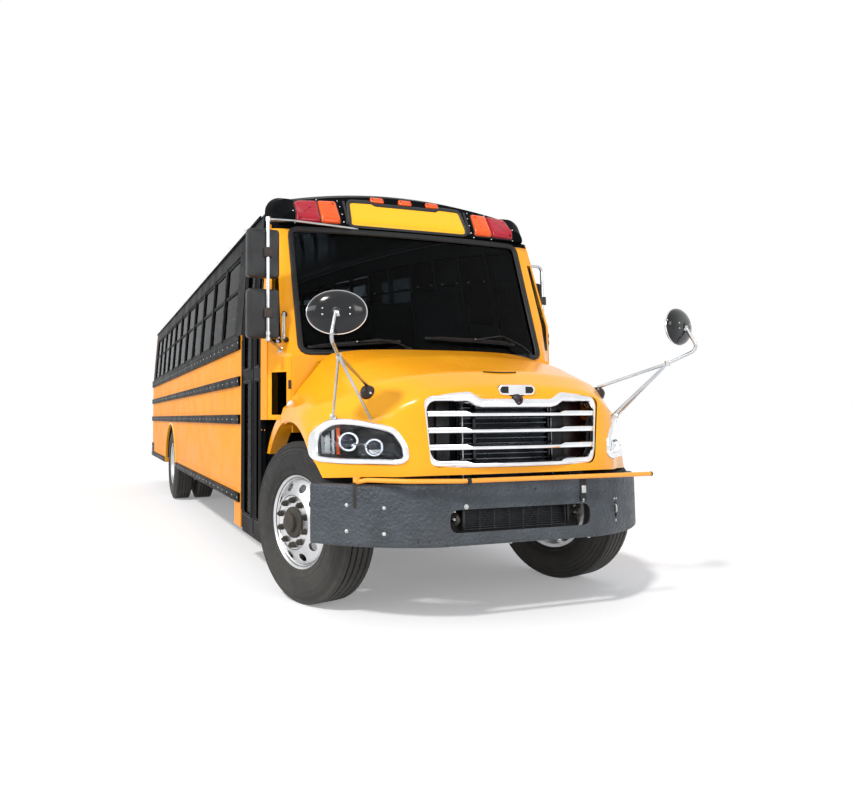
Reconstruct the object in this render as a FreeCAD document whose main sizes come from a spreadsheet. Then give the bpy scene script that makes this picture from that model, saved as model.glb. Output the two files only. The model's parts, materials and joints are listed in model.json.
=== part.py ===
"""School bus with a long bonnet, an entrance door on its right and eleven window bays a side.

Millimetres. +X is the way the bus drives, +Y its left side and +Z up. The origin lies on the
ground in the middle of the bus. Every sub-part is drawn from the front axle, so that its
sizes read as distances ahead of it, and its Placement then moves it to the origin.
"""
import FreeCAD, Part
import Sketcher
import math
import os
import re

Vector = FreeCAD.Vector
document = FreeCAD.newDocument("school_bus")
sheet = document.addObject("Spreadsheet::Sheet", "dims")

# Driving sizes: name, value in millimetres (counts and degrees as they are), what it is.
SIZES = (
    ("half_width", 1200, "side sheet from the centre plane"),
    ("wall", 40, "thickness of side walls, roof and rear wall"),
    ("front_reach", 1160, "front axle to the foremost point"),
    ("side_setback", 1600, "front axle back to the first window bay"),
    ("window_bay", 711, "length of one window bay"),
    ("bay_count", 11, "window bays along each side"),
    ("rear_margin", 326, "last window bay to the outside of the rear wall"),
    ("rear_bumper_depth", 130, "rear bumper behind the rear wall"),
    ("wheelbase", 6579, "front axle to rear axle"),
    ("skirt_height", 500, "ground to the lower edge of the side sheet"),
    ("floor_height", 1150, "ground to the top of the cabin floor"),
    ("floor_depth", 50, "thickness of the cabin floor"),
    ("sill_height", 1901, "ground to the window sills, where the wall starts to lean in"),
    ("eave_height", 2800, "ground to the eaves"),
    ("eave_half_width", 1133, "eaves from the centre plane"),
    ("shoulder_height", 2930, "ground to the roof where its corner arc ends"),
    ("shoulder_half_width", 960, "end of the roof's corner arc from the centre plane"),
    ("crown_height", 3035, "ground to the top of the roof"),
    ("window_opening", 641, "clear length of a window opening"),
    ("window_bottom", 1920, "ground to the lower edge of the window openings"),
    ("window_top", 2646, "ground to the upper edge of the window openings"),
    ("window_bar", 2342, "ground to the middle of the bar between two sashes"),
    ("sash_depth", 24, "thickness of a window frame"),
    ("sash_width", 30, "width of a window frame's members"),
    ("glass", 6, "thickness of the glass"),
    ("rail_stand", 19, "rub rails proud of the side sheet"),
    ("arch_radius", 671, "rear wheel arch"),
    ("arch_centre", 440, "ground to the centre of the rear wheel arch"),
    ("door_rear", 1330, "front axle back to the rear jamb of the entrance"),
    ("door_front", 600, "front axle back to the front jamb of the entrance"),
    ("door_parting", 880, "front axle back to where the door leaves meet"),
    ("door_seal", 28, "between the edges of the door leaves, where their seals meet"),
    ("hinge_line", 1192, "entrance hinges from the centre plane"),
    ("door_bottom", 300, "ground to the lower edge of the entrance leaves"),
    ("door_top", 2600, "ground to the head of the entrance"),
    ("leaf", 34, "thickness of an entrance leaf"),
    ("leaf_frame", 45, "width of an entrance leaf's frame"),
    ("low_pane_bottom", 420, "ground to the lower edge of the lower door glass"),
    ("low_pane_top", 1500, "ground to the upper edge of the lower door glass"),
    ("high_pane_bottom", 1590, "ground to the lower edge of the upper door glass"),
    ("high_pane_top", 2540, "ground to the upper edge of the upper door glass"),
    ("gap", 6, "clearance round doors and lids"),
    ("step_bottom", 270, "ground to the underside of the entrance step"),
    ("step_sheet", 24, "thickness of the step well"),
    ("step_front", 625, "front axle back to the front of the step well"),
    ("side_front", 400, "front axle back to the front edge of the side walls"),
    ("side_front_bottom", 1190, "ground to the side walls' lower edge over the front wheels"),
    ("post_foot", 1950, "ground to where the side walls' front edges start to slope back"),
    ("post_head", 612, "front axle back to the top of the side walls' front edges"),
    ("cap_foot", 2677, "ground to where the side walls meet the cap"),
    ("cap_rear", 762, "front axle back to the joint between the cap and the roof"),
    ("driver_front", 260, "side walls' front edge back to the driver's window"),
    ("driver_drop", 190, "driver's window below the others"),
    ("frame_half_width", 430, "outside of the frame rails from the centre plane"),
    ("frame_bottom", 620, "ground to the underside of the frame rails"),
    ("frame_height", 257, "height of the frame rails"),
    ("frame_flange", 76, "flange of the frame rails"),
    ("frame_gauge", 9, "thickness of the frame rails' steel"),
    ("frame_front", 880, "front axle to the front end of the frame rails"),
    ("tyre_diameter", 1050, "outside of the tyres"),
    ("tyre_width", 279, "section width of the tyres"),
    ("rim_diameter", 610, "outside of the rim flanges"),
    ("rim_width", 230, "over the rim flanges"),
    ("front_track", 2000, "between the middles of the front tyres"),
    ("kingpin_span", 1760, "between the kingpins"),
    ("steer_rest", 18, "degrees the front wheels stand turned to the left"),
    ("twin_inner", 732, "middle of the inner rear tyre from the centre plane"),
    ("twin_spacing", 320, "between the middles of two twin tyres"),
    ("hood_half_width", 1150, "outside of the front wings from the centre plane"),
    ("hood_skin", 14, "thickness of the hood"),
    ("hood_rear", 190, "front axle back to the rear edge of the hood"),
    ("hood_arch", 660, "radius of the arches over the front wheels"),
    ("cowl_height", 1660, "ground to the lower edge of the windshield"),
    ("cowl_front", 205, "front axle back to the front of the cowl"),
    ("windshield_top", 2670, "ground to the upper edge of the windshield"),
    ("windshield_glass", 8, "thickness of the windshield"),
    ("bumper_bottom", 470, "ground to the underside of the front bumper"),
    ("bumper_top", 820, "ground to the top of the front bumper"),
    ("bumper_face", 1000, "front axle to the face of the front bumper"),
    ("bumper_gauge", 10, "thickness of the bumpers' steel"),
    ("rear_bumper_bottom", 500, "ground to the underside of the rear bumper"),
    ("rear_bumper_top", 740, "ground to the top of the rear bumper"),
    ("arm_tube", 28, "diameter of the crossing arm"),
    ("arm_height", 845, "ground to the middle of the crossing arm"),
    ("arm_pivot_side", 960, "pivot of the crossing arm from the centre plane"),
    ("arm_pivot_ahead", 790, "front axle to the pivot of the crossing arm"),
    ("rear_door_half", 400, "half the width of the rear door"),
    ("rear_door_top", 2690, "ground to the head of the rear door"),
    ("hatch_length", 620, "length of a roof hatch"),
    ("hatch_width", 620, "width of a roof hatch"),
    ("seat_width", 990, "width of a passenger bench"),
    ("seat_height", 430, "top of a passenger bench above the floor"),
    ("seat_back", 1010, "top of a bench's back above the floor"),
)
NAMES = {name for name, value, note in SIZES}
for row, (name, value, note) in enumerate(SIZES, start=1):
    sheet.set(f"A{row}", name)
    sheet.set(f"B{row}", str(value))
    sheet.set(f"C{row}", note)
    sheet.setAlias(f"B{row}", name)
document.recompute()


def size(name):
    """The number in a cell of the sheet, for the shapes that Part's functions make."""
    return float(sheet.get(name))


def formula(text):
    """An expression over the sheet, from one that gives the bare names."""
    return re.sub(r"[a-z_]+", lambda m: f"dims.{m[0]}" if m[0] in NAMES else m[0], str(text))


def bind(thing, prop, text):
    thing.setExpression(prop, formula(text))


# Distances ahead of the front axle, as expressions.
REAR_OUTSIDE = "-(side_setback + bay_count * window_bay + rear_margin)"
REAR_INSIDE = f"({REAR_OUTSIDE} + wall)"
DATUM = "(side_setback + bay_count * window_bay + rear_margin + rear_bumper_depth - front_reach) / 2"

sub_parts = []


def register(thing, label):
    """Names a finished sub-part and moves it from the front axle to the bus's origin."""
    thing.Label = label
    bind(thing, "Placement.Base.x", DATUM)
    sub_parts.append(thing)
    return thing


drawn = {}


def feature(label, shape):
    """A sub-part whose shape Part's own functions have made."""
    thing = document.addObject("Part::Feature", label)
    still = shape.copy()
    place = still.Placement.toMatrix()
    still.Placement = FreeCAD.Placement()
    drawn[label] = still.transformed(place, True)
    thing.Shape = drawn[label]
    return register(thing, label)


def clear_of(shape, *labels):
    """The main solid of a shape once what it shares with earlier sub-parts is cut away."""
    for label in labels:
        shape = shape.cut(drawn[label])
    return max(shape.Solids, key=lambda part: part.Volume)


# ---------------------------------------------------------------- drawing helpers

def new_body(label):
    return register(document.addObject("PartDesign::Body", label), label)


def role(body, name):
    return next(item for item in body.Origin.OriginFeatures if item.Role == name)


def outline(body, name, plane, corners, offset="0"):
    """A closed outline of straight edges on an origin plane, each corner an expression pair."""
    sketch = body.newObject("Sketcher::SketchObject", name)
    sketch.AttachmentSupport = [(role(body, plane), "")]
    sketch.MapMode = "FlatFace"
    bind(sketch, "AttachmentOffset.Base.z", offset)
    count = len(corners)
    ring = [Vector(1000 * math.cos(2 * math.pi * k / count), 1000 * math.sin(2 * math.pi * k / count))
            for k in range(count)]
    for k in range(count):
        sketch.addGeometry(Part.LineSegment(ring[k], ring[(k + 1) % count]))
    for k in range(count):
        sketch.addConstraint(Sketcher.Constraint("Coincident", k, 2, (k + 1) % count, 1))
    for k, (across, up) in enumerate(corners):
        for kind, value in (("DistanceX", across), ("DistanceY", up)):
            index = sketch.addConstraint(Sketcher.Constraint(kind, -1, 1, k, 1, 1.0))
            sketch.setExpression(f"Constraints[{index}]", formula(value))
    return sketch


def rectangle(body, name, plane, across, up, offset="0"):
    """A rectangular outline between two pairs of expressions."""
    (left, right), (low, high) = across, up
    corners = ((left, low), (right, low), (right, high), (left, high))
    return outline(body, name, plane, corners, offset)


def circle(body, name, plane, centre, radius, offset="0"):
    sketch = body.newObject("Sketcher::SketchObject", name)
    sketch.AttachmentSupport = [(role(body, plane), "")]
    sketch.MapMode = "FlatFace"
    bind(sketch, "AttachmentOffset.Base.z", offset)
    sketch.addGeometry(Part.Circle(Vector(0, 0, 0), Vector(0, 0, 1), 10))
    for kind, value in (("DistanceX", centre[0]), ("DistanceY", centre[1])):
        index = sketch.addConstraint(Sketcher.Constraint(kind, -1, 1, 0, 3, 1.0))
        sketch.setExpression(f"Constraints[{index}]", formula(value))
    index = sketch.addConstraint(Sketcher.Constraint("Radius", 0, 10))
    sketch.setExpression(f"Constraints[{index}]", formula(radius))
    return sketch


def pad(body, sketch, length, both=False):
    made = body.newObject("PartDesign::Pad", sketch.Name + "_pad")
    made.Profile = sketch
    made.Midplane = both
    bind(made, "Length", length)
    return made


def pocket(body, sketch, length=None, both=True, flipped=False):
    """A cut right through, or of a given length along or against the sketch's normal."""
    made = body.newObject("PartDesign::Pocket", sketch.Name + "_cut")
    made.Profile = sketch
    if length is None:
        made.Type = 1
        made.Midplane = both
    else:
        made.Reversed = flipped
        bind(made, "Length", length)
    return made


def along(body, features, axis, pitch, count, backwards=True):
    made = body.newObject("PartDesign::LinearPattern", features[0].Name + "_row")
    made.Originals = features
    made.Direction = (role(body, axis), [""])
    made.Reversed = backwards
    bind(made, "Length", f"({pitch}) * ({count} - 1)")
    bind(made, "Occurrences", count)
    body.Tip = made
    return made


def mirrored(body, features, plane):
    made = body.newObject("PartDesign::Mirrored", features[0].Name + "_twin")
    made.Originals = features
    made.MirrorPlane = (role(body, plane), [""])
    body.Tip = made
    return made


def block(x, y, z):
    """A box shape between three pairs of numbers."""
    made = Part.makeBox(x[1] - x[0], y[1] - y[0], z[1] - z[0])
    made.translate(Vector(x[0], y[0], z[0]))
    return made


def rod(start, end, diameter):
    run = Vector(*end) - Vector(*start)
    return Part.makeCylinder(diameter / 2, run.Length, Vector(*start), run)


def tube_path(points, diameter, bend):
    """A round bar along straight runs joined by tangent arcs of one bend radius."""
    points = [Vector(*point) for point in points]
    edges = []
    start = points[0]
    for before, corner, after in zip(points, points[1:], points[2:]):
        back = (before - corner).normalize()
        ahead = (after - corner).normalize()
        half = back.getAngle(ahead) / 2
        reach = bend / math.tan(half)
        middle = (back + ahead).normalize() * (bend / math.sin(half))
        centre = corner + middle
        first = corner + back * reach
        last = corner + ahead * reach
        crest = centre - middle.normalize() * bend
        edges.append(Part.LineSegment(start, first).toShape())
        edges.append(Part.Arc(first, crest, last).toShape())
        start = last
    edges.append(Part.LineSegment(start, points[-1]).toShape())
    spine = Part.Wire(edges)
    ring = Part.Wire(Part.makeCircle(diameter / 2, points[0], points[1] - points[0]))
    return spine.makePipeShell([ring], True, False)


def face_of(points, arcs=()):
    """A face from a closed chain of points; an edge whose number is in arcs bulges through a point."""
    points = [Vector(*point) for point in points]
    bulges = {number: Vector(*through) for number, through in arcs}
    edges = []
    for number, start in enumerate(points):
        end = points[(number + 1) % len(points)]
        if number in bulges:
            edges.append(Part.Arc(start, bulges[number], end).toShape())
        else:
            edges.append(Part.LineSegment(start, end).toShape())
    return Part.Face(Part.Wire(edges))


def one_solid(pieces):
    whole = pieces[0].multiFuse(pieces[1:]) if len(pieces) > 1 else pieces[0]
    return whole.removeSplitter()


def flipped(shape):
    """The same shape on the other side of the bus."""
    return shape.mirror(Vector(0, 0, 0), Vector(0, 1, 0))


# ---------------------------------------------------------------- side walls and windows

def wall_corners(side, bottom):
    """The wall's section, seen from behind: upright to the sills and then leaning inwards."""
    outer, top = f"{side} * half_width", f"{side} * eave_half_width"
    thick = f"{side} * wall"
    return ((outer, bottom), (outer, "sill_height"), (top, "eave_height"),
            (f"{top} - {thick}", "eave_height"), (f"{outer} - {thick}", "sill_height"),
            (f"{outer} - {thick}", bottom))


BAY_FRONT = "-(side_setback + (window_bay - window_opening) / 2)"
WALL_LENGTH = f"(-side_front - {REAR_INSIDE})"


def side_wall(label, side, bottom):
    wall = new_body(label)
    section = outline(wall, label + "_section", "YZ_Plane", wall_corners(side, bottom), REAR_INSIDE)
    pad(wall, section, WALL_LENGTH)
    opening = rectangle(wall, label + "_window", "XZ_Plane",
                        (f"{BAY_FRONT} - window_opening", BAY_FRONT), ("window_bottom", "window_top"))
    first = pocket(wall, opening)
    along(wall, [first], "X_Axis", "window_bay", "bay_count")
    arch = circle(wall, label + "_arch", "XZ_Plane", ("-wheelbase", "arch_centre"), "arch_radius")
    pocket(wall, arch)
    over_wheel = rectangle(wall, label + "_over_wheel", "XZ_Plane",
                           ("-door_front - gap", "0"), ("0", "side_front_bottom"))
    pocket(wall, over_wheel)
    corners = (("0", "post_foot"), ("-side_front", "post_foot"), ("-post_head", "cap_foot"),
               ("-cap_rear", "cap_foot"), ("-cap_rear", "crown_height"), ("0", "crown_height"))
    pocket(wall, outline(wall, label + "_at_post", "XZ_Plane", corners))
    return wall


def right_side():
    wall = side_wall("right_side", -1, "door_bottom")
    behind_door = rectangle(wall, "right_skirt", "XZ_Plane",
                            (REAR_OUTSIDE, "-side_setback"), ("0", "skirt_height"))
    pocket(wall, behind_door)
    entrance = rectangle(wall, "entrance", "XZ_Plane",
                         ("-door_rear", "-door_front"), ("0", "door_top"))
    pocket(wall, entrance)


def left_side():
    wall = side_wall("left_side", 1, "skirt_height")
    driver = rectangle(wall, "driver_opening", "XZ_Plane",
                       ("-side_setback + 60", "-side_front - driver_front"),
                       ("window_bottom - driver_drop", "window_top"))
    pocket(wall, driver)


def lean(side, height, inward):
    """Distance from the centre plane of a leaning wall's middle, moved inwards, at a height."""
    fall = "(half_width - eave_half_width) / (eave_height - sill_height)"
    return f"{side} * (half_width - wall / 2 - {inward} - ({height} - sill_height) * {fall})"


def slat(body, name, side, heights, depth, start, length):
    """A strip of a window that leans with the wall, padded along the bus."""
    low, high = heights
    corners = ((lean(side, low, f"-{depth} / 2"), low), (lean(side, high, f"-{depth} / 2"), high),
               (lean(side, high, f"{depth} / 2"), high), (lean(side, low, f"{depth} / 2"), low))
    return pad(body, outline(body, name, "YZ_Plane", corners, start), length)


def sash_window(body, name, side, front, length, bottom):
    """One window: two panes of glass in a frame with a bar where the sashes meet."""
    rear = f"({front} - {length})"
    parts = [slat(body, name + "_glass", side, (bottom, "window_top"), "glass", rear, length)]
    rows = (  # name, lower edge, upper edge
        ("_bottom", bottom, f"({bottom} + sash_width)"),
        ("_bar", "(window_bar - sash_width / 2)", "(window_bar + sash_width / 2)"),
        ("_top", "(window_top - sash_width)", "window_top"))
    for part, low, high in rows:
        parts.append(slat(body, name + part, side, (low, high), "sash_depth", rear, length))
    for part, start in (("_rear", rear), ("_front", f"({front} - sash_width)")):
        heights = (bottom, "window_top")
        parts.append(slat(body, name + part, side, heights, "sash_depth", start, "sash_width"))
    return parts


def right_windows():
    body = new_body("right_windows")
    parts = sash_window(body, "right_pane", -1, BAY_FRONT, "window_opening", "window_bottom")
    along(body, parts, "X_Axis", "window_bay", "bay_count")


def left_windows():
    body = new_body("left_windows")
    parts = sash_window(body, "left_pane", 1, BAY_FRONT, "window_opening", "window_bottom")
    along(body, parts, "X_Axis", "window_bay", "bay_count")
    length = "(side_setback - 60 - side_front - driver_front)"
    front = "(-side_front - driver_front)"
    sash_window(body, "driver_pane", 1, front, length, "(window_bottom - driver_drop)")


# Rub rails: name, lower edge, upper edge, whether the rear wheel arch interrupts it.
RUB_RAILS = (("sill", 1784, 1901, False), ("seat", 1474, 1555, False),
             ("floor", 1152, 1231, False), ("skirt", 503, 576, True))
SIDE_WRAP = 300.0   # how far the rear bumper reaches forwards along the sides


def body_rear():
    """Outside of the rear wall, ahead of the front axle."""
    return -(size("side_setback") + size("bay_count") * size("window_bay") + size("rear_margin"))


def side_rails():
    rear, front = body_rear(), -size("side_setback")
    arch = size("wheelbase"), size("arch_radius") + 30
    inner, outer = size("half_width"), size("half_width") + size("rail_stand")
    pieces = []
    for name, low, high, broken in RUB_RAILS:
        spans = [(rear, front)]
        if broken:
            spans = [(rear + SIDE_WRAP + 10, -arch[0] - arch[1]), (-arch[0] + arch[1], front)]
        for span in spans:
            rail = block(span, (inner, outer), (low, high))
            pieces += [rail, flipped(rail)]
    feature("side_rails", Part.makeCompound(pieces))


# ---------------------------------------------------------------- roof, rear wall and cap

def roof_profile(x, inset):
    """The roof's outer line at a station, from the right eave over the crown to the left."""
    eave = size("eave_half_width") - inset
    shoulder = size("shoulder_half_width") - inset * 0.4
    high = size("shoulder_height") - inset * 0.9
    crown = size("crown_height") - inset
    corner = (eave - 32, (size("eave_height") + high) / 2 + 32)
    low = size("eave_height")
    return dict(eave=(x, eave, low), corner=(x, corner[0], corner[1]),
                shoulder=(x, shoulder, high), crown=(x, 0, crown))


def other(point):
    return (point[0], -point[1], point[2])


def roof_face(x, inset=0.0):
    """The closed area under the roof's line at a station, down to the eaves."""
    line = roof_profile(x, inset)
    points = [other(line["eave"]), other(line["shoulder"]), line["shoulder"], line["eave"]]
    return face_of(points, ((0, other(line["corner"])), (1, line["crown"]), (2, line["corner"])))


CAP_REAR = -size("cap_rear") + 2


def hatch_places():
    """Distance of each roof hatch's middle ahead of the front axle."""
    return (("front_hatch", -3300.0), ("rear_hatch", -6100.0))


def roof():
    rear = body_rear() + size("wall")
    length = CAP_REAR - rear
    outer = roof_face(rear).extrude(Vector(length, 0, 0))
    inner = roof_face(rear - 1, size("wall")).extrude(Vector(length + 2, 0, 0))
    shell = outer.cut(inner)
    for name, middle in hatch_places():
        half, wide = size("hatch_length") / 2 - 30, size("hatch_width") / 2 - 30
        shell = shell.cut(block((middle - half, middle + half), (-wide, wide), (2500, 3300)))
    feature("roof", shell)


HATCH_HINGE = 5.0


def hatch(name, middle):
    """A raised lid over an opening in the roof, with its edge lapping the opening."""
    half, wide = size("hatch_length") / 2, size("hatch_width") / 2
    base = size("crown_height") + size("gap")
    lid = block((middle - half, middle + half), (-wide, wide), (base, base + 42))
    edges = [edge for edge in lid.Edges if edge.BoundBox.ZMin > base + 41]
    lid = lid.makeChamfer(16, edges)
    hollow = block((middle - half + 30, middle + half - 30), (-wide + 30, wide - 30), (base - 1, base + 24))
    hinge = rod((middle - half, -200, base), (middle - half, 200, base), 2 * HATCH_HINGE)
    feature(name, one_solid([lid.cut(hollow), hinge]))


def rear_wall():
    x = body_rear()
    thick = size("wall")
    half, eave = size("half_width"), size("eave_half_width")
    line = roof_profile(x, 0.0)
    low, sill = size("skirt_height"), size("sill_height")
    points = [(x, -half, low), (x, -half, sill), other(line["eave"]), other(line["shoulder"]),
              line["shoulder"], line["eave"], (x, half, sill), (x, half, low)]
    bulges = ((2, other(line["corner"])), (3, line["crown"]), (4, line["corner"]))
    wall = face_of(points, bulges).extrude(Vector(thick, 0, 0))
    door = size("rear_door_half")
    wall = wall.cut(block((x - 1, x + thick + 1), (-door, door),
                          (size("floor_height"), size("rear_door_top"))))
    through = (x - 1, x + thick + 1)
    for side in (-1, 1):
        wall = wall.cut(block(through, rear_pane(side), (size("window_bottom"), REAR_GLASS_TOP)))
        bracket = sorted((side * 395, side * 435))
        wall = wall.cut(block(through, bracket, (low, 760)))
    feature("rear_wall", wall)


REAR_GLASS_TOP = 2560.0


def rear_pane(side):
    """The inner and outer edge of a window beside the rear door."""
    return sorted((side * (size("rear_door_half") + 110), side * (size("half_width") - 150)))


def rear_windows():
    x = body_rear()
    frame = size("sash_width")
    heights = (size("window_bottom"), REAR_GLASS_TOP)
    panes = []
    for side in (-1, 1):
        across = rear_pane(side)
        ring = block((x + 6, x + 30), across, heights)
        clear = block((x, x + 40), (across[0] + frame, across[1] - frame),
                      (heights[0] + frame, heights[1] - frame))
        pane = block((x + 15, x + 21), across, heights)
        panes.append(one_solid([ring.cut(clear), pane]))
    feature("rear_windows", Part.makeCompound(panes))


def rear_door():
    """Emergency door, hinged on the bus's right, with an upper and a lower window."""
    x = body_rear()
    half = size("rear_door_half") - size("gap")
    low, high = size("floor_height") + size("gap"), size("rear_door_top") - size("gap")
    leaf = block((x, x + size("leaf")), (-half, half), (low, high))
    for bottom, top in ((1290.0, 1720.0), (size("window_bottom"), REAR_GLASS_TOP)):
        hole = block((x - 1, x + 60), (-half + 90, half - 90), (bottom, top))
        pane = block((x + 12, x + 12 + size("glass")), (-half + 90, half - 90), (bottom, top))
        leaf = leaf.cut(hole).fuse(pane)
    handle = block((x - 40, x - 22), (half - 70, half - 40), (1740.0, 1880.0))
    feet = [block((x - 30, x), (half - 65, half - 45), (z, z + 22)) for z in (1752.0, 1846.0)]
    hinges = [rod((x - 6, -half + 6, z), (x - 6, -half + 6, z + 90), 16) for z in (1300.0, 1900.0, 2480.0)]
    feature("rear_door", one_solid([leaf, handle] + feet + hinges))


# The cap's sections: ahead, half width, shoulder's half width, eave, shoulder and crest heights.
CAP = (
    (CAP_REAR, 1133.0, 960.0, 2800.0, 2930.0, 3035.0),
    (-640.0, 1105.0, 930.0, 2765.0, 2890.0, 2985.0),
    (-520.0, 1050.0, 900.0, 2705.0, 2722.0, 2745.0),
)


def cap_solid(inset, reach):
    """The filled cap, moved in by an inset and longer below and behind."""
    wires = []
    for ahead, wide, narrow, eave, shoulder, crest in CAP:
        x = ahead - inset * (ahead - CAP_REAR) / 120 - (reach if ahead == CAP_REAR else 0)
        wide, narrow, crest = wide - inset, narrow - inset, crest - inset
        eave, shoulder = eave - inset, shoulder - inset
        base = size("windshield_top") + 10 - reach
        round_out = (shoulder - eave) / 4
        corner = (x, wide - round_out, (eave + shoulder) / 2 + round_out)
        points = [(x, -wide, base), (x, -wide, eave), (x, -narrow, shoulder), (x, narrow, shoulder),
                  (x, wide, eave), (x, wide, base)]
        wires.append(face_of(points, ((1, other(corner)), (2, (x, 0, crest)), (3, corner))).OuterWire)
    return Part.makeLoft(wires, True, True)


def front_cap():
    """The cap over the windshield that carries the warning lamps and the blank sign."""
    feature("front_cap", cap_solid(0, 0).cut(cap_solid(30, 60)))


# ---------------------------------------------------------------- cowl, windshield and dashboard

# The windshield's outer surface: height, how far ahead its middle and its sides stand, and
# how far ahead and how wide the corner posts end against the side walls.
WINDSHIELD_SIDE = 1060.0
POST_DEPTH = 40.0
QUARTER_PANE = 2.0
LEAN = (  # height, middle, side, post end ahead, post end across
    (1640.0, -95.0, -250.0, -397.0, 1193.0),
    (1950.0, -221.0, -347.0, -397.0, 1190.0),
    (2680.0, -515.0, -575.0, -592.0, 1120.0),
)


def windshield_band(front, depth):
    """The curved leaning band that the windshield lies in, so far behind its outer surface."""
    wires = []
    for height, middle, side, post, across in (LEAN[0], LEAN[2]):
        near, far = front, front + depth
        points = [(side - near, -WINDSHIELD_SIDE, height), (side - near, WINDSHIELD_SIDE, height),
                  (side - far, WINDSHIELD_SIDE, height), (side - far, -WINDSHIELD_SIDE, height)]
        bulges = ((0, (middle - near, 0, height)), (2, (middle - far, 0, height)))
        wires.append(face_of(points, bulges).OuterWire)
    return Part.makeLoft(wires, True, True)


def windshield_opening(margin):
    """What the windshield's outline sweeps along the bus, grown by a margin."""
    low, high = size("cowl_height") - margin, size("windshield_top") - 18 + margin
    wide, narrow = 1000.0 + margin, 995.0 + margin
    points = [(-900, -wide, low), (-900, wide, low), (-900, narrow, high), (-900, -narrow, high)]
    prism = face_of(points).extrude(Vector(1000, 0, 0))
    edges = [edge for edge in prism.Edges if edge.BoundBox.XLength > 900]
    return prism.makeFillet(70, edges)


def corner_post(depth):
    """The bent panel from the windshield's side to the side wall, for the bus's left."""
    wires = []
    for height, middle, side, post, across in LEAN[:2]:
        points = [(side, WINDSHIELD_SIDE, height), (post, across, height),
                  (post, across - depth - 7, height), (side - depth - 12, WINDSHIELD_SIDE, height)]
        wires.append(face_of(points).OuterWire)
    height, middle, side, post, across = LEAN[2]
    points = [(side, WINDSHIELD_SIDE, height), (post, across, height),
              (post - 16, across - 25, height), (side - depth, WINDSHIELD_SIDE, height)]
    wires.append(face_of(points).OuterWire)
    return Part.makeLoft(wires, True, True)


def post_row(height):
    """How far ahead the corner post starts and ends at a height."""
    below, above = (LEAN[0], LEAN[1]) if height < LEAN[1][0] else (LEAN[1], LEAN[2])
    share = (height - below[0]) / (above[0] - below[0])
    return height, below[2] + (above[2] - below[2]) * share, below[3] + (above[3] - below[3]) * share


def quarter_opening(rows, near, far):
    """What a quarter window sweeps through the left corner, between two shares of its rows' width."""
    ring = [(ahead + (behind - ahead) * near, 1000.0, height) for height, ahead, behind in rows]
    ring += [(ahead + (behind - ahead) * far, 1000.0, height) for height, ahead, behind in reversed(rows)]
    return face_of(ring).extrude(Vector(0, 220, 0))


LOWER_POST = (-250.0, -397.0)


def lower_wing(depth):
    """The panel below the corner post, upright, from the firewall to the side wall."""
    low, high = size("side_front_bottom"), LEAN[0][0]
    side, post = LOWER_POST
    points = [(side, WINDSHIELD_SIDE, low), (post, 1193, low), (post, 1193 - depth - 7, low),
              (side - depth - 12, WINDSHIELD_SIDE, low)]
    return face_of(points).extrude(Vector(0, 0, high - low))


def arch_tail():
    """The rear end of the wing over a front wheel, which stays when the hood opens."""
    inner, outer = size("hood_arch"), size("hood_arch") + 72
    low, high = 940.0, size("side_front_bottom")
    centre = Vector(0, 1040, size("tyre_diameter") / 2)
    ring = Part.makeCylinder(outer, size("hood_half_width") - 1040, centre, Vector(0, 1, 0))
    ring = ring.cut(Part.makeCylinder(inner, 400, centre - Vector(0, 100, 0), Vector(0, 1, 0)))
    reach = block((-700, -size("hood_rear") - 12), (1000, 1300), (low, high))
    return ring.common(reach)


UPPER_QUARTER = ([post_row(height) for height in (1740.0, LEAN[1][0], 2480.0)], 0.40, 0.86)
LOWER_QUARTER = ([(height,) + LOWER_POST for height in (1225.0, 1530.0)], 0.20, 0.84)


def cowl():
    """Firewall, windshield frame, corner posts and the fixed ends of the front wings."""
    front = size("cowl_front")
    firewall = block((-front - size("wall"), -front), (-WINDSHIELD_SIDE, WINDSHIELD_SIDE),
                     (size("floor_height") - size("floor_depth"), LEAN[0][0]))
    shelf = face_of([(-250, -1060, 1602), (-250, 1060, 1602), (-290, 1060, 1602), (-290, -1060, 1602)],
                    ((0, (-95, 0, 1602)),)).extrude(Vector(0, 0, 38))
    frame = windshield_band(0, 45).cut(windshield_opening(0))
    pieces = [firewall, shelf, frame]
    post = corner_post(POST_DEPTH).cut(quarter_opening(*UPPER_QUARTER))
    wing = lower_wing(POST_DEPTH).cut(quarter_opening(*LOWER_QUARTER))
    bridge = block((-330, -front - 10), (1040, 1080), (size("side_front_bottom"), LEAN[0][0]))
    bridge = bridge.common(block((-288, -249), (1040, 1062), (0, 3000)))
    for piece in (post, wing, arch_tail(), bridge):
        pieces += [piece, flipped(piece)]
    feature("cowl", one_solid(pieces))


def front_glass():
    """Windshield and the four quarter windows in the corner posts."""
    shield = windshield_band(14, size("windshield_glass")).common(windshield_opening(0))
    quarter = corner_post(QUARTER_PANE).common(quarter_opening(*UPPER_QUARTER))
    lower = lower_wing(QUARTER_PANE).common(quarter_opening(*LOWER_QUARTER))
    panes = [shield, quarter, flipped(quarter), lower, flipped(lower)]
    feature("front_glass", Part.makeCompound(panes))


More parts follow.
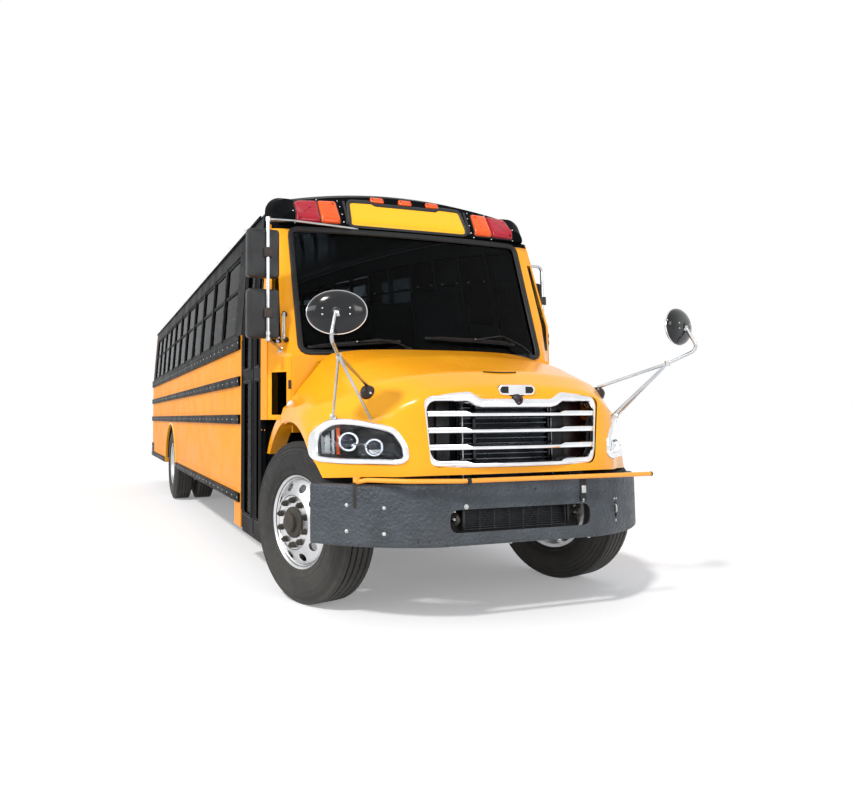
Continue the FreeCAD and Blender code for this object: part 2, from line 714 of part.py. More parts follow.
def dashboard():
    """Dashboard with the instrument binnacle, steering column and steering wheel."""
    floor = size("floor_height")
    points = [(-255, 0, 1150), (-255, 0, 1590), (-430, 0, 1575),
              (-560, 0, 1490), (-560, 0, 1380), (-330, 0, 1150)]
    dash = face_of([(x, -1000, z) for x, y, z in points]).extrude(Vector(0, 1990, 0))
    dash = dash.cut(block((-700, -285), (-1050, -470), (1100, 1400)))
    seat_side = 560.0
    hub = Vector(-705, seat_side, 1560)
    lean = Vector(-0.82, 0, 0.57)
    column = rod((-420, seat_side, 1362), tuple(hub), 60)
    wheel = Part.makeTorus(215, 15, hub, lean)
    boss = Part.makeCylinder(52, 34, hub - lean * 17, lean)
    spokes = []
    for angle in (90, 210, 330):
        turn = FreeCAD.Rotation(lean, angle)
        arm = turn.multVec(lean.cross(Vector(0, 1, 0)).normalize())
        spokes.append(rod(tuple(hub), tuple(hub + arm * 212), 22))
    binnacle = block((-600, -400), (seat_side - 230, seat_side + 230), (1480, 1640))
    binnacle = binnacle.cut(block((-601, -560), (seat_side - 200, seat_side + 200), (1500, 1620)))
    feature("dashboard", one_solid([dash, column, wheel, boss, binnacle] + spokes))


# ---------------------------------------------------------------- floor, seats

# Entrance steps: name, outer edge from the centre plane, inner edge, top height.
STEPS = (("first", 1185, 930, 300), ("second", 930, 700, 585), ("third", 700, 480, 868))


def floor():
    """Cabin floor with the step well hanging from it at the entrance."""
    rear = body_rear() + size("wall")
    top, deep = size("floor_height"), size("floor_depth")
    wide = size("half_width") - size("wall")
    well_rear, well_front = -size("door_rear"), -size("step_front")
    sheet_gauge = size("step_sheet")
    slab = block((rear, -size("cowl_front") - size("wall")), (-wide, wide), (top - deep, top))
    ahead = block((-625, 100), (1020, 1300), (0, 1200))
    slab = slab.cut(ahead).cut(flipped(ahead))
    slab = slab.cut(block((well_rear, well_front), (-wide - 10, -480), (top - 90, top + 10)))
    pieces = [slab]
    previous = top
    for name, outer, inner, height in reversed(STEPS):
        across = -inner + sheet_gauge
        tread = block((well_rear, well_front), (-outer, across), (height - sheet_gauge, height))
        riser = block((well_rear, well_front), (-inner, across), (height - sheet_gauge, previous))
        pieces += [tread, riser]
        previous = height
    for near in (well_rear, well_front - sheet_gauge):
        points = [(near, -1155, 276), (near, -930, 276), (near, -700, 561), (near, -456, 844),
                  (near, -456, top), (near, -1155, top)]
        pieces.append(face_of(points).extrude(Vector(sheet_gauge, 0, 0)))
    feature("floor", one_solid(pieces))


def seat_row(label, side):
    """A row of benches along one side, each standing on two legs with its back behind it."""
    body = new_body(label)
    inner = "(half_width - wall - 12 - seat_width)"
    lift = "floor_height"
    bench = ((-1700, f"{lift} + seat_height - 150"), (-1700, f"{lift} + seat_height"),
             (-2070, f"{lift} + seat_height - 20"), (-2110, f"{lift} + seat_back"),
             (-2190, f"{lift} + seat_back"), (-2170, f"{lift} + seat_height - 150"))
    start = f"-{side} * ({inner} + seat_width)" if side > 0 else inner
    sketch = outline(body, label + "_bench", "XZ_Plane", bench, start)
    bench_pad = pad(body, sketch, "seat_width")
    legs = []
    for number, across in enumerate((60, 640)):
        low = f"{side} * ({inner} + {across})"
        high = f"{side} * ({inner} + {across} + 40)"
        corners = ((-2140, low), (-1760, low), (-1760, high), (-2140, high))
        leg = outline(body, f"{label}_leg{number}", "XY_Plane", corners, lift)
        legs.append(pad(body, leg, "seat_height - 140"))
    along(body, [bench_pad] + legs, "X_Axis", "window_bay", "bay_count - 1")


def driver_seat():
    floor_top = size("floor_height")
    cushion = block((-1390, -900), (320, 800), (floor_top + 330, floor_top + 450))
    back = face_of([(-1360, 320, floor_top + 450), (-1500, 320, floor_top + 1080),
                    (-1590, 320, floor_top + 1080), (-1470, 320, floor_top + 330),
                    (-1380, 320, floor_top + 330)]).extrude(Vector(0, 480, 0))
    post = rod((-1150, 560, floor_top), (-1150, 560, floor_top + 340), 150)
    plate = block((-1330, -970), (400, 720), (floor_top, floor_top + 20))
    feature("driver_seat", one_solid([cushion, back, post, plate]))


# ---------------------------------------------------------------- frame and what it carries

# Stations along the bus, ahead of the front axle.
CROSS_TUBES = (-1100.0, -2700.0, -3700.0, -4700.0, -5900.0, -7250.0, -8400.0, -9550.0)
BODY_SILLS = (-1700.0, -3300.0, -4900.0, -5780.0, -7380.0, -8900.0)


def frame_rails():
    """Two channel rails, open towards each other."""
    low, tall = size("frame_bottom"), size("frame_height")
    outer, flange, gauge = size("frame_half_width"), size("frame_flange"), size("frame_gauge")
    rear, front = body_rear() + 60, size("frame_front")
    rail = block((rear, front), (outer - flange, outer), (low, low + tall))
    rail = rail.cut(block((rear - 1, front + 1), (outer - flange - 1, outer - gauge),
                          (low + gauge, low + tall - gauge)))
    feature("frame_rails", Part.makeCompound([rail, flipped(rail)]))


def cross_members():
    """Tubes between the rails' webs and the body's sills across the rails' tops."""
    low, tall = size("frame_bottom"), size("frame_height")
    web = size("frame_half_width") - size("frame_gauge")
    reach = size("frame_half_width") + 500
    sill_top = size("floor_height") - size("floor_depth")
    pieces = [rod((ahead, -web, low + 190), (ahead, web, low + 190), 70) for ahead in CROSS_TUBES]
    pieces += [block((ahead, ahead + 60), (-reach, reach), (low + tall, sill_top)) for ahead in BODY_SILLS]
    feature("cross_members", Part.makeCompound(pieces))


def engine():
    """Engine and gearbox as one plain block."""
    low = size("frame_bottom") - 60
    block_part = block((-150, 600), (-300, 300), (low, 1330))
    gearbox = block((-1000, -150), (-210, 210), (low + 40, 1040))
    feature("engine", one_solid([block_part, gearbox]))


def radiator():
    core = block((700, 770), (-400, 400), (890, 1330))
    between_rails = block((700, 770), (-340, 340), (640, 890))
    tank = block((690, 780), (-430, 430), (1300, 1350))
    feature("radiator", one_solid([core, between_rails, tank]))


def driveline():
    """Propeller shaft from the gearbox to the rear axle, its centre bearing hung from a cross tube."""
    hung = CROSS_TUBES[2]
    start, middle, end = (-1010, 0, 715), (hung, 0, 680), (-size("wheelbase") + 330, 0, 560)
    bearing = rod((hung - 60, 0, 680), (hung + 60, 0, 680), 170)
    hanger = block((hung - 30, hung + 30), (-40, 40), (740, size("frame_bottom") + 155))
    feature("driveline", one_solid([rod(start, middle, 100), rod(middle, end, 100), bearing, hanger]))


def exhaust():
    """Silencer outside the right rail, its pipe from the engine and its tail pipe to the rear."""
    across, level = -690.0, 740.0
    can = rod((-2300, across, level), (-3500, across, level), 250)
    flange = block((-830, -750), (-190, -110), (560, 600))
    front = tube_path([(-760, -150, 545), (-1000, -300, 545), (-1500, across, 600),
                       (-2000, across, level), (-2320, across, level)], 100, 60)
    tail = tube_path([(-3480, across, level), (-5200, across, level), (-5500, -510, 760),
                      (-7500, -510, 760), (-7900, -620, 700), (-8900, -620, 430),
                      (body_rear() - 60, -620, 430)], 90, 120)
    feature("exhaust", one_solid([can, flange, front, tail]))


def fuel_tank():
    """Tank slung outside the left rail by two straps."""
    low, high = 480.0, 866.0
    tank = block((-3600, -2300), (480, 1060), (low, high))
    tank = tank.makeFillet(60, [edge for edge in tank.Edges if edge.BoundBox.XLength > 1000])
    pieces = [tank]
    for ahead in (-3350.0, -2550.0):
        strap = block((ahead - 25, ahead + 25), (476, 1064), (low - 4, high + 4))
        pieces.append(strap.makeFillet(62, [edge for edge in strap.Edges if edge.BoundBox.XLength > 40]))
        pieces.append(block((ahead - 25, ahead + 25), (430, 500), (700, 800)))
    feature("fuel_tank", one_solid(pieces))


BUMPER_BEND = (540.0, 925.0, 800.0)   # flat half width, then how far ahead a middle point stands
BUMPER_END = (570.0, 1172.0)          # ahead, across


def bumper_line(inset, height):
    """Half of the bumper's plan: flat in front, then an arc back to its end."""
    face = size("bumper_face") - inset
    flat = BUMPER_BEND[0] - inset * 0.35
    return [(face, -flat, height), (BUMPER_END[0] - inset * 0.2, -BUMPER_END[1] + inset, height),
            (face, flat, height), (BUMPER_END[0] - inset * 0.2, BUMPER_END[1] - inset, height)]


def bracket_span(side):
    """A bumper bracket's two faces, against the inside of a frame rail's web."""
    web = size("frame_half_width") - size("frame_gauge")
    return sorted((side * web, side * (web - 14)))


PLATE_HOLES = (89.0, 775.0, 4.5)          # half the spacing, height and radius
TOW_SLOT = (420.0, 555.0, 680.0)          # half length between its round ends, lower and upper edge
HOOD_PIN = (912.0, 900.0, 10.0)           # ahead, height and radius of the hood's hinge pins


def bumper_section():
    """The bumper's plan as points of its outer and inner line, from the flat to the left end."""
    low, gauge = size("bumper_bottom"), size("bumper_gauge")
    lines = []
    for inset in (0.0, gauge):
        flat, end = bumper_line(inset, low)[2:]
        lines.append((flat, (845.0 - inset * 0.8, 905.0 - inset * 0.6, low), end))
    return lines


def bumper_ends():
    """The curved ends of the front bumper; the right one carries the crossing arm's hinge."""
    low, high = size("bumper_bottom"), size("bumper_top")
    outer, inner = bumper_section()
    points = [outer[0], outer[2], inner[2], inner[0]]
    left = face_of(points, ((0, outer[1]), (2, inner[1]))).extrude(Vector(0, 0, high - low))
    ahead, side = size("arm_pivot_ahead"), -size("arm_pivot_side")
    bracket = block((ahead - 50, ahead + 12), (side - 25, side + 25), (high - 180, high + 6))
    feature("bumper_ends", Part.makeCompound([one_solid([flipped(left), bracket]), left]))


def front_bumper():
    """Middle of the front bumper with a slot for air, tow hooks and brackets from the rails."""
    low, high, gauge = size("bumper_bottom"), size("bumper_top"), size("bumper_gauge")
    face = size("bumper_face")
    outer, inner = bumper_section()
    points = [outer[0], inner[0], other(inner[0]), other(outer[0])]
    plate = face_of(points).extrude(Vector(0, 0, high - low))
    reach, bottom, top = TOW_SLOT
    plate = plate.cut(block((900, 1100), (-reach, reach), (bottom, top)))
    half_spacing, height, radius = PLATE_HOLES
    pieces = []
    rear = size("frame_front") - 60
    middle = (bottom + top) / 2
    for side in (-1, 1):
        plate = plate.cut(rod((900, side * reach, middle), (1100, side * reach, middle), top - bottom))
        plate = plate.cut(rod((900, side * half_spacing, height), (1100, side * half_spacing, height),
                              2 * radius))
        pieces.append(block((rear, face - 4), bracket_span(side), (690, high - 40)))
        hook = block((face - 110, face + 2), sorted((side * 385, side * 411)), (585, 650))
        eye = rod((face - 30, side * 380, 617), (face - 30, side * 416, 617), 32)
        pieces.append(hook.cut(eye))
        pieces.append(block((face - 110, face - 4), sorted((side * 398, side * 425)), (640, 700)))
    feature("front_bumper", one_solid([plate] + pieces))


def hood_brackets():
    """Ears on the front ends of the frame rails, which hold the hood's hinge pins."""
    ahead, up, pin = HOOD_PIN
    ears = []
    for side in (-1, 1):
        foot = block((size("frame_front") - 60, size("frame_front")), bracket_span(side),
                     (size("frame_bottom") + size("frame_height"), up + pin + 5))
        finger = block((size("frame_front") - 1, ahead + pin + 4), bracket_span(side),
                       (up - pin - 4, up + pin + 5))
        ear = one_solid([foot, finger])
        ears.append(ear.cut(rod((ahead, side * 300, up), (ahead, side * 500, up), 2 * pin + 1)))
    feature("hood_brackets", Part.makeCompound(ears))


def rear_bumper():
    """Folded steel across the tail and round its corners, on brackets from the frame rails."""
    depth, gauge = size("rear_bumper_depth"), size("bumper_gauge")
    rear, ends = body_rear() - depth, body_rear() + SIDE_WRAP
    low, high = size("rear_bumper_bottom"), size("rear_bumper_top")
    wide = size("half_width")
    corner = 80
    left = [(rear, wide - corner), (rear + corner + gauge, wide + gauge + 2), (ends, wide + gauge + 2)]
    left += [(ends, wide + 2), (rear + corner + gauge + 5, wide + 2), (rear + gauge, wide - corner - 4)]
    outer, inner = left[:3], left[3:]
    points = [(x, -y, low) for x, y in reversed(outer)] + [(x, y, low) for x, y in outer + inner]
    points += [(x, -y, low) for x, y in reversed(inner)]
    pieces = [face_of(points).extrude(Vector(0, 0, high - low))]
    for side in (-1, 1):
        pieces.append(block((rear + 4, body_rear() + 260), bracket_span(side), (650, 730)))
    feature("rear_bumper", one_solid(pieces))


# ---------------------------------------------------------------- hood and its fittings

# The hood's outer surface, cut along the bus at distances from the centre plane. Each row
# goes over its top: rear edge, middle, nose, brow and lower front, as (ahead, height) pairs.
HOOD = (  # across, rear, middle, nose, brow, lower front
    (0.0, (-60, 1690), (300, 1615), (780, 1480), (968, 1375), (965, 870)),
    (600.0, (-85, 1680), (300, 1590), (760, 1440), (948, 1325), (948, 870)),
    (840.0, (-125, 1650), (300, 1540), (650, 1405), (770, 1190), (800, 862)),
    (1040.0, (-190, 1480), (250, 1420), (470, 1330), (610, 1215), (640, 850)),
    (1150.0, (-190, 1262), (150, 1262), (300, 1230), (430, 1120), (500, 842)),
)


def hood_solid(inset, reach):
    """The filled space below the hood's surface, moved in by an inset and longer below and behind."""
    wires = []
    widest = HOOD[-1][0]
    rows = [(-row[0],) + row[1:] for row in reversed(HOOD[1:])] + list(HOOD)
    for across, rear, middle, nose, brow, lower in rows:
        y = across * (size("hood_half_width") - inset) / widest
        low = lower[1] - reach
        points = [(rear[0] - reach, y, low), (rear[0] - reach, y, rear[1] - inset),
                  (middle[0], y, middle[1] - inset), (nose[0] - inset * 0.4, y, nose[1] - inset),
                  (brow[0] - inset, y, brow[1] - inset * 0.6), (lower[0] - inset, y, low)]
        wires.append(face_of(points).OuterWire)
    return Part.makeLoft(wires, True, True)


HEADLIGHT = ((690, 965), (730, 938), (1000, 938), (1120, 985), (1128, 1110), (1050, 1188),
             (950, 1188), (756, 1144), (695, 1040))     # (across, height), on the left
GRILLE = ((514, 915), (563, 981), (595, 1290), (560, 1335), (311, 1351), (240, 1311))


LAMP_DEPTH = 90.0


def headlight_prism(margin=0.0):
    middle = (910, 1060)
    points = []
    for across, height in HEADLIGHT:
        points.append((250, across + margin * math.copysign(1, across - middle[0]),
                       height + margin * math.copysign(1, height - middle[1])))
    return face_of(points).extrude(Vector(650, 0, 0))


def grille_face(x, margin=0.0):
    half = [(across + margin, height + margin * math.copysign(1, height - 1100))
            for across, height in GRILLE]
    points = [(x, across, height) for across, height in half]
    points += [(x, -across, height) for across, height in reversed(half)]
    return face_of(points)


def hood():
    shell = hood_solid(0, 0).cut(hood_solid(size("hood_skin"), 60))
    for side in (-1, 1):
        centre = Vector(0, side * 760, size("tyre_diameter") / 2)
        shell = shell.cut(Part.makeCylinder(size("hood_arch"), 500, centre, Vector(0, side, 0)))
    prism = headlight_prism()
    shell = shell.cut(prism).cut(flipped(prism))
    shell = shell.cut(grille_face(900, 1).extrude(Vector(200, 0, 0)))
    shell = max(shell.Solids, key=lambda part: part.Volume)
    ahead, up, pin = HOOD_PIN
    lugs = []
    for side in (-1, 1):
        lugs.append(block((ahead - 25, ahead + 36), sorted((side * 345, side * 375)), (up - 20, up + 10)))
        lugs.append(rod((ahead, side * 345, up), (ahead, side * 421, up), 2 * pin))
    feature("hood", one_solid([shell] + lugs))


def headlights():
    """Both headlamp units, each as deep as its housing and flush with the wing."""
    lamp = hood_solid(0, 0).common(headlight_prism(-1.0))
    behind = hood_solid(0, 0)
    behind.translate(Vector(-LAMP_DEPTH, 0, 0))
    lamp = max(lamp.cut(behind).Solids, key=lambda part: part.Volume)
    feature("headlights", Part.makeCompound([lamp, flipped(lamp)]))


def grille():
    """Grille frame with three bars, in the hood's nose."""
    plate = grille_face(926).extrude(Vector(56, 0, 0))
    rows = ((944, 1012), (1044, 1110), (1142, 1206), (1238, 1294))   # (lower edge, upper edge)
    for low, high in rows:
        taper = 520 + (low - 944) * 0.09
        points = [(900, -taper, low), (900, taper, low), (900, taper + 6, high), (900, -taper - 6, high)]
        plate = plate.cut(face_of(points).extrude(Vector(120, 0, 0)))
    feature("grille", plate)


def crossview_mirrors():
    """Oval mirrors on stalks that stand on the hood's corners."""
    tube = 22.0
    mount, joint = (655, 835, 1395), (980, 1130, 1540)
    bend, head = (1142, 1230, 1622), (1075, 1178, 1772)
    stalk = tube_path([mount, joint, bend, head], tube, 40)
    struts = [rod((748, 846, 1185), joint, 18), rod((600, 1036, 1206), joint, 18)]
    rings = []
    for ahead, across, up in ((0, 165, 120), (22, 158, 114), (44, 120, 86), (54, 60, 42)):
        ring = Part.Ellipse(Vector(ahead, across, 0), Vector(ahead, 0, up), Vector(ahead, 0, 0))
        rings.append(Part.Wire(ring.toShape()))
    shell = Part.makeLoft(rings, True, True)
    shell.rotate(Vector(0, 0, 0), Vector(0, 0, 1), 22)
    shell.translate(Vector(1040, 1160, 1772))
    whole = clear_of(one_solid([stalk] + struts + [shell]), "hood")
    feature("crossview_mirrors", Part.makeCompound([whole, flipped(whole)]))


def mirror_head(bar, across, heights, depth):
    """A mirror's housing behind its bar, with the clamp between them."""
    x, y = bar
    head = block((x - depth - 10, x - 10), across, heights)
    head = head.makeFillet(min(28, depth * 0.4), head.Edges)
    middle = sum(heights) / 2
    clamp = block((x - 22, x + 16), (y - 22, y + 22), (middle - 25, middle + 25))
    return [head, clamp]


def right_mirrors():
    """Two mirrors on a bar beside the entrance, held by arms above and below."""
    x, y = -200.0, -1241.0
    pieces = [rod((x, y, 1740), (x, y, 2620), 26),
              tube_path([(x, y, 2600), (-380, -1000, 2655), (-532, -446, 2675)], 20, 60),
              rod((x, y, 1752), (-318, -1115, 1690), 20),
              rod((x, y, 1790), (-345, -1125, 1765), 16)]
    for heights in ((1760, 2110), (2190, 2540)):
        pieces += mirror_head((x, y), (-1385, -1150), heights, 75)
    feature("right_mirrors", clear_of(one_solid(pieces), "cowl", "front_cap", "front_glass"))


def left_mirrors():
    """A mirror and a smaller one below it on a bar ahead of the driver's window."""
    x, y = -615.0, 1300.0
    wall_low, wall_high = 1200.0, 1152.0
    pieces = [tube_path([(x, wall_high + 8, 2500), (x, y, 2500), (x, y, 1850), (x, wall_low, 1850)], 26, 50),
              block((x - 32, x + 32), (wall_high + 6, wall_high + 18), (2470, 2530)),
              block((x - 32, x + 32), (wall_low, wall_low + 12), (1820, 1880))]
    pieces += mirror_head((x, y), (1200, 1312), (2040, 2360), 75)
    pieces += mirror_head((x, y), (1232, 1322), (1885, 1990), 50)
    feature("left_mirrors", one_solid(pieces))


# ---------------------------------------------------------------- doors, stop arm, crossing arm

def entrance_leaf(label, rear, front, hinge):
    """An entrance leaf that follows the wall's section, glazed above and below its rail."""
    body = new_body(label)
    outer, fall = "(half_width - 8)", "(half_width - eave_half_width) / (eave_height - sill_height)"
    top = "(door_top - gap)"
    low = "(door_bottom + gap)"
    crest = f"({outer} - ({top} - sill_height) * {fall})"
    corners = ((f"-{outer}", low), (f"-{outer}", "sill_height"), (f"-{crest}", top),
               (f"leaf - {crest}", top), (f"leaf - {outer}", "sill_height"), (f"leaf - {outer}", low))
    section = outline(body, label + "_section", "YZ_Plane", corners, rear)
    pad(body, section, f"({front} - {rear})")
    # Glazed panels: name, lower edge, upper edge.
    for name, bottom, height in (("low", "low_pane_bottom", "low_pane_top"),
                                 ("high", "high_pane_bottom", "high_pane_top")):
        hole = rectangle(body, f"{label}_{name}", "XZ_Plane",
                         (f"{rear} + leaf_frame", f"{front} - leaf_frame"), (bottom, height))
        pocket(body, hole)
    pane = ((f"15 - {outer}", "low_pane_bottom - 10"), (f"15 - {outer}", "sill_height"),
            (f"15 - {crest}", f"{top} - 60"), (f"15 + glass - {crest}", f"{top} - 60"),
            (f"15 + glass - {outer}", "sill_height"), (f"15 + glass - {outer}", "low_pane_bottom - 10"))
    sheet_of_glass = outline(body, label + "_glass", "YZ_Plane", pane, f"{rear} + 20")
    pad(body, sheet_of_glass, f"({front} - {rear}) - 40")
    pin = circle(body, label + "_hinge", "XY_Plane", (hinge, "-hinge_line"), "5.5", "door_bottom + 150")
    pad(body, pin, "sill_height - door_bottom - 200")


def stop_arm():
    """Octagonal stop blade with no lettering, folded flat against the left side."""
    y = size("half_width") + size("rail_stand") + 14
    middle = Vector(-2330, y, 1650)
    radius = 235.0
    points = []
    for number in range(8):
        angle = math.radians(22.5 + 45 * number)
        points.append((middle.x + radius * math.cos(angle), y, middle.z + radius * math.sin(angle)))
    blade = face_of(points).extrude(Vector(0, 8, 0))
    arm = block((-2120, -2040), (y, y + 8), (1580, 1720))
    barrel = rod((-2040, y + 4, 1560), (-2040, y + 4, 1740), 22)
    feature("stop_arm", one_solid([blade, arm, barrel]))


def stop_arm_base():
    """Box on the left side that the stop arm's hinge is fixed to."""
    y = size("half_width")
    base = block((-2022, -1880), (y, y + 44), (1562, 1738))
    feature("stop_arm_base", base)


def crossing_arm():
    """Yellow arm folded along the front bumper, hinged at the bus's right."""
    z = size("arm_height")
    ahead, side = size("arm_pivot_ahead"), -size("arm_pivot_side")
    arm = tube_path([(ahead, side, z), (ahead + 250, side + 240, z), (1072, -420, z), (1072, 885, z)],
                    size("arm_tube"), 90)
    hub = rod((ahead, side, z - 13), (ahead, side, z + 20), 46)
    feature("crossing_arm", one_solid([arm, hub]))


# ---------------------------------------------------------------- axles, knuckles and wheels

AXLE_HEIGHT = size("tyre_diameter") / 2
# Leaf springs: name, ahead, across, top of the pack, half length, leaves, step and top of hangers.
SPRINGS = (
    ("front_springs", 0.0, 392.0, AXLE_HEIGHT + 6, 720.0, 4, 110.0, size("frame_bottom")),
    ("rear_springs", -size("wheelbase"), 468.0, AXLE_HEIGHT + 159, 760.0, 6, 85.0, AXLE_HEIGHT + 175),
)
LEAF = (38.0, 14.0)   # half width and thickness


def springs(label, ahead, across, top, reach, leaves, step, hanger_top):
    """A pack of leaves of falling length on each side, hung from the rail at both ends."""
    wide, thick = LEAF
    span = (across - wide, across + wide)
    pieces = []
    for number in range(leaves):
        half = reach - number * step
        low = top - (number + 1) * thick
        pieces.append(block((ahead - half, ahead + half), span, (low, low + thick)))
    for end in (-reach + 30, reach - 30):
        pieces.append(block((ahead + end - 22, ahead + end + 22), span, (top - thick, hanger_top)))
    pack = one_solid(pieces)
    feature(label, Part.makeCompound([pack, flipped(pack)]))


def front_axle():
    """Dropped beam with an eye for each kingpin, under its two leaf springs."""
    axle = size("tyre_diameter") / 2
    kingpin = size("kingpin_span") / 2
    beam = block((-45, 45), (-kingpin + 110, kingpin - 110), (axle - 130, axle - 50))
    pieces = [beam]
    for side in (-1, 1):
        line = ((-160, -130), (-160, -50), (-60, 45), (-18, 45), (-18, -45), (-75, -45), (-110, -100))
        rise = [(-40, side * (kingpin + across), axle + up) for across, up in line]
        pieces.append(face_of(rise).extrude(Vector(80, 0, 0)))
        eye = rod((0, side * kingpin, axle - 45), (0, side * kingpin, axle + 45), 84)
        pieces.append(eye)
    solid = one_solid(pieces)
    for side in (-1, 1):
        solid = solid.cut(rod((0, side * kingpin, axle - 60), (0, side * kingpin, axle + 60), 46))
    feature("front_axle", solid)


def knuckle(label, side):
    """Steering knuckle: kingpin, yoke and wheel spindle, drawn about its kingpin."""
    offset = (size("front_track") - size("kingpin_span")) / 2
    pin = rod((0, 0, -95), (0, 0, 95), 44)
    yoke = [block((-42, 42), sorted((side * -42, side * 62)), z) for z in ((-92, -51), (51, 92))]
    web = block((-42, 42), sorted((side * 48, side * 66)), (-92, 92))
    flange = Part.makeCylinder(120, 12, Vector(0, side * 60, 0), Vector(0, side, 0))
    spindle = Part.makeCylinder(36, offset + 20, Vector(0, side * 56, 0), Vector(0, side, 0))
    arm = block((-210, -30), sorted((side * -30, side * 4)), (-88, -58))
    thing = feature(label, one_solid([pin, web, flange, spindle, arm] + yoke))
    place_at_kingpin(thing, side)


def place_at_kingpin(thing, side):
    """Moves a shape drawn about a kingpin there, turned as the parked wheels are."""
    bind(thing, "Placement.Base.y", f"{side} * kingpin_span / 2")
    bind(thing, "Placement.Base.z", "tyre_diameter / 2")
    thing.setExpression("Placement.Rotation.Axis.z", "1")
    bind(thing, "Placement.Rotation.Angle", "steer_rest")


def tyre_solid():
    """A tyre about the Y axis, its middle at the origin."""
    outer, bead = size("tyre_diameter") / 2, size("rim_diameter") / 2 - 17
    half = size("tyre_width") / 2
    tread = half - 22
    points = [(0, -half + 36, bead), (0, -half + 34, bead + 20), (0, -half, bead + 105),
              (0, -half + 6, outer - 62), (0, -tread, outer - 8), (0, -tread + 12, outer),
              (0, tread - 12, outer), (0, tread, outer - 8), (0, half - 6, outer - 62),
              (0, half, bead + 105), (0, half - 34, bead + 20), (0, half - 36, bead)]
    return face_of(points).revolve(Vector(0, 0, 0), Vector(0, 1, 0), 360)


def rim_solid(offset, hub_from, hub_radius):
    """A rim about the Y axis: barrel, flanges, a dished disc with ten hand holes and a hub."""
    axis = Vector(0, 1, 0)
    half, flange = size("rim_width") / 2, size("rim_diameter") / 2
    outer, inner = flange - 17.5, flange - 30
    profile = [(-half, inner), (-half, flange), (-half + 9, flange), (-half + 9, outer),
               (half - 9, outer), (half - 9, flange), (half, flange), (half, inner)]
    barrel = face_of([(0, y, r) for y, r in profile]).revolve(Vector(0, 0, 0), axis, 360)
    dish = [(86, inner + 4), (offset - 16, 182), (offset - 16, 30), (offset, 30), (offset, 190),
            (104, inner + 4)]
    disc = face_of([(0, y, r) for y, r in dish]).revolve(Vector(0, 0, 0), axis, 360)
    for number in range(10):
        angle = math.radians(36 * number + 18)
        centre = Vector(226 * math.cos(angle), 60, 226 * math.sin(angle))
        disc = disc.cut(Part.makeCylinder(26, 140, centre, axis))
    hub = Part.makeCylinder(hub_radius, offset - 2 - hub_from, Vector(0, hub_from, 0), axis)
    return one_solid([barrel, disc, hub])


def front_wheel(name, side):
    """Tyre and rim on a knuckle's spindle, drawn about the kingpin."""
    offset = (size("front_track") - size("kingpin_span")) / 2
    rim = rim_solid(size("twin_spacing") / 2 - 0.5, -34, 118)
    rim = one_solid([rim, Part.makeCylinder(62, 60, Vector(0, 140, 0), Vector(0, 1, 0))])
    rim = rim.cut(Part.makeCylinder(41, 150, Vector(0, -60, 0), Vector(0, 1, 0)))
    tyre = tyre_solid()
    for label, shape in (("rim", rim), ("tyre", tyre)):
        turned = shape if side > 0 else flipped(shape)
        turned.translate(Vector(0, side * offset, 0))
        place_at_kingpin(feature(f"{name}_{label}", turned), side)


def rear_axle():
    """Axle tube with the differential's housing, on two leaf springs."""
    axle = size("tyre_diameter") / 2
    back = -size("wheelbase")
    reach = size("twin_inner") - size("tyre_width") / 2 - 22
    pieces = [rod((back, -reach, axle), (back, reach, axle), 150)]
    bowl = Part.makeSphere(205, Vector(back, 0, axle))
    nose = rod((back, 0, axle + 10), (back + 325, 0, axle + 35), 210)
    pieces += [bowl, nose]
    spindle = size("twin_inner") + size("twin_spacing") / 2 + 90
    pieces.append(rod((back, -spindle, axle), (back, spindle, axle), 90))
    whole = one_solid(pieces)
    feature("rear_axle", whole)


def rear_wheels(name, side):
    """A twin wheel: two tyres and two rims that turn together."""
    axle = size("tyre_diameter") / 2
    inner, outer = size("twin_inner"), size("twin_inner") + size("twin_spacing")
    offset = size("twin_spacing") / 2 - 0.5
    through = Part.makeCylinder(50, 600, Vector(0, -300, 0), Vector(0, 1, 0))
    inner_rim = rim_solid(offset, offset - 130, 150).cut(through)
    outer_rim = rim_solid(offset, offset - 40, 150).cut(through)
    outer_rim = outer_rim.mirror(Vector(0, 0, 0), Vector(0, 1, 0))
    drum = Part.makeCylinder(95, 190, Vector(0, -offset + 30, 0), Vector(0, 1, 0))
    hollow = Part.makeCylinder(50, 160, Vector(0, -offset, 0), Vector(0, 1, 0))
    outer_rim = one_solid([outer_rim, drum.cut(hollow)])
    groups = (("tyres", tyre_solid(), tyre_solid()), ("rims", inner_rim, outer_rim))
    for label, near, far in groups:
        solids = []
        for shape, across in ((near, inner), (far, outer)):
            shape = shape.copy()
            shape.translate(Vector(-size("wheelbase"), across, axle))
            solids.append(shape if side > 0 else flipped(shape))
        feature(f"{name}_{label}", Part.makeCompound(solids))


# ---------------------------------------------------------------- lamps

def warning_lamps():
    """Round and square lamps on the rear wall and the clearance lamps over the cap."""
    pieces = []
    x = body_rear()
    for side in (-1, 1):
        for across, height, radius in ((700, 2700, 88), (905, 2690, 88), (900, 1330, 88), (700, 1330, 60)):
            pieces.append(rod((x, side * across, height), (x - 32, side * across, height), 2 * radius))
    feature("warning_lamps", Part.makeCompound(pieces))


# ---------------------------------------------------------------- the whole bus

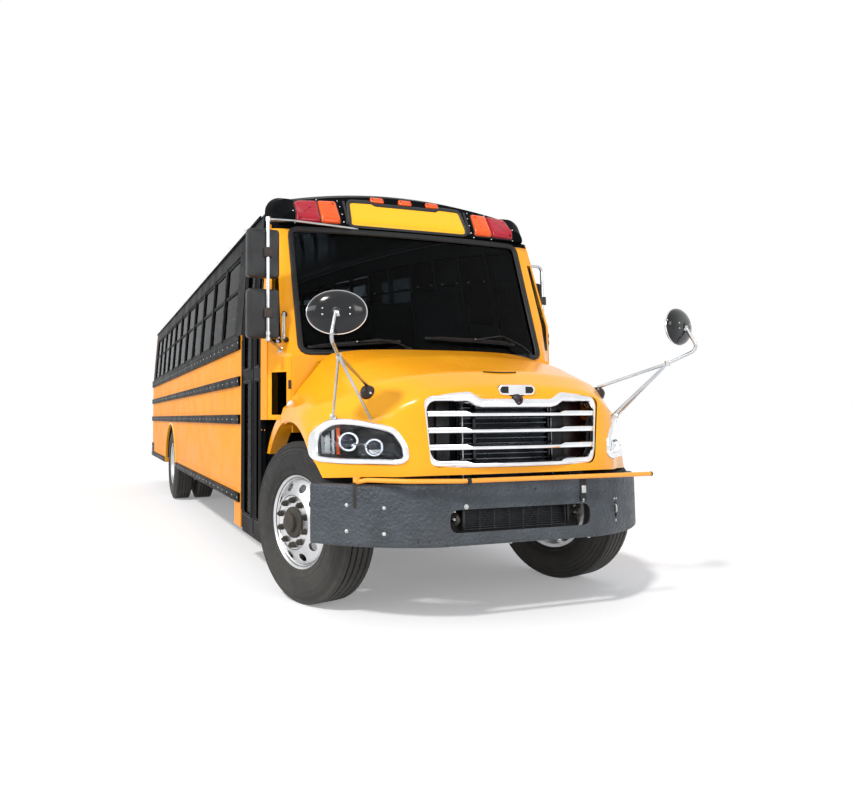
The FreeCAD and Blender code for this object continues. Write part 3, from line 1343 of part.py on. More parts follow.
def build():
    frame_rails()
    cross_members()
    floor()
    right_side()
    left_side()
    side_rails()
    roof()
    rear_wall()
    front_cap()
    cowl()
    front_glass()
    right_windows()
    left_windows()
    rear_windows()
    dashboard()
    driver_seat()
    seat_row("right_seats", -1)
    seat_row("left_seats", 1)
    front_bumper()
    bumper_ends()
    hood_brackets()
    rear_bumper()
    engine()
    radiator()
    driveline()
    exhaust()
    fuel_tank()
    warning_lamps()
    right_mirrors()
    left_mirrors()
    hood()
    grille()
    headlights()
    crossview_mirrors()
    entrance_leaf("rear_leaf", "(gap - door_rear)", "(-door_parting - door_seal / 2)", "(gap - door_rear)")
    entrance_leaf("front_leaf", "(door_seal / 2 - door_parting)", "(-door_front - gap)",
                  "(-door_front - gap)")
    rear_door()
    stop_arm()
    stop_arm_base()
    crossing_arm()
    for name, middle in hatch_places():
        hatch(name, middle)
    front_axle()
    rear_axle()
    for row in SPRINGS:
        springs(*row)
    for name, side in (("right", -1), ("left", 1)):
        knuckle(f"{name}_knuckle", side)
        front_wheel(f"front_{name}", side)
        rear_wheels(f"rear_{name}", side)


def check():
    """Stops on any object that failed or any sub-part without a sound shape."""
    document.recompute()
    for item in document.Objects:
        if "Invalid" in item.State or "Error" in item.State:
            raise RuntimeError(f"{item.Label} failed: {item.State}")
    for part in sub_parts:
        if part.Shape.isNull() or not part.Shape.isValid() or not part.Shape.Solids:
            raise RuntimeError(f"{part.Label} has no sound shape")


def export():
    os.makedirs("parts", exist_ok=True)
    for part in sub_parts:
        part.Shape.exportStep(f"parts/{part.Label}.step")
        print(part.Label, len(part.Shape.Solids), round(part.Shape.Volume / 1e6, 1), "dm3")


build()
check()
export()
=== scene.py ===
"""Looks for a long-bonnet school bus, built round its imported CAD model.

Metres, in the CAD model's own frame: +X is the way the bus drives, +Y its left side, +Z up.
"""
import json
import math

import bmesh
import bpy
from mathutils import Matrix, Vector
from mathutils.bvhtree import BVHTree


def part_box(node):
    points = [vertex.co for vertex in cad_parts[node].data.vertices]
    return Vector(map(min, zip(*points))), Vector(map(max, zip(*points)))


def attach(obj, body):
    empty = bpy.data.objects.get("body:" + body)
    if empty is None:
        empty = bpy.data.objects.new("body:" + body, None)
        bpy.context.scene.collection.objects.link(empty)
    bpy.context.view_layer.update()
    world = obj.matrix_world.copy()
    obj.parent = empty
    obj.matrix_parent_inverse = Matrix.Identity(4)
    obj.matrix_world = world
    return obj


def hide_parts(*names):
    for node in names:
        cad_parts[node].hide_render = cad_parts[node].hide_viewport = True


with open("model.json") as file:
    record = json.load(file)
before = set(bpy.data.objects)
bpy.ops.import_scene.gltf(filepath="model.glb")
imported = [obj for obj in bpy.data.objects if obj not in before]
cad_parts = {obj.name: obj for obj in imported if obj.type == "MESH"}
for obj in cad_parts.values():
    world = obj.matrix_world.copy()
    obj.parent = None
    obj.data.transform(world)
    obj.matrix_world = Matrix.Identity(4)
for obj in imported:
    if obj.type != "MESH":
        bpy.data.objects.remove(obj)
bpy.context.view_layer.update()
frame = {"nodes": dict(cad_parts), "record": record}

bl_info = {
    "name": "School Bus Looks",
    "version": (1, 0, 0),
    "blender": (4, 5, 0),
    "location": "View3D > Sidebar > School Bus",
    "description": "Builds the visible surfaces of a long-bonnet school bus round its packed CAD model",
    "category": "Add Mesh",
}


# ------------------------------------------------------------------ places taken from the CAD model

def span(node, axis):
    """The lowest and highest coordinate of a CAD node along an axis."""
    low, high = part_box(node)
    return low[axis], high[axis]


AXLE = sum(span("front_springs", 0)) / 2          # front axle, along the bus
REAR_AXLE = sum(span("rear_springs", 0)) / 2
HUB = sum(span("front_right_tyre", 2)) / 2         # height of the wheels' middles
TYRE = span("front_right_tyre", 2)[1] / 2
HALF = span("left_side", 1)[1]                     # side sheet from the centre plane
SILL, EAVE = span("side_rails", 2)[1], span("left_side", 2)[1]
EAVE_HALF = 1.133
WALL = 0.040
REAR = span("rear_wall", 0)[0]
FALL = (HALF - EAVE_HALF) / (EAVE - SILL)          # how fast the walls lean in above the sills
BAY, BAYS, OPEN = 0.711, 11, 0.641                 # window bays and their clear length
BAY_START = AXLE - 1.600


def ahead(distance):
    """A place along the bus, from its distance ahead of the front axle."""
    return AXLE + distance


def wall_at(height, inward=0.0):
    """Half width of the side wall at a height, moved inwards."""
    return HALF - max(0.0, height - SILL) * FALL - inward


# ------------------------------------------------------------------ materials

def linear(code):
    """An sRGB hex colour, or a colour that is linear already, as a shader takes it."""
    if not isinstance(code, str):
        return tuple(code)[:3] + (1.0,)
    parts = [int(code.lstrip("#")[k:k + 2], 16) / 255 for k in (0, 2, 4)]
    return tuple(p / 12.92 if p <= 0.04045 else ((p + 0.055) / 1.055) ** 2.4 for p in parts) + (1.0,)


def put(tree, kind, settings=None, inputs=None):
    """Adds a node, sets its properties and gives its inputs values or other nodes' outputs."""
    made = tree.nodes.new(kind)
    for key, value in (settings or {}).items():
        setattr(made, key, value)
    for key, value in (inputs or {}).items():
        if isinstance(value, bpy.types.NodeSocket):
            tree.links.new(value, made.inputs[key])
        else:
            made.inputs[key].default_value = value
    return made


def finish_named(name, **sockets):
    """A new material: its tree, its shader and the coordinates of the bus at rest, in metres."""
    made = bpy.data.materials.new(name)
    made.use_nodes = True
    tree = made.node_tree
    tree.nodes.clear()
    shader = put(tree, "ShaderNodeBsdfPrincipled")
    for key, value in sockets.items():
        shader.inputs[key.replace("_", " ")].default_value = value
    put(tree, "ShaderNodeOutputMaterial", inputs={"Surface": shader.outputs[0]})
    place = put(tree, "ShaderNodeTexCoord").outputs["Object"]
    return made, tree, shader, place


def per_size(millimetres):
    """The scale of a noise or cell pattern whose features are so many millimetres across."""
    return 1000.0 / millimetres


def mottled(tree, place, shader, first, second, size, low=0.35, high=0.7, detail=4.0):
    """Lets the colour drift between two shades in patches of a size."""
    noise = put(tree, "ShaderNodeTexNoise",
                inputs={"Vector": place, "Scale": per_size(size), "Detail": detail})
    share = put(tree, "ShaderNodeMapRange",
                inputs={"Value": noise.outputs["Fac"], "From Min": low, "From Max": high})
    mix = put(tree, "ShaderNodeMix", {"data_type": "RGBA"}, {"Factor": share.outputs[0]})
    mix.inputs[6].default_value, mix.inputs[7].default_value = linear(first), linear(second)
    tree.links.new(mix.outputs[2], shader.inputs["Base Color"])
    return mix


def dusted(tree, place, mix, shader, dust, top, share=0.35):
    """Road dust that gathers towards the ground, in cloudy patches."""
    height = put(tree, "ShaderNodeSeparateXYZ", inputs={"Vector": place}).outputs["Z"]
    fall = put(tree, "ShaderNodeMapRange", inputs={"Value": height, "From Min": 0.25, "From Max": top,
                                                   "To Min": share, "To Max": 0.0})
    cloud = put(tree, "ShaderNodeTexNoise", inputs={"Vector": place, "Scale": per_size(240), "Detail": 6.0})
    much = put(tree, "ShaderNodeMath", {"operation": "MULTIPLY"})
    tree.links.new(fall.outputs[0], much.inputs[0])
    tree.links.new(cloud.outputs["Fac"], much.inputs[1])
    over = put(tree, "ShaderNodeMix", {"data_type": "RGBA"}, {"Factor": much.outputs[0]})
    over.inputs[7].default_value = linear(dust)
    tree.links.new(mix.outputs[2], over.inputs[6])
    tree.links.new(over.outputs[2], shader.inputs["Base Color"])
    return over


def uneven(tree, place, shader, low, high, size):
    """Lets the roughness wander between two values in patches of a size."""
    noise = put(tree, "ShaderNodeTexNoise", inputs={"Vector": place, "Scale": per_size(size), "Detail": 5.0})
    share = put(tree, "ShaderNodeMapRange", inputs={"Value": noise.outputs["Fac"], "From Min": 0.3,
                                                    "From Max": 0.7,
                                                    "To Min": low, "To Max": high})
    tree.links.new(share.outputs[0], shader.inputs["Roughness"])


def bumpy(tree, shader, height, depth, strength=1.0):
    """Raises the surface by a pattern's value times a depth in metres."""
    bump = put(tree, "ShaderNodeBump", inputs={"Strength": strength, "Distance": depth, "Height": height})
    tree.links.new(bump.outputs["Normal"], shader.inputs["Normal"])
    return bump


def enamel(name, first, second, low, high, dust="#8A7F6C", share=0.30, coat=0.6, shine=0.5,
           index=1.5):
    """Polyurethane enamel sprayed on steel: a smooth gloss over colour, with a faint orange peel.

    Enamel's real index is about 1.5. The white surroundings reflect along the sides and in the dark
    coats, so some recipes use a lower index and no clear coat.
    """
    made, tree, shader, place = finish_named(name, Coat_Weight=coat, Coat_Roughness=0.06, IOR=index,
                                              Specular_IOR_Level=shine)
    mix = mottled(tree, place, shader, first, second, 900)
    dusted(tree, place, mix, shader, dust, 1.0, share)
    uneven(tree, place, shader, low, high, 300)
    # Real orange peel is about 2 mm across; it is drawn at 9 mm so that it shows at all.
    peel = put(tree, "ShaderNodeTexNoise", inputs={"Vector": place, "Scale": per_size(9), "Detail": 2.0})
    bumpy(tree, shader, peel.outputs["Fac"], 0.0004, 0.25)
    return made


def hammered(name, first, second):
    """Textured powder coat on plate steel: matt dark grey with a leathery hammered grain."""
    made, tree, shader, place = finish_named(name, Specular_IOR_Level=0.45)
    mix = mottled(tree, place, shader, first, second, 160, 0.4, 0.65)
    dusted(tree, place, mix, shader, "#8C8A84", 0.75, 0.22)
    uneven(tree, place, shader, 0.42, 0.6, 60)
    # The grain's cells are about 6 mm; they are drawn at 17 mm so that they show.
    cells = put(tree, "ShaderNodeTexVoronoi", {"feature": "SMOOTH_F1"},
                {"Vector": place, "Scale": per_size(17)})
    bumpy(tree, shader, cells.outputs["Distance"], 0.009, 1.0)
    return made


def moulded(name, first, second, roughness, grain=3.0, depth=0.0004):
    """Injection-moulded plastic: dark, slightly waxy, with a fine leather grain from its mould."""
    made, tree, shader, place = finish_named(name, IOR=1.47)
    mottled(tree, place, shader, first, second, 120)
    uneven(tree, place, shader, roughness - 0.06, roughness + 0.08, 50)
    grains = put(tree, "ShaderNodeTexVoronoi", inputs={"Vector": place, "Scale": per_size(grain)})
    bumpy(tree, shader, grains.outputs["Distance"], depth, 0.5)
    return made


def rubber(name, first, second, low=0.55, high=0.75):
    """Vulcanised rubber: nearly black, chalky where it has weathered."""
    made, tree, shader, place = finish_named(name, IOR=1.52, Specular_IOR_Level=0.35)
    mix = mottled(tree, place, shader, first, second, 70, 0.3, 0.75, 6.0)
    dusted(tree, place, mix, shader, "#77736A", 0.9, 0.25)
    uneven(tree, place, shader, low, high, 40)
    fine = put(tree, "ShaderNodeTexNoise", inputs={"Vector": place, "Scale": per_size(5), "Detail": 6.0})
    bumpy(tree, shader, fine.outputs["Fac"], 0.0006, 0.5)
    return made


def bright_metal(name, first, second, low, high, grain=(1.0, 1.0, 1.0), depth=0.0001, size=30):
    """Bare or plated metal: a mirror broken up by fine scratches that run one way."""
    made, tree, shader, place = finish_named(name, Metallic=1.0)
    mottled(tree, place, shader, first, second, 140)
    uneven(tree, place, shader, low, high, 80)
    stretch = put(tree, "ShaderNodeMapping", inputs={"Vector": place, "Scale": grain})
    scratch = put(tree, "ShaderNodeTexNoise",
                  inputs={"Vector": stretch.outputs[0], "Scale": per_size(size), "Detail": 4.0})
    bumpy(tree, shader, scratch.outputs["Fac"], depth, 0.4)
    return made


def cast(name, first, second, roughness=0.7, size=6, depth=0.0012, metallic=0.35):
    """Sand-cast or scaled iron under a thin coat: dull, pitted and dusty."""
    made, tree, shader, place = finish_named(name, Metallic=metallic)
    mix = mottled(tree, place, shader, first, second, 90, 0.35, 0.7, 6.0)
    dusted(tree, place, mix, shader, "#6E675B", 1.1, 0.45)
    uneven(tree, place, shader, roughness - 0.12, roughness + 0.12, 60)
    pits = put(tree, "ShaderNodeTexNoise", inputs={"Vector": place, "Scale": per_size(size), "Detail": 8.0})
    bumpy(tree, shader, pits.outputs["Fac"], depth, 0.6)
    return made


def glass(name, tint, roughness=0.0, smear=0.04, index=1.45):
    """Float glass tinted in the melt: clear, smooth and a little smeared from washing."""
    # Real glass has 1.52; a lower index keeps the white studio's mirror image off dark panes.
    made, tree, shader, place = finish_named(name, Transmission_Weight=1.0, IOR=index)
    shader.inputs["Base Color"].default_value = linear(tint)
    streak = put(tree, "ShaderNodeMapping", inputs={"Vector": place, "Scale": (1.0, 1.0, 0.3)})
    film = put(tree, "ShaderNodeTexNoise",
               inputs={"Vector": streak.outputs[0], "Scale": per_size(260), "Detail": 6.0})
    share = put(tree, "ShaderNodeMapRange", inputs={"Value": film.outputs["Fac"], "From Min": 0.5,
                                                    "From Max": 0.8,
                                                    "To Min": roughness, "To Max": roughness + smear})
    tree.links.new(share.outputs[0], shader.inputs["Roughness"])
    return made


def lens(name, colour, deep, pitch=14.0):
    """Moulded polycarbonate lens: clear coloured plastic with rows of small prisms behind its face."""
    made, tree, shader, place = finish_named(name, IOR=1.4, Coat_Weight=0.2, Coat_Roughness=0.03)
    rows = put(tree, "ShaderNodeTexVoronoi", {"distance": "CHEBYCHEV"},
               {"Vector": place, "Scale": per_size(pitch), "Randomness": 0.0})
    share = put(tree, "ShaderNodeMapRange",
                inputs={"Value": rows.outputs["Distance"], "From Min": 0.1, "From Max": 0.6})
    mix = put(tree, "ShaderNodeMix", {"data_type": "RGBA"}, {"Factor": share.outputs[0]})
    mix.inputs[6].default_value, mix.inputs[7].default_value = linear(colour), linear(deep)
    tree.links.new(mix.outputs[2], shader.inputs["Base Color"])
    # A faint glow in the lens's own colour; on the sign sheet, which is no lamp, this glow is painted light.
    tree.links.new(mix.outputs[2], shader.inputs["Emission Color"])
    shader.inputs["Emission Strength"].default_value = 0.12
    shader.inputs["Roughness"].default_value = 0.18
    bumpy(tree, shader, rows.outputs["Distance"], 0.002, 0.6)
    return made


def vinyl(name, first, second):
    """Coated upholstery vinyl: soft sheen over a pebbled grain, darker in its folds."""
    made, tree, shader, place = finish_named(name, IOR=1.5, Sheen_Weight=0.15, Sheen_Roughness=0.4)
    mottled(tree, place, shader, first, second, 200)
    uneven(tree, place, shader, 0.42, 0.6, 90)
    # A real grain is about 1.5 mm; it is drawn at 5 mm so that it shows.
    grain = put(tree, "ShaderNodeTexVoronoi", {"feature": "SMOOTH_F1"},
                {"Vector": place, "Scale": per_size(5)})
    bumpy(tree, shader, grain.outputs["Distance"], 0.0008, 0.6)
    return made


def glowing(name, colour, strength, roughness=0.3):
    made, tree, shader, place = finish_named(name, Roughness=roughness, Emission_Strength=strength)
    mottled(tree, place, shader, colour, colour, 60)
    shader.inputs["Emission Color"].default_value = linear(colour)
    return made


FINISHES = {}


def finish_of(name):
    """The material of a name, made when it is first asked for."""
    if name not in FINISHES:
        FINISHES[name] = RECIPES[name](bpy.context.scene.school_bus_colours)
    return FINISHES[name]


RECIPES = {
    # School-bus yellow enamel over steel sheet: warm, wet gloss, a little orange in random patches.
    "yellow_enamel": lambda c: enamel("yellow_enamel", c.body, c.body_deep_and_side_shade, 0.18, 0.30, coat=0.25, index=1.3),
    # Side panels: painted shade, the same enamel painted a darker, more orange tone than the hood's because
    # the sides lie in shade; duller, with a low index so that the white surroundings don't wash it out at a
    # grazing angle.
    "panel_enamel": lambda c: enamel("panel_enamel", c.body_deep_and_side_shade, "#F8981A", 0.30, 0.45, coat=0.0,
                                     index=1.12),
    # White roof enamel: duller, with grey rain marks.
    "white_enamel": lambda c: enamel("white_enamel", c.roof, "#D9DBD8", 0.30, 0.45, "#9C9C96", 0.2),
    # Black trim enamel on rails, posts and the cap.
    "black_enamel": lambda c: enamel("black_enamel", c.trim, "#0E1013", 0.30, 0.45, "#6C6A66", 0.06, 0.0, 0.5,
                                     1.08),
    # Black satin coat inside window frames and door leaves.
    "black_satin": lambda c: enamel("black_satin", "#0F1114", "#14171B", 0.42, 0.55, "#55534F", 0.06, 0.0,
                                    0.5, 1.12),
    # Pale grey coated steel that lines the cabin.
    "lining": lambda c: enamel("lining", "#4A4D4F", "#414446", 0.4, 0.55, "#55524C", 0.1),
    "red_enamel": lambda c: enamel("red_enamel", "#C3161C", "#A81015", 0.2, 0.32),
    # Textured powder coat of the bumpers.
    "bumper_coat": lambda c: hammered("bumper_coat", c.bumper, "#30363C"),
    "chassis_coat": lambda c: cast("chassis_coat", "#141516", "#1F1F1E", 0.6, 8, 0.0006, 0.1),
    "cast_iron": lambda c: cast("cast_iron", "#2A2A2A", "#3A3632", 0.68),
    "spring_steel": lambda c: cast("spring_steel", "#1D1E20", "#2E2A27", 0.6, 5, 0.0006, 0.4),
    "exhaust_steel": lambda c: cast("exhaust_steel", "#6E655A", "#4B3A2D", 0.55, 10, 0.0006, 0.8),
    "tank_steel": lambda c: cast("tank_steel", "#191B1D", "#26282A", 0.45, 20, 0.0003, 0.3),
    "black_plastic": lambda c: moulded("black_plastic", "#141517", "#1B1D20", 0.42),
    "gloss_plastic": lambda c: moulded("gloss_plastic", "#0B0C0E", "#121417", 0.14, 6.0, 0.0001),
    "grey_plastic": lambda c: moulded("grey_plastic", "#2E3135", "#24272A", 0.55),
    "seal_rubber": lambda c: rubber("seal_rubber", "#0E0F10", "#17181A", 0.45, 0.6),
    "tyre_rubber": lambda c: rubber("tyre_rubber", "#1B1B1B", "#262524", 0.55, 0.72),
    "floor_rubber": lambda c: rubber("floor_rubber", "#1D1E1F", "#29292A", 0.6, 0.8),
    # Decorative chrome on pressed steel: blue-white mirror.
    "chrome": lambda c: bright_metal("chrome", "#F3F4F6", "#E2E4E8", 0.06, 0.14),
    # Forged aluminium, turned and hand-polished: whiter and softer than chrome, with turning marks.
    "polished_aluminium": lambda c: bright_metal("polished_aluminium", "#DDDEDF", "#C2C3C5", 0.26, 0.38,
                                                 (0.3, 1.0, 1.0), 0.0002, 18),
    "stainless": lambda c: bright_metal("stainless", "#CBCDD0", "#AEB1B5", 0.16, 0.26, (1.0, 1.0, 0.1),
                                        0.0001, 10),
    "zinc": lambda c: bright_metal("zinc", "#D5D7D6", "#A9ABA9", 0.28, 0.45, (1.0, 1.0, 1.0), 0.0002, 12),
    "radiator_fins": lambda c: bright_metal("radiator_fins", "#2B2E31", "#1D1F22", 0.4, 0.55, (0.2, 1.0, 6.0),
                                            0.0006, 12),
    "mirror_glass": lambda c: bright_metal("mirror_glass", "#E8ECEF", "#DCE2E6", 0.01, 0.03),
    # Privacy tint of the side windows and a lighter tint in the windshield.
    "dark_glass": lambda c: glass("dark_glass", c.window_tint, smear=0.0, index=1.05),
    "shield_glass": lambda c: glass("shield_glass", c.windshield_tint, smear=0.0, index=1.12),
    "clear_lens": lambda c: glass("clear_lens", "#F1F5F7", 0.0, 0.0, 1.22),
    "amber_lens": lambda c: lens("amber_lens", "#FF6A1E", "#D8430A"),
    "red_lens": lambda c: lens("red_lens", "#C40D2A", "#800820"),
    "white_lens": lambda c: lens("white_lens", "#E9ECEF", "#B9BFC6", 9.0),
    # Retro-reflective sheet of the blank sign: saturated yellow with a fine honeycomb, and a faint painted
    # glow from the lens recipe that stands for its reflection, though it is no lamp.
    "sign_sheet": lambda c: lens("sign_sheet", "#FFC21A", "#F2AE0E", 11.0),
    "amber_reflector": lambda c: lens("amber_reflector", "#FF8A3C", "#D5541A", 8.0),
    "projector_lens": lambda c: moulded("projector_lens", "#0D1526", "#131C30", 0.08, 6.0, 0.00005),
    "mesh_plastic": lambda c: moulded("mesh_plastic", "#4B4F55", "#3C4046", 0.4),
    "brown_plastic": lambda c: moulded("brown_plastic", "#2A211D", "#332823", 0.45),
    "lamp_ring": lambda c: glowing("lamp_ring", "#F2F6FF", 0.6),
    "seat_vinyl": lambda c: vinyl("seat_vinyl", c.seats, "#171A20"),
    "lamp_pot": lambda c: bright_metal("lamp_pot", "#7C8087", "#5A5E66", 0.18, 0.3),
    # Powder coat on the crossing arm's tube: a shade more orange than the body.
    "tube_coat": lambda c: enamel("tube_coat", "#FBA40E", "#F29606", 0.25, 0.4),
    "dark_red_plastic": lambda c: moulded("dark_red_plastic", "#2B1418", "#1C0D10", 0.4),
}


# ------------------------------------------------------------------ meshes

class Work:
    """A mesh in the making. Every call adds faces that take one of its materials."""

    def __init__(self, *finishes):
        self.mesh = bmesh.new()
        self.finishes = list(finishes)

    def mark(self, faces, finish):
        if finish not in self.finishes:
            self.finishes.append(finish)
        number = self.finishes.index(finish)
        for face in faces:
            face.material_index = number

    def grid(self, rows, finish, around=False, along=False, flip=False):
        """Faces between rows of points; around closes each row, along closes the last row to the first."""
        made = [[self.mesh.verts.new(p) for p in row] for row in rows]
        faces = []
        for i in range(len(made) - (0 if along else 1)):
            first, second = made[i], made[(i + 1) % len(made)]
            count = len(first)
            for j in range(count - (0 if around else 1)):
                corners = [first[j], second[j], second[(j + 1) % count], first[(j + 1) % count]]
                faces.append(self.mesh.faces.new(corners[::-1] if flip else corners))
        self.mark(faces, finish)
        return made

    def fan(self, ring, finish, flip=False):
        face = self.mesh.faces.new(ring[::-1] if flip else ring)
        self.mark([face], finish)

    def block(self, low, high, finish, bevel=0.0, turn=None):
        """A box between two corners, its edges rounded, turned by a matrix if one is given."""
        low, high = Vector(low), Vector(high)
        made = bmesh.ops.create_cube(self.mesh, size=1.0)
        matrix = Matrix.Translation((low + high) / 2) @ Matrix.Diagonal((high - low).to_4d())
        bmesh.ops.transform(self.mesh, matrix=(turn @ matrix) if turn else matrix, verts=made["verts"])
        verts = made["verts"]
        if bevel:
            edges = {edge for vert in verts for edge in vert.link_edges}
            done = bmesh.ops.bevel(self.mesh, geom=list(edges), offset=bevel, segments=2, affect="EDGES",
                                   clamp_overlap=True, profile=0.5)
            verts = [vert for vert in set(done["verts"]) | set(verts) if vert.is_valid]
        self.mark({face for vert in verts for face in vert.link_faces}, finish)

    def lathe(self, centre, axis, profile, finish, steps=32, closed=False, start=None):
        """Turns a profile of (along the axis, radius) pairs round an axis through a centre."""
        axis, centre = Vector(axis).normalized(), Vector(centre)
        side = axis.orthogonal().normalized() if start is None else Vector(start).normalized()
        across = axis.cross(side)
        rows = []
        for k in range(steps):
            angle = 2 * math.pi * k / steps
            out = side * math.cos(angle) + across * math.sin(angle)
            rows.append([centre + axis * a + out * r for a, r in profile])
        made = self.grid(rows, finish, around=closed, along=True, flip=True)
        if not closed:
            if profile[0][1] > 1e-6:
                self.fan([row[0] for row in made], finish)
            if profile[-1][1] > 1e-6:
                self.fan([row[-1] for row in made], finish, flip=True)

    def rod(self, start, end, radius, finish, sides=16, round_off=0.0):
        """A straight round bar with softened ends."""
        start, end = Vector(start), Vector(end)
        length = (end - start).length
        soft = min(round_off or radius * 0.12, radius * 0.9, length / 3)
        profile = [(0, radius - soft), (soft, radius), (length - soft, radius), (length, radius - soft)]
        self.lathe(start, end - start, profile, finish, sides)

    def tube(self, points, radius, finish, sides=12, closed=False, flat=None):
        """A bar that follows points, its section a circle, or an ellipse with flat=(wide, thick)."""
        points = [Vector(p) for p in points]
        count = len(points)
        wide, thick = flat or (radius, radius)
        rows = []
        normal = None
        for k, point in enumerate(points):
            after = points[(k + 1) % count] if closed or k + 1 < count else point
            before = points[k - 1] if closed or k else point
            ahead_way = (after - before).normalized()
            if normal is None:
                normal = ahead_way.orthogonal() if flat is None else Vector((0, 0, 1)).cross(ahead_way)
                if normal.length < 1e-4:
                    normal = ahead_way.orthogonal()
            normal = (normal - ahead_way * normal.dot(ahead_way)).normalized()
            across = ahead_way.cross(normal)
            rows.append([point + normal * wide * math.cos(2 * math.pi * j / sides)
                         + across * thick * math.sin(2 * math.pi * j / sides) for j in range(sides)])
        made = self.grid(rows, finish, around=True, along=closed)
        if not closed:
            self.fan(made[0], finish, flip=False)
            self.fan(made[-1], finish, flip=True)

    def plate(self, outline, depth, finish, rim=0.0, back=True):
        """A plate from a closed outline, as thick as a depth vector, with a softened front rim."""
        outline = [Vector(p) for p in outline]
        depth = Vector(depth)
        rows = [outline]
        if rim:
            middle = sum(outline, Vector()) / len(outline)
            soft = [p + (middle - p).normalized() * rim for p in outline]
            step = depth.normalized() * rim
            rows = [soft, [p + step for p in outline]]
        rows.append([p + depth for p in outline])
        made = self.grid(rows, finish, around=True, flip=True)
        self.fan(made[0], finish)
        if back:
            self.fan(made[-1], finish, flip=True)

    def bolt(self, place, axis, radius, finish, height=None):
        """A hexagon head on a washer."""
        place, axis = Vector(place), Vector(axis).normalized()
        tall = height or radius * 0.7
        self.lathe(place, axis,
                   [(0, radius * 1.25), (tall * 0.2, radius * 1.25), (tall * 0.24, radius * 1.05)],
                   finish, 16)
        self.lathe(place + axis * tall * 0.2, axis,
                   [(0, radius), (tall * 0.7, radius), (tall * 0.85, radius * 0.84)], finish, 6)

    def dome(self, place, axis, radius, finish, rise=0.5, sides=10):
        """A rivet's or button-head screw's low dome."""
        profile = [(0, radius), (radius * rise * 0.6, radius * 0.8), (radius * rise * 0.95, radius * 0.4),
                   (radius * rise, 0.0001)]
        self.lathe(place, axis, profile, finish, sides)

    def node(self, name, finish=None, rule=None):
        """Copies a CAD node's faces. A rule gives each face's material from its middle and normal."""
        source = frame["nodes"][name].data
        verts = [self.mesh.verts.new(v.co) for v in source.vertices]
        faces = []
        for polygon in source.polygons:
            try:
                faces.append(self.mesh.faces.new([verts[i] for i in polygon.vertices]))
            except ValueError:
                continue
        if rule is None:
            self.mark(faces, finish)
            return
        for face in faces:
            face.normal_update()
            self.mark([face], rule(face.calc_center_median(), face.normal))

    def copied(self, mesh, matrix, finish):
        """Adds another mesh's faces, moved by a matrix."""
        verts = [self.mesh.verts.new(matrix @ vert.co) for vert in mesh.vertices]
        self.mark([self.mesh.faces.new([verts[k] for k in polygon.vertices]) for polygon in mesh.polygons],
                  finish)

    def done(self, name, body, slot, angle=32.0, merge=0.0, replaced=(), recalc=True, smooth=True):
        """Makes the piece, gives it its materials and lets it ride on its body."""
        if merge:
            bmesh.ops.remove_doubles(self.mesh, verts=self.mesh.verts, dist=merge)
        if recalc:
            bmesh.ops.recalc_face_normals(self.mesh, faces=self.mesh.faces)
        if smooth:
            limit = math.radians(angle)
            for face in self.mesh.faces:
                face.smooth = True
            for edge in self.mesh.edges:
                edge.smooth = len(edge.link_faces) == 2 and edge.calc_face_angle(0.0) < limit
        mesh = bpy.data.meshes.new(name)
        self.mesh.to_mesh(mesh)
        self.mesh.free()
        for finish in self.finishes:
            mesh.materials.append(finish_of(finish))
        piece = bpy.data.objects.new(name, mesh)
        bpy.context.scene.collection.objects.link(piece)
        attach(piece, body)
        if replaced:
            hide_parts(*replaced)
        return piece


def smooth_path(points, radius, steps=6):
    """Points along straight runs whose corners are rounded to a radius."""
    points = [Vector(p) for p in points]
    path = [points[0]]
    for before, corner, after in zip(points, points[1:], points[2:]):
        back, on = (before - corner), (after - corner)
        half = back.angle(on) / 2
        reach = min(radius / math.tan(half), back.length * 0.49, on.length * 0.49)
        first, last = corner + back.normalized() * reach, corner + on.normalized() * reach
        for k in range(steps + 1):
            t = k / steps
            path.append(first * (1 - t) ** 2 + corner * 2 * t * (1 - t) + last * t ** 2)
    path.append(points[-1])
    return path


def rounded(corners, radius, steps=5):
    """A closed flat outline of pairs with its corners rounded."""
    count = len(corners)
    path = []
    for k in range(count):
        before, corner, after = (Vector(corners[(k + d) % count]) for d in (-1, 0, 1))
        back, on = before - corner, after - corner
        half = back.angle(on) / 2
        reach = min(radius / math.tan(max(half, 0.01)), back.length * 0.48, on.length * 0.48)
        first, last = corner + back.normalized() * reach, corner + on.normalized() * reach
        for j in range(steps + 1):
            t = j / steps
            path.append(tuple(first * (1 - t) ** 2 + corner * 2 * t * (1 - t) + last * t ** 2))
    return path


def grown(outline, distance):
    """A closed flat outline moved outwards by a distance."""
    count = len(outline)
    area = sum(outline[k][0] * outline[(k + 1) % count][1] - outline[(k + 1) % count][0] * outline[k][1]
               for k in range(count))
    turn = 1 if area > 0 else -1
    path = []
    for k in range(count):
        before, here, after = (Vector(outline[(k + d) % count]) for d in (-1, 0, 1))
        way = (after - before)
        if way.length < 1e-9:
            path.append(tuple(here))
            continue
        way.normalize()
        path.append((here.x + way.y * distance * turn, here.y - way.x * distance * turn))
    return path


def carve(piece, cutters, operation="DIFFERENCE"):
    """Cuts closed meshes out of a piece and applies the result."""
    for cutter in cutters:
        change = piece.modifiers.new("cut", "BOOLEAN")
        change.operation, change.solver, change.object = operation, "EXACT", cutter
        evaluated = piece.evaluated_get(bpy.context.evaluated_depsgraph_get())
        mesh = bpy.data.meshes.new_from_object(evaluated)
        piece.modifiers.clear()
        piece.data = mesh
    for cutter in cutters:
        bpy.data.objects.remove(cutter)


def cutter(build):
    """A bare object for carve, from a function that fills a Work."""
    work = Work("black_satin")
    build(work)
    bmesh.ops.recalc_face_normals(work.mesh, faces=work.mesh.faces)
    mesh = bpy.data.meshes.new("cutter")
    work.mesh.to_mesh(mesh)
    work.mesh.free()
    piece = bpy.data.objects.new("cutter", mesh)
    bpy.context.scene.collection.objects.link(piece)
    bpy.context.view_layer.update()
    return piece


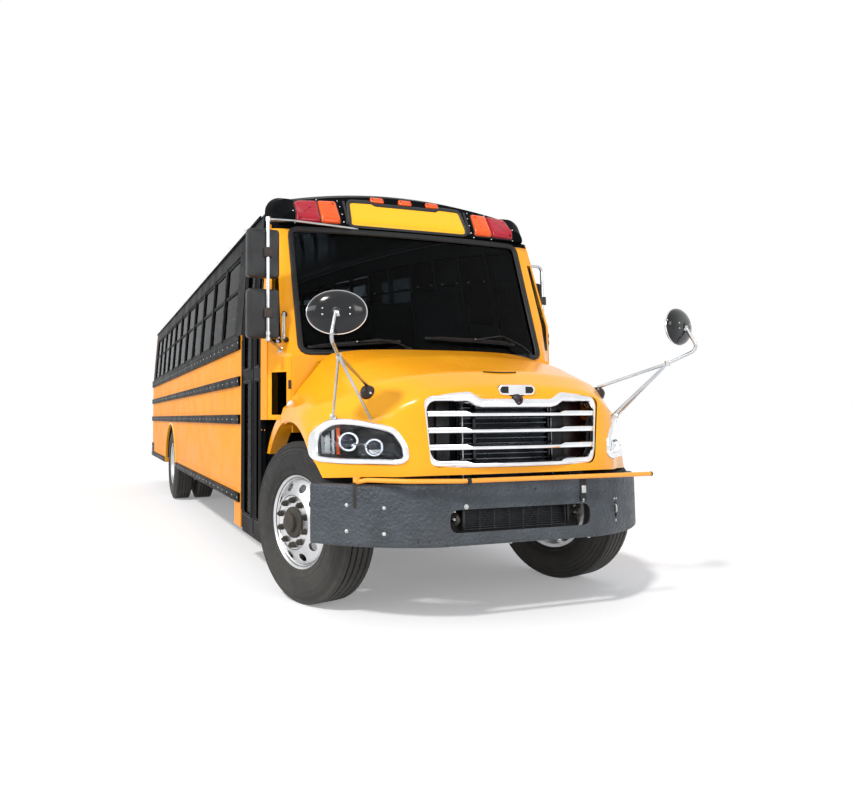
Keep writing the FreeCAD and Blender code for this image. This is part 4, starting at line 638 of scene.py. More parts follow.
def sharpen(piece, angle=32.0):
    """Smooths a finished mesh except over edges sharper than an angle."""
    mesh = bmesh.new()
    mesh.from_mesh(piece.data)
    for face in mesh.faces:
        face.smooth = True
    for edge in mesh.edges:
        edge.smooth = len(edge.link_faces) == 2 and edge.calc_face_angle(0.0) < math.radians(angle)
    mesh.to_mesh(piece.data)
    mesh.free()


# ------------------------------------------------------------------ sizes and colours

class SchoolBusColours(bpy.types.PropertyGroup):
    """Colours that an owner would choose, in linear light."""

    def paint(name, description, code):
        return bpy.props.FloatVectorProperty(name=name, description=description, subtype="COLOR", size=3,
                                             min=0.0, max=1.0, default=linear(code)[:3])

    body: paint("Body", "Enamel of the sides, hood and cowl", "#FCAD1B")
    # Painted shade: this darker orange tints the body enamel in random patches, and is the whole colour of
    # the side enamel that stands for the shade on the sides.
    body_deep_and_side_shade: paint("Body shade", "The body enamel where it lies thicker", "#FA9E12")
    roof: paint("Roof", "Enamel of the roof and hatches", "#ECEDEB")
    trim: paint("Trim", "Enamel of the rails, posts, window band and front cap", "#0B0C0E")
    bumper: paint("Bumper", "Textured coat of both bumpers", "#3C434A")
    window_tint: paint("Window tint", "Glass of the side and rear windows", "#6E7478")
    windshield_tint: paint("Windshield tint", "Glass of the windshield", "#6F7A80")
    seats: paint("Seats", "Vinyl of the seats", "#20242C")


class SchoolBusSizes(bpy.types.PropertyGroup):
    """Sizes of the details that ride on the CAD model."""

    def length(name, description, metres):
        return bpy.props.FloatProperty(name=name, description=description, unit="LENGTH", min=0.0,
                                       default=metres)

    rivet: length("Rivet", "Radius of the rivets in the body sheets", 0.006)
    bolt: length("Bolt", "Radius of the heads of the bumper's bolts", 0.011)
    gasket: length("Gasket", "Width of the rubber round the windshield", 0.030)
    tread: length("Tread", "Depth of the grooves in the tyres", 0.012)
    frame_bar: length("Window frame", "Width of the bars of the side window frames", 0.026)
    lug: length("Lug nut", "Radius of the wheels' lug nuts", 0.0185)


# ------------------------------------------------------------------ the stage

class BUS_OT_stage(bpy.types.Operator):
    """Pale floor, plain soft light and the camera"""
    bl_idname = "school_bus.stage"
    bl_label = "Stage"

    def execute(self, context):
        self.floor()
        self.world(context.scene)
        self.lights()
        self.camera(context.scene)
        context.scene.view_settings.view_transform = "Standard"
        return {"FINISHED"}

    def floor(self):
        work = Work("studio_floor")
        reach, steps = 60.0, 24
        rows = [[(reach * (2 * i / steps - 1), reach * (2 * j / steps - 1), -0.001) for j in range(steps + 1)]
                for i in range(steps + 1)]
        work.grid(rows, "studio_floor", flip=True)
        mesh = bpy.data.meshes.new("floor_sheet")
        work.mesh.to_mesh(mesh)
        work.mesh.free()
        mesh.materials.append(finish_of("studio_floor"))
        sheet = bpy.data.objects.new("floor_sheet", mesh)
        bpy.context.scene.collection.objects.link(sheet)

    def world(self, scene):
        """White where the camera, glass and metal look; paler light from above on the bus itself."""
        scene.world = bpy.data.worlds.new("studio")
        scene.world.use_nodes = True
        tree = scene.world.node_tree
        tree.nodes.clear()
        seen = seen_directly(tree)
        up = put(tree, "ShaderNodeSeparateXYZ",
                 inputs={"Vector": put(tree, "ShaderNodeTexCoord").outputs["Generated"]})
        rise = put(tree, "ShaderNodeMapRange", inputs={"Value": up.outputs["Z"], "From Min": 0.0,
                                                       "From Max": 0.7,
                                                       "To Min": 0.78, "To Max": 0.52})
        soft = put(tree, "ShaderNodeBackground",
                   inputs={"Color": linear("#F4F7FF"), "Strength": rise.outputs[0]})
        white = put(tree, "ShaderNodeBackground", inputs={"Color": (1.0, 1.0, 1.0, 1.0), "Strength": 1.0})
        mix = put(tree, "ShaderNodeMixShader", inputs={0: seen, 1: soft.outputs[0], 2: white.outputs[0]})
        put(tree, "ShaderNodeOutputWorld", inputs={"Surface": mix.outputs[0]})

    def lights(self):
        key = bpy.data.lights.new("key", "SUN")
        key.energy, key.angle, key.color = 2.1, math.radians(5), (1.0, 0.985, 0.96)
        lamp = bpy.data.objects.new("key", key)
        lamp.rotation_euler = Vector((0.50, -0.62, 0.86)).to_track_quat("Z", "Y").to_euler()
        bpy.context.scene.collection.objects.link(lamp)
        for name, place, size, power in (("front_panel", (ahead(9.0), 1.5, 4.2), (5.0, 2.2), 170.0),
                                         ("side_panel", (ahead(0.5), -8.5, 4.6), (9.0, 2.0), 190.0)):
            panel = bpy.data.lights.new(name, "AREA")
            panel.shape, panel.size, panel.size_y, panel.energy = "RECTANGLE", size[0], size[1], power
            piece = bpy.data.objects.new(name, panel)
            piece.location = place
            aim = Vector((ahead(0.0), 0.0, 1.4)) - Vector(place)
            piece.rotation_euler = aim.to_track_quat("-Z", "Y").to_euler()
            bpy.context.scene.collection.objects.link(piece)

    def camera(self, scene):
        """A low viewpoint off the bus's right front corner."""
        lens = bpy.data.cameras.new("camera")
        lens.lens, lens.sensor_width, lens.shift_x, lens.shift_y = 30.74, 36.0, 0.1005, -0.047
        lens.clip_end = 200.0
        yaw, pitch, roll = math.radians(160.69), math.radians(4.43), math.radians(-0.363)
        forward = Vector((math.cos(pitch) * math.cos(yaw), math.cos(pitch) * math.sin(yaw), math.sin(pitch)))
        level = forward.cross(Vector((0, 0, 1))).normalized()
        raised = level.cross(forward)
        right = level * math.cos(roll) + raised * math.sin(roll)
        top = raised * math.cos(roll) - level * math.sin(roll)
        piece = bpy.data.objects.new("camera", lens)
        turn = Matrix((right, top, -forward)).transposed().to_4x4()
        piece.matrix_world = Matrix.Translation((ahead(4.738), -2.432, 1.211)) @ turn
        scene.collection.objects.link(piece)
        scene.camera = piece


def seen_directly(tree):
    """1 for rays from the camera and for those that glass and metal pass on, otherwise 0."""
    path = put(tree, "ShaderNodeLightPath")
    most = path.outputs["Is Camera Ray"]
    for name in ("Is Glossy Ray", "Is Transmission Ray"):
        either = put(tree, "ShaderNodeMath", {"operation": "MAXIMUM"})
        tree.links.new(most, either.inputs[0])
        tree.links.new(path.outputs[name], either.inputs[1])
        most = either.outputs[0]
    return most


def studio_floor():
    """Matt white floor that keeps the shadow of the bus."""
    made, tree, shader, place = finish_named("studio_floor", Roughness=0.9)
    mottled(tree, place, shader, "#E4E4E4", "#E9E9E9", 2500)
    lift = put(tree, "ShaderNodeMath", {"operation": "MULTIPLY"})
    lift.inputs[1].default_value = 0.24
    tree.links.new(seen_directly(tree), lift.inputs[0])
    shader.inputs["Emission Color"].default_value = (1.0, 1.0, 1.0, 1.0)
    tree.links.new(lift.outputs[0], shader.inputs["Emission Strength"])
    return made


RECIPES["studio_floor"] = lambda c: studio_floor()


# ------------------------------------------------------------------ CAD nodes that keep their shape

KEPT = {
    "chassis_coat": ("frame_rails", "cross_members", "hood_brackets"),
    "cast_iron": ("engine", "rear_axle", "front_axle", "right_knuckle", "left_knuckle", "driveline"),
    "spring_steel": ("front_springs", "rear_springs"),
    "exhaust_steel": ("exhaust",),
    "tank_steel": ("fuel_tank",),
    "black_satin": ("radiator",),
}


class BUS_OT_chassis(bpy.types.Operator):
    """Finishes of the frame, axles, springs, engine and exhaust"""
    bl_idname = "school_bus.chassis"
    bl_label = "Chassis"

    def execute(self, context):
        for finish, names in KEPT.items():
            for name in names:
                dress(name, finish)
        return {"FINISHED"}


def dress(name, finish):
    """Gives a CAD node that stays in sight its material."""
    node = frame["nodes"][name]
    for place in node.material_slots:
        place.link = "OBJECT"
        place.material = finish_of(finish)


# ------------------------------------------------------------------ hood

# The hood's surface, cut along the bus at distances from its centre plane. Each row runs over
# the top: rear edge, middle, nose, brow and lower front, as (ahead of the axle, height) pairs.
HOOD = (  # across, rear, middle, nose, brow, lower front
    (0.000, (-0.060, 1.690), (0.300, 1.617), (0.780, 1.482), (0.966, 1.372), (0.964, 0.870)),
    (0.350, (-0.066, 1.688), (0.300, 1.611), (0.775, 1.472), (0.964, 1.358), (0.962, 0.870)),
    (0.600, (-0.085, 1.680), (0.300, 1.590), (0.760, 1.442), (0.946, 1.322), (0.947, 0.870)),
    (0.760, (-0.108, 1.662), (0.300, 1.556), (0.710, 1.400), (0.866, 1.232), (0.880, 0.864)),
    (0.840, (-0.125, 1.632), (0.300, 1.512), (0.640, 1.372), (0.772, 1.190), (0.800, 0.862)),
    (0.930, (-0.158, 1.520), (0.285, 1.414), (0.545, 1.338), (0.694, 1.200), (0.722, 0.857)),
    (1.020, (-0.182, 1.412), (0.262, 1.352), (0.470, 1.304), (0.616, 1.186), (0.652, 0.852)),
    (1.090, (-0.188, 1.318), (0.220, 1.312), (0.390, 1.278), (0.535, 1.160), (0.585, 0.848)),
    (1.135, (-0.190, 1.272), (0.170, 1.272), (0.325, 1.240), (0.458, 1.132), (0.525, 0.845)),
    (1.149, (-0.190, 1.225), (0.150, 1.225), (0.300, 1.190), (0.430, 1.090), (0.500, 0.842)),
)
HOOD_BENDS = (0.0, 0.55, 0.22, 0.075, 0.0)       # radius at each point of a row
ARCH = 0.660
ARCH_BACK = -0.197                               # where the hood's arches end and the cowl's begin
HEADLIGHT = ((0.690, 0.965), (0.730, 0.938), (1.000, 0.938), (1.142, 0.952), (1.134, 1.110),
             (1.050, 1.188), (0.950, 1.188), (0.756, 1.144), (0.695, 1.040))


def between(first, second, third, fourth, t):
    """A smooth curve through the second and third values."""
    return 0.5 * (2 * second + (third - first) * t + (2 * first - 5 * second + 4 * third - fourth) * t * t
                  + (3 * second - first - 3 * third + fourth) * t ** 3)


def hood_row(across, count=46):
    """Points of the hood's surface at a distance from the centre plane, rear edge first."""
    side = min(abs(across), HOOD[-1][0])
    k = max(i for i in range(len(HOOD) - 1) if HOOD[i][0] <= side)
    rows = [HOOD[abs(k - 1)], HOOD[k], HOOD[k + 1], HOOD[min(k + 2, len(HOOD) - 1)]]
    t = (side - rows[1][0]) / (rows[2][0] - rows[1][0])
    corners = []
    for place in range(1, 6):
        x, z = (between(*[row[place][c] for row in rows], t) for c in (0, 1))
        corners.append(Vector((ahead(x), across, z)))
    path = [corners[0]]
    for place in range(1, 4):
        before, corner, after = corners[place - 1:place + 2]
        back, on = before - corner, after - corner
        half = back.angle(on) / 2
        reach = min(HOOD_BENDS[place] / math.tan(half), back.length * 0.46, on.length * 0.46)
        for step in range(9):
            u = step / 8
            path.append((corner + back.normalized() * reach) * (1 - u) ** 2 + corner * 2 * u * (1 - u)
                        + (corner + on.normalized() * reach) * u ** 2)
    path.append(corners[4])
    return evenly(path, count)


def evenly(path, count):
    """A line's points spread evenly along it."""
    spans = [(b - a).length for a, b in zip(path, path[1:])]
    total, points, k, passed = sum(spans), [], 0, 0.0
    for step in range(count):
        want = total * step / (count - 1)
        while k < len(spans) - 1 and passed + spans[k] < want:
            passed += spans[k]
            k += 1
        points.append(path[k].lerp(path[k + 1], min(1.0, (want - passed) / spans[k])))
    return points


def hood_columns():
    """Distances across the hood, closer together over the wings."""
    half = [0.0, 0.09, 0.18, 0.27, 0.36, 0.44, 0.52, 0.60, 0.66, 0.72, 0.76, 0.80, 0.84, 0.88, 0.92, 0.96,
            1.0, 1.03, 1.06, 1.085, 1.105, 1.12, 1.135, 1.144, 1.149]
    return [-y for y in half[:0:-1]] + half


def hood_sheet(work):
    """The hood's outer surface with its sides, before anything is cut out of it."""
    rows = [hood_row(across) for across in hood_columns()]
    for row, place in ((rows[0], 0), (rows[-1], len(rows) + 1)):
        low = [Vector((p.x, math.copysign(1.1495, p.y), 0.842)) for p in row]
        middle = [p.lerp(q, 0.08) for p, q in zip(row, low)]
        rows.insert(0 if place == 0 else len(rows), middle)
        rows.insert(0 if place == 0 else len(rows), low)
    work.grid(rows, "yellow_enamel")


SURFACES = {}


def surface(name, build):
    """The ray-test tree of a surface, kept so that fittings can be set down on it."""
    if name not in SURFACES:
        work = Work()
        build(work)
        work.mesh.verts.ensure_lookup_table()
        work.mesh.normal_update()
        SURFACES[name] = BVHTree.FromBMesh(work.mesh)
        work.mesh.free()
    return SURFACES[name]


def on_hood(across, height, lift=0.0):
    """The hood's or wing's surface point and outward normal, looked at from the front."""
    tree = surface("hood", hood_sheet)
    hit, normal, _, _ = tree.ray_cast(Vector((ahead(2.0), across, height)), Vector((-1, 0, 0)))
    normal = normal if normal.x > 0 else -normal
    return hit + normal * lift, normal


def on_top(distance, across, lift=0.0):
    """The hood's surface point and normal under a place ahead of the axle."""
    tree = surface("hood", hood_sheet)
    hit, normal, _, _ = tree.ray_cast(Vector((ahead(distance), across, 3.0)), Vector((0, 0, -1)))
    normal = normal if normal.z > 0 else -normal
    return hit + normal * lift, normal


def arch_outline(radius, steps=40):
    """The arch over a front wheel as (along, height) pairs, from its rear foot over the top."""
    points = []
    for k in range(steps + 1):
        angle = math.radians(206 - 232 * k / steps)
        points.append((AXLE + radius * math.cos(angle), HUB + radius * math.sin(angle)))
    return points


class BUS_OT_hood(bpy.types.Operator):
    """Hood and front wings with the arches, arch lips and liners"""
    bl_idname = "school_bus.hood"
    bl_label = "Hood"

    def execute(self, context):
        self.shell()
        self.liners()
        self.fittings()
        return {"FINISHED"}

    def shell(self):
        work = Work("yellow_enamel")
        hood_sheet(work)
        piece = work.done("hood_shell", "hood", "yellow_paint", replaced=("hood",))
        thick = piece.modifiers.new("sheet", "SOLIDIFY")
        thick.thickness, thick.offset = 0.007, -1.0
        evaluated = piece.evaluated_get(bpy.context.evaluated_depsgraph_get())
        mesh = bpy.data.meshes.new_from_object(evaluated)
        piece.modifiers.clear()
        piece.data = mesh
        cutters = []
        for side in (-1, 1):
            cutters.append(cutter(lambda w: w.lathe((AXLE, side * 0.76, HUB), (0, side, 0),
                                                    [(0, ARCH), (0.5, ARCH)], "yellow_enamel", 96)))
            outline = flowing([(side * y, z) for y, z in HEADLIGHT])
            cutters.append(cutter(lambda w: self.prism(w, grown(outline, -0.006), 0.30)))
        opening = rounded(mirrored(GRILLE), 0.070, 8)
        cutters.append(cutter(lambda w: self.prism(w, grown(opening, -0.008), 0.85)))
        carve(piece, cutters)
        sharpen(piece)

    def prism(self, work, outline, start):
        near = [(ahead(start), y, z) for y, z in outline]
        work.plate(near, (0.9, 0, 0), "yellow_enamel")

    def liners(self):
        """Black moulded liners under the wings, with a rolled yellow lip round each arch."""
        for side in (-1, 1):
            work = Work("yellow_enamel", "black_plastic")
            front = [p for p in arch_outline(ARCH) if p[0] > ahead(ARCH_BACK)]
            lip = []
            for x, z in front:
                way = Vector((x - AXLE, 0, z - HUB)).normalized()
                y = self.edge_across(x, z)
                if y is not None:
                    lip.append((Vector((x, side * (y - 0.004), z)), way))
            rows = []
            for out, inward in ((0.003, 0.0), (-0.004, -0.001), (-0.011, 0.004), (-0.012, 0.018),
                                (-0.008, 0.030)):
                rows.append([p + way * out - Vector((0, side * inward, 0)) for p, way in lip])
            work.grid(rows, "yellow_enamel")
            shell = []
            for y in (1.10, 1.0, 0.85, 0.72, 0.62):
                shell.append([Vector((AXLE + (x - AXLE) * 1.012, side * y, HUB + (z - HUB) * 1.012))
                              for x, z in arch_outline(ARCH) if z > 0.66 and x > ahead(ARCH_BACK)])
            work.grid([[self.under(p) for p in row] for row in shell], "black_plastic")
            work.done(f"arch_lip_{'left' if side > 0 else 'right'}", "hood", "yellow_paint")

    def under(self, point):
        """A liner point kept under the hood's sheet."""
        low = point.copy()
        tree = surface("hood", hood_sheet)
        hit, _, _, _ = tree.ray_cast(Vector((point.x, point.y, 3.0)), Vector((0, 0, -1)))
        if hit is not None:
            low.z = min(low.z, hit.z - 0.012)
        return low

    def edge_across(self, x, z):
        """How far out the wing's surface lies at a point of the arch's edge."""
        tree = surface("hood", hood_sheet)
        hit, _, _, _ = tree.ray_cast(Vector((x, 2.0, z)), Vector((0, -1, 0)))
        return hit.y if hit is not None and hit.y > 0.7 else None

    def fittings(self):
        """Air slot, blank oval badge, camera, hood latches and marker lamps."""
        work = Work("black_plastic", "chrome", "yellow_enamel", "gloss_plastic", "white_lens", "seal_rubber")
        slot = [on_top(0.790 - 0.012 * (y / 0.115) ** 2, y, 0.002)[0]
                for y in (-0.115 + 0.23 * k / 12 for k in range(13))]
        work.tube(slot, 0.006, "black_plastic", 8, flat=(0.010, 0.004))
        self.badge(work)
        for side in (-1, 1):
            self.latch(work, side)
        work.done("hood_fittings", "hood", "black_paint")

    def badge(self, work):
        """A bare chrome stadium with dark inlaid ends, above a small round camera."""
        middle, half, tall = 1.362, 0.125, 0.031
        turns = [math.pi * (k / 12 - 0.5) for k in range(13)]
        outline = [(side * (half - tall + tall * math.cos(t)), side * tall * math.sin(t)) for side in (1, -1)
                   for t in turns]
        rows = []
        for out, lift in ((0.0, -0.012), (0.0, 0.003), (-0.002, 0.007), (-0.006, 0.008), (-0.009, 0.006)):
            rows.append([Vector((ahead(0.966) + lift, y, middle + z)) for y, z in grown(outline, out)])
        made = work.grid(rows, "chrome", around=True, flip=True)
        work.fan(made[-1], "chrome", flip=True)
        for side in (-1, 1):
            inlay = [(side * (half - tall + 0.020 * math.cos(t)), 0.020 * math.sin(t)) for t in turns]
            inlay += [(side * 0.058, 0.020), (side * 0.058, -0.020)]
            work.plate([Vector((ahead(0.966) + 0.007, y, middle + z)) for y, z in inlay], (-0.006, 0, 0),
                       "gloss_plastic", rim=0.001)
        centre = Vector((ahead(0.950), 0.0, 1.303))
        work.lathe(centre, (1, 0, -0.15), [(0, 0.037), (0.020, 0.038), (0.034, 0.034), (0.044, 0.024),
                                           (0.047, 0.014),
                                           (0.041, 0.011), (0.043, 0.006), (0.044, 0.0001)],
                                           "dark_red_plastic", 32)
        work.block(centre + Vector((-0.02, -0.052, 0.018)), centre + Vector((0.018, 0.052, 0.036)),
                   "black_plastic", 0.008)

    def latch(self, work, side):
        """A rubber hood latch and a small marker at the back of the wing."""
        place, normal = on_top(-0.11, side * 1.105, 0.006)
        work.lathe(place - normal * 0.01, normal,
                   [(0, 0.026), (0.012, 0.026), (0.020, 0.018), (0.023, 0.0001)],
                   "white_lens", 20)
        work.block((ahead(-0.160), side * 1.060 - 0.012, 1.250), (ahead(-0.135), side * 1.060 + 0.012, 1.29),
                   "seal_rubber", 0.004)


def flowing(corners, cuts=(0.17, 0.22, 0.25)):
    """A closed flat outline whose corners are cut off over and over by shares of its sides."""
    points = [Vector(corner) for corner in corners]
    for cut in cuts:
        points = [p
                  for a, b in zip(points, points[1:] + points[:1]) for p in (a.lerp(b, cut), b.lerp(a, cut))]
    return grown([tuple(p) for p in points], 0.004)


def mirrored(half):
    """A closed outline from its left half, bottom to top, and its mirror image."""
    return list(half) + [(-y, z) for y, z in reversed(half)]


# ------------------------------------------------------------------ grille

GRILLE = ((0.572, 0.906), (0.614, 1.330), (0.311, 1.353), (0.240, 1.311))
GRILLE_HOLE = ((0.300, 0.938), (0.330, 0.956), (0.525, 0.958), (0.557, 1.000), (0.574, 1.250),
               (0.545, 1.290), (0.325, 1.292), (0.262, 1.256))
BARS = ((1.028, 0.563), (1.126, 0.567), (1.222, 0.571))       # (height of the middle, half length)


class BUS_OT_grille(bpy.types.Operator):
    """Bright grille frame with its stepped bars and the radiator that shows through it"""
    bl_idname = "school_bus.grille"
    bl_label = "Grille"

    def execute(self, context):
        self.frame_and_bars()
        self.radiator()
        return {"FINISHED"}

    def front(self, across):
        """The nose's face is a little bowed, and the grille follows it."""
        return ahead(0.968) - 0.055 * (across / 0.6) ** 2

    def frame_and_bars(self):
        work = Work("chrome")
        outer = rounded(mirrored(GRILLE), 0.070, 8)
        outer = even_ring([Vector((0, y, z)) for y, z in outer], 220)
        hole = rounded(mirrored(GRILLE_HOLE), 0.034, 6)
        hole = [Vector((0, y, z)) for y, z in hole]
        rows = []
        near = [closest(p, hole) for p in outer]
        section = ((0.0, -0.050), (0.0, 0.004), (0.06, 0.013), (0.20, 0.019), (0.50, 0.022), (0.82, 0.019),
                   (0.96, 0.010), (1.0, -0.004), (1.0, -0.045))
        for share, lift in section:
            rows.append([Vector((self.front(p.y) + lift, p.lerp(q, share).y, p.lerp(q, share).z))
                         for p, q in zip(outer, near)])
        work.grid(rows, "chrome", around=True, flip=True)
        for middle, reach in BARS:
            self.bar(work, middle, reach)
        work.done("grille_frame", "hood", "grille_metal", replaced=("grille",), merge=0.0002, angle=40)

    def bar(self, work, middle, reach):
        """A bar whose ends are deep and whose middle is a thin blade."""
        low = middle - 0.017
        rows = []
        for k in range(61):
            across = reach * (2 * k / 60 - 1)
            thin = min(1.0, max(0.0, (0.335 - abs(across)) / 0.030))
            top = middle + 0.018 - 0.012 * thin
            x = self.front(across)
            rows.append([Vector((x - 0.060, across, low + 0.004)), Vector((x - 0.002, across, low)),
                         Vector((x + 0.010, across, low + 0.003)),
                         Vector((x + 0.014, across, (low + top) / 2)),
                         Vector((x + 0.010, across, top - 0.003)), Vector((x - 0.004, across, top)),
                         Vector((x - 0.060, across, top + 0.006))])
        made = work.grid(rows, "chrome", around=True)
        work.fan(made[0], "chrome")
        work.fan(made[-1], "chrome", flip=True)

    def radiator(self):
        """Cooler tubes, their brackets and the side baffles behind the grille."""
        work = Work("radiator_fins", "gloss_plastic", "black_plastic", "dark_red_plastic", "zinc",
                    "lamp_pot")
        low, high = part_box("radiator")
        face = high[0] + 0.004
        count = int((high[2] - low[2] - 0.12) / 0.030)
        for k in range(count + 1):
            height = low[2] + 0.06 + k * (high[2] - low[2] - 0.12) / count
            work.tube([(face + 0.012, -0.30, height), (face + 0.012, 0.33, height)], 0.0, "lamp_pot", 10,
                      flat=(0.009, 0.006))
        work.block((face - 0.006, -0.31, low[2] + 0.02), (face + 0.002, 0.31, high[2] - 0.02),
                   "radiator_fins")
        for across, wide, finish in ((-0.285, 0.004, "zinc"), (-0.205, 0.010, "gloss_plastic"),
                                     (0.325, 0.006, "gloss_plastic"), (0.345, 0.004, "lamp_pot")):
            work.block((face, across - wide, low[2] + 0.02), (face + 0.030, across + wide, high[2] - 0.02),
                       finish, 0.002)
        for side in (-1, 1):
            work.block((face - 0.01, min(side * 0.36, side * 0.45), low[2] + 0.02),
                       (face + 0.006, max(side * 0.36, side * 0.45), high[2] - 0.03), "black_plastic", 0.004)
            work.block((face - 0.02, min(side * 0.455, side * 0.60), low[2] + 0.06),
                       (face - 0.006, max(side * 0.455, side * 0.60), high[2] - 0.05), "dark_red_plastic",
                       0.004)
        work.done("radiator_front", "bus", "radiator_metal")


def even_ring(points, count):
    """A closed line's points spread evenly round it."""
    return evenly(points + [points[0]], count + 1)[:-1]


def closest(point, line):
    """The nearest place on a closed line."""
    best = None
    for a, b in zip(line, line[1:] + line[:1]):
        way = b - a
        t = max(0.0, min(1.0, (point - a).dot(way) / max(way.length_squared, 1e-12)))
        place = a + way * t
        if best is None or (place - point).length < (best - point).length:
            best = place
    return best


# ------------------------------------------------------------------ headlights

class BUS_OT_headlights(bpy.types.Operator):
    """Headlamps: chrome surround, black housing, two projectors, indicator and clear cover"""
    bl_idname = "school_bus.headlights"
    bl_label = "Headlights"

    def execute(self, context):
        for side in (-1, 1):
            self.unit(side)
        return {"FINISHED"}

    def ring(self, outline, lift, depth=0.0):
        points = []
        for y, z in outline:
            place, _ = on_hood(y, z, lift)
            points.append(place - Vector((depth, 0, 0)))
        return points

    def unit(self, side):
        name = "left" if side > 0 else "right"
        work = Work("chrome", "black_plastic", "gloss_plastic", "amber_reflector", "lamp_ring", "white_lens",
                    "polished_aluminium", "projector_lens")
        corners = [(side * y, z) for y, z in HEADLIGHT]
        outer = evenly_flat(flowing(corners), 96)
        shapes = [(0.005, -0.012), (0.005, 0.003), (0.001, 0.009), (-0.008, 0.012), (-0.018, 0.011),
                  (-0.027, 0.004),
                  (-0.030, -0.012)]
        rows = [self.ring(grown(outer, out), lift) for out, lift in shapes]
        work.grid(rows, "chrome", around=True, flip=side < 0)
        inner = grown(outer, -0.030)
        self.housing(work, inner, side)
        self.projectors(work, side)
        work.done(f"headlight_{name}", "hood", "clear_lens", recalc=False,
                  replaced=("headlights",) if side > 0 else (), angle=38)
        cover = Work("clear_lens")
        shrink = [(0.0, -0.006), (-0.020, -0.002), (-0.050, 0.001), (-0.085, 0.001)]
        rows = [self.ring(grown(inner, out), lift) for out, lift in shrink]
        middle = sum(rows[-1], Vector()) / len(rows[-1])
        rows.append([p.lerp(middle, 0.98) for p in rows[-1]])
        made = cover.grid(rows, "clear_lens", around=True, flip=side < 0)
        cover.fan(made[-1], "clear_lens", flip=side > 0)
        cover.done(f"headlight_cover_{name}", "hood", "clear_lens", recalc=False, smooth=True)

    def housing(self, work, inner, side):
        """A black tub that narrows towards the back, with an indicator's amber reflector outboard."""
        rows = [self.ring(inner, -0.008), self.ring(grown(inner, -0.006), -0.03),
                self.ring(grown(inner, -0.020), -0.03, 0.05)]
        middle = sum(rows[-1], Vector()) / len(rows[-1])
        rows.append([p.lerp(middle, 0.97) for p in rows[-1]])
        made = work.grid(rows, "black_plastic", around=True, flip=side < 0)
        work.fan(made[-1], "black_plastic", flip=side > 0)
        for k, (y, z, tall, half) in enumerate(((1.092, 1.055, 0.068, 0.024), (1.058, 1.062, 0.088, 0.008),
                                                (1.036, 1.066, 0.098, 0.011))):
            place, _ = on_hood(side * y, z, -0.030 - 0.006 * k)
            finish = ("polished_aluminium", "white_lens", "amber_reflector")[k]
            sweep = []
            for row in range(7):
                bend = math.sin(math.pi * row / 6)
                sweep.append([place + Vector((-0.02 * bend, side * half * (row / 3 - 1), dz))
                              for dz in (-tall, -tall * 0.5, 0, tall * 0.5, tall)])
            work.grid(sweep, finish, flip=side > 0)

    def projectors(self, work, side):
        for across, height, radius in ((0.975, 1.063, 0.058), (0.855, 1.030, 0.053)):
            place, _ = on_hood(side * across, height, -0.030)
            axis = Vector((1.0, side * 0.12, 0.0)).normalized()
            work.lathe(place - axis * 0.05, axis, [(0, radius * 1.02), (0.050, radius * 1.02),
                                                   (0.055, radius * 0.99),
                                                   (0.055, radius * 0.95), (0.050, radius * 0.92)], "chrome",
                                                   40)
            work.lathe(place, axis, [(0.0, radius * 0.93), (0.004, radius * 0.92), (0.003, radius * 0.86),
                                     (0.0, radius * 0.85)], "lamp_ring", 40)
            work.lathe(place - axis * 0.012, axis, [(0, radius * 0.88), (0.010, radius * 0.84),
                                                    (0.022, radius * 0.62),
                                                    (0.029, radius * 0.32), (0.031, 0.0001)],
                                                    "projector_lens", 36)
            if across < 0.9:
                shelf = [place + axis * 0.018 + Vector((0, side * radius * 0.7 * math.cos(t), -radius * 0.22 +
                                                        radius * 0.5 * math.sin(t))) for t in
                         [math.pi + math.pi * k / 12 for k in range(13)]]
                work.plate(shelf, axis * 0.004, "white_lens")


# ------------------------------------------------------------------ front bumper and crossing arm

BUMPER_FLAT, BUMPER_MIDDLE, BUMPER_TIP = (1.000, 0.540), (0.845, 0.905), (0.570, 1.172)
BUMPER_LOW, BUMPER_HIGH = 0.470, 0.820


def bumper_plan(steps=26):
    """The left half of the bumper's face from above, out from the middle, as (ahead, across)."""
    (x0, y0), (x1, y1), (x2, y2) = BUMPER_FLAT, BUMPER_MIDDLE, BUMPER_TIP
    twice = 2 * (x0 * (y1 - y2) + x1 * (y2 - y0) + x2 * (y0 - y1))
    a, b, c = x0 * x0 + y0 * y0, x1 * x1 + y1 * y1, x2 * x2 + y2 * y2
    cx = (a * (y1 - y2) + b * (y2 - y0) + c * (y0 - y1)) / twice
    cy = (a * (x2 - x1) + b * (x0 - x2) + c * (x1 - x0)) / twice
    radius = math.hypot(x0 - cx, y0 - cy)
    first, last = math.atan2(y0 - cy, x0 - cx), math.atan2(y2 - cy, x2 - cx)
    points = [(x0, y) for y in (0.0, 0.09, 0.18, 0.27, 0.36, 0.45)]
    for k in range(steps + 1):
        angle = first + (last - first) * k / steps
        points.append((cx + radius * math.cos(angle), cy + radius * math.sin(angle)))
    return points


def on_bumper(across, height):
    """A point of the bumper's face and the way it faces."""
    plan = bumper_plan()
    for (x0, y0), (x1, y1) in zip(plan, plan[1:]):
        if abs(across) <= y1:
            t = (abs(across) - y0) / (y1 - y0)
            out = Vector((y1 - y0, x0 - x1, 0)).normalized()
            out.y *= math.copysign(1, across)
            return Vector((ahead(x0 + (x1 - x0) * t), across, height)), out
    raise ValueError("no bumper there")


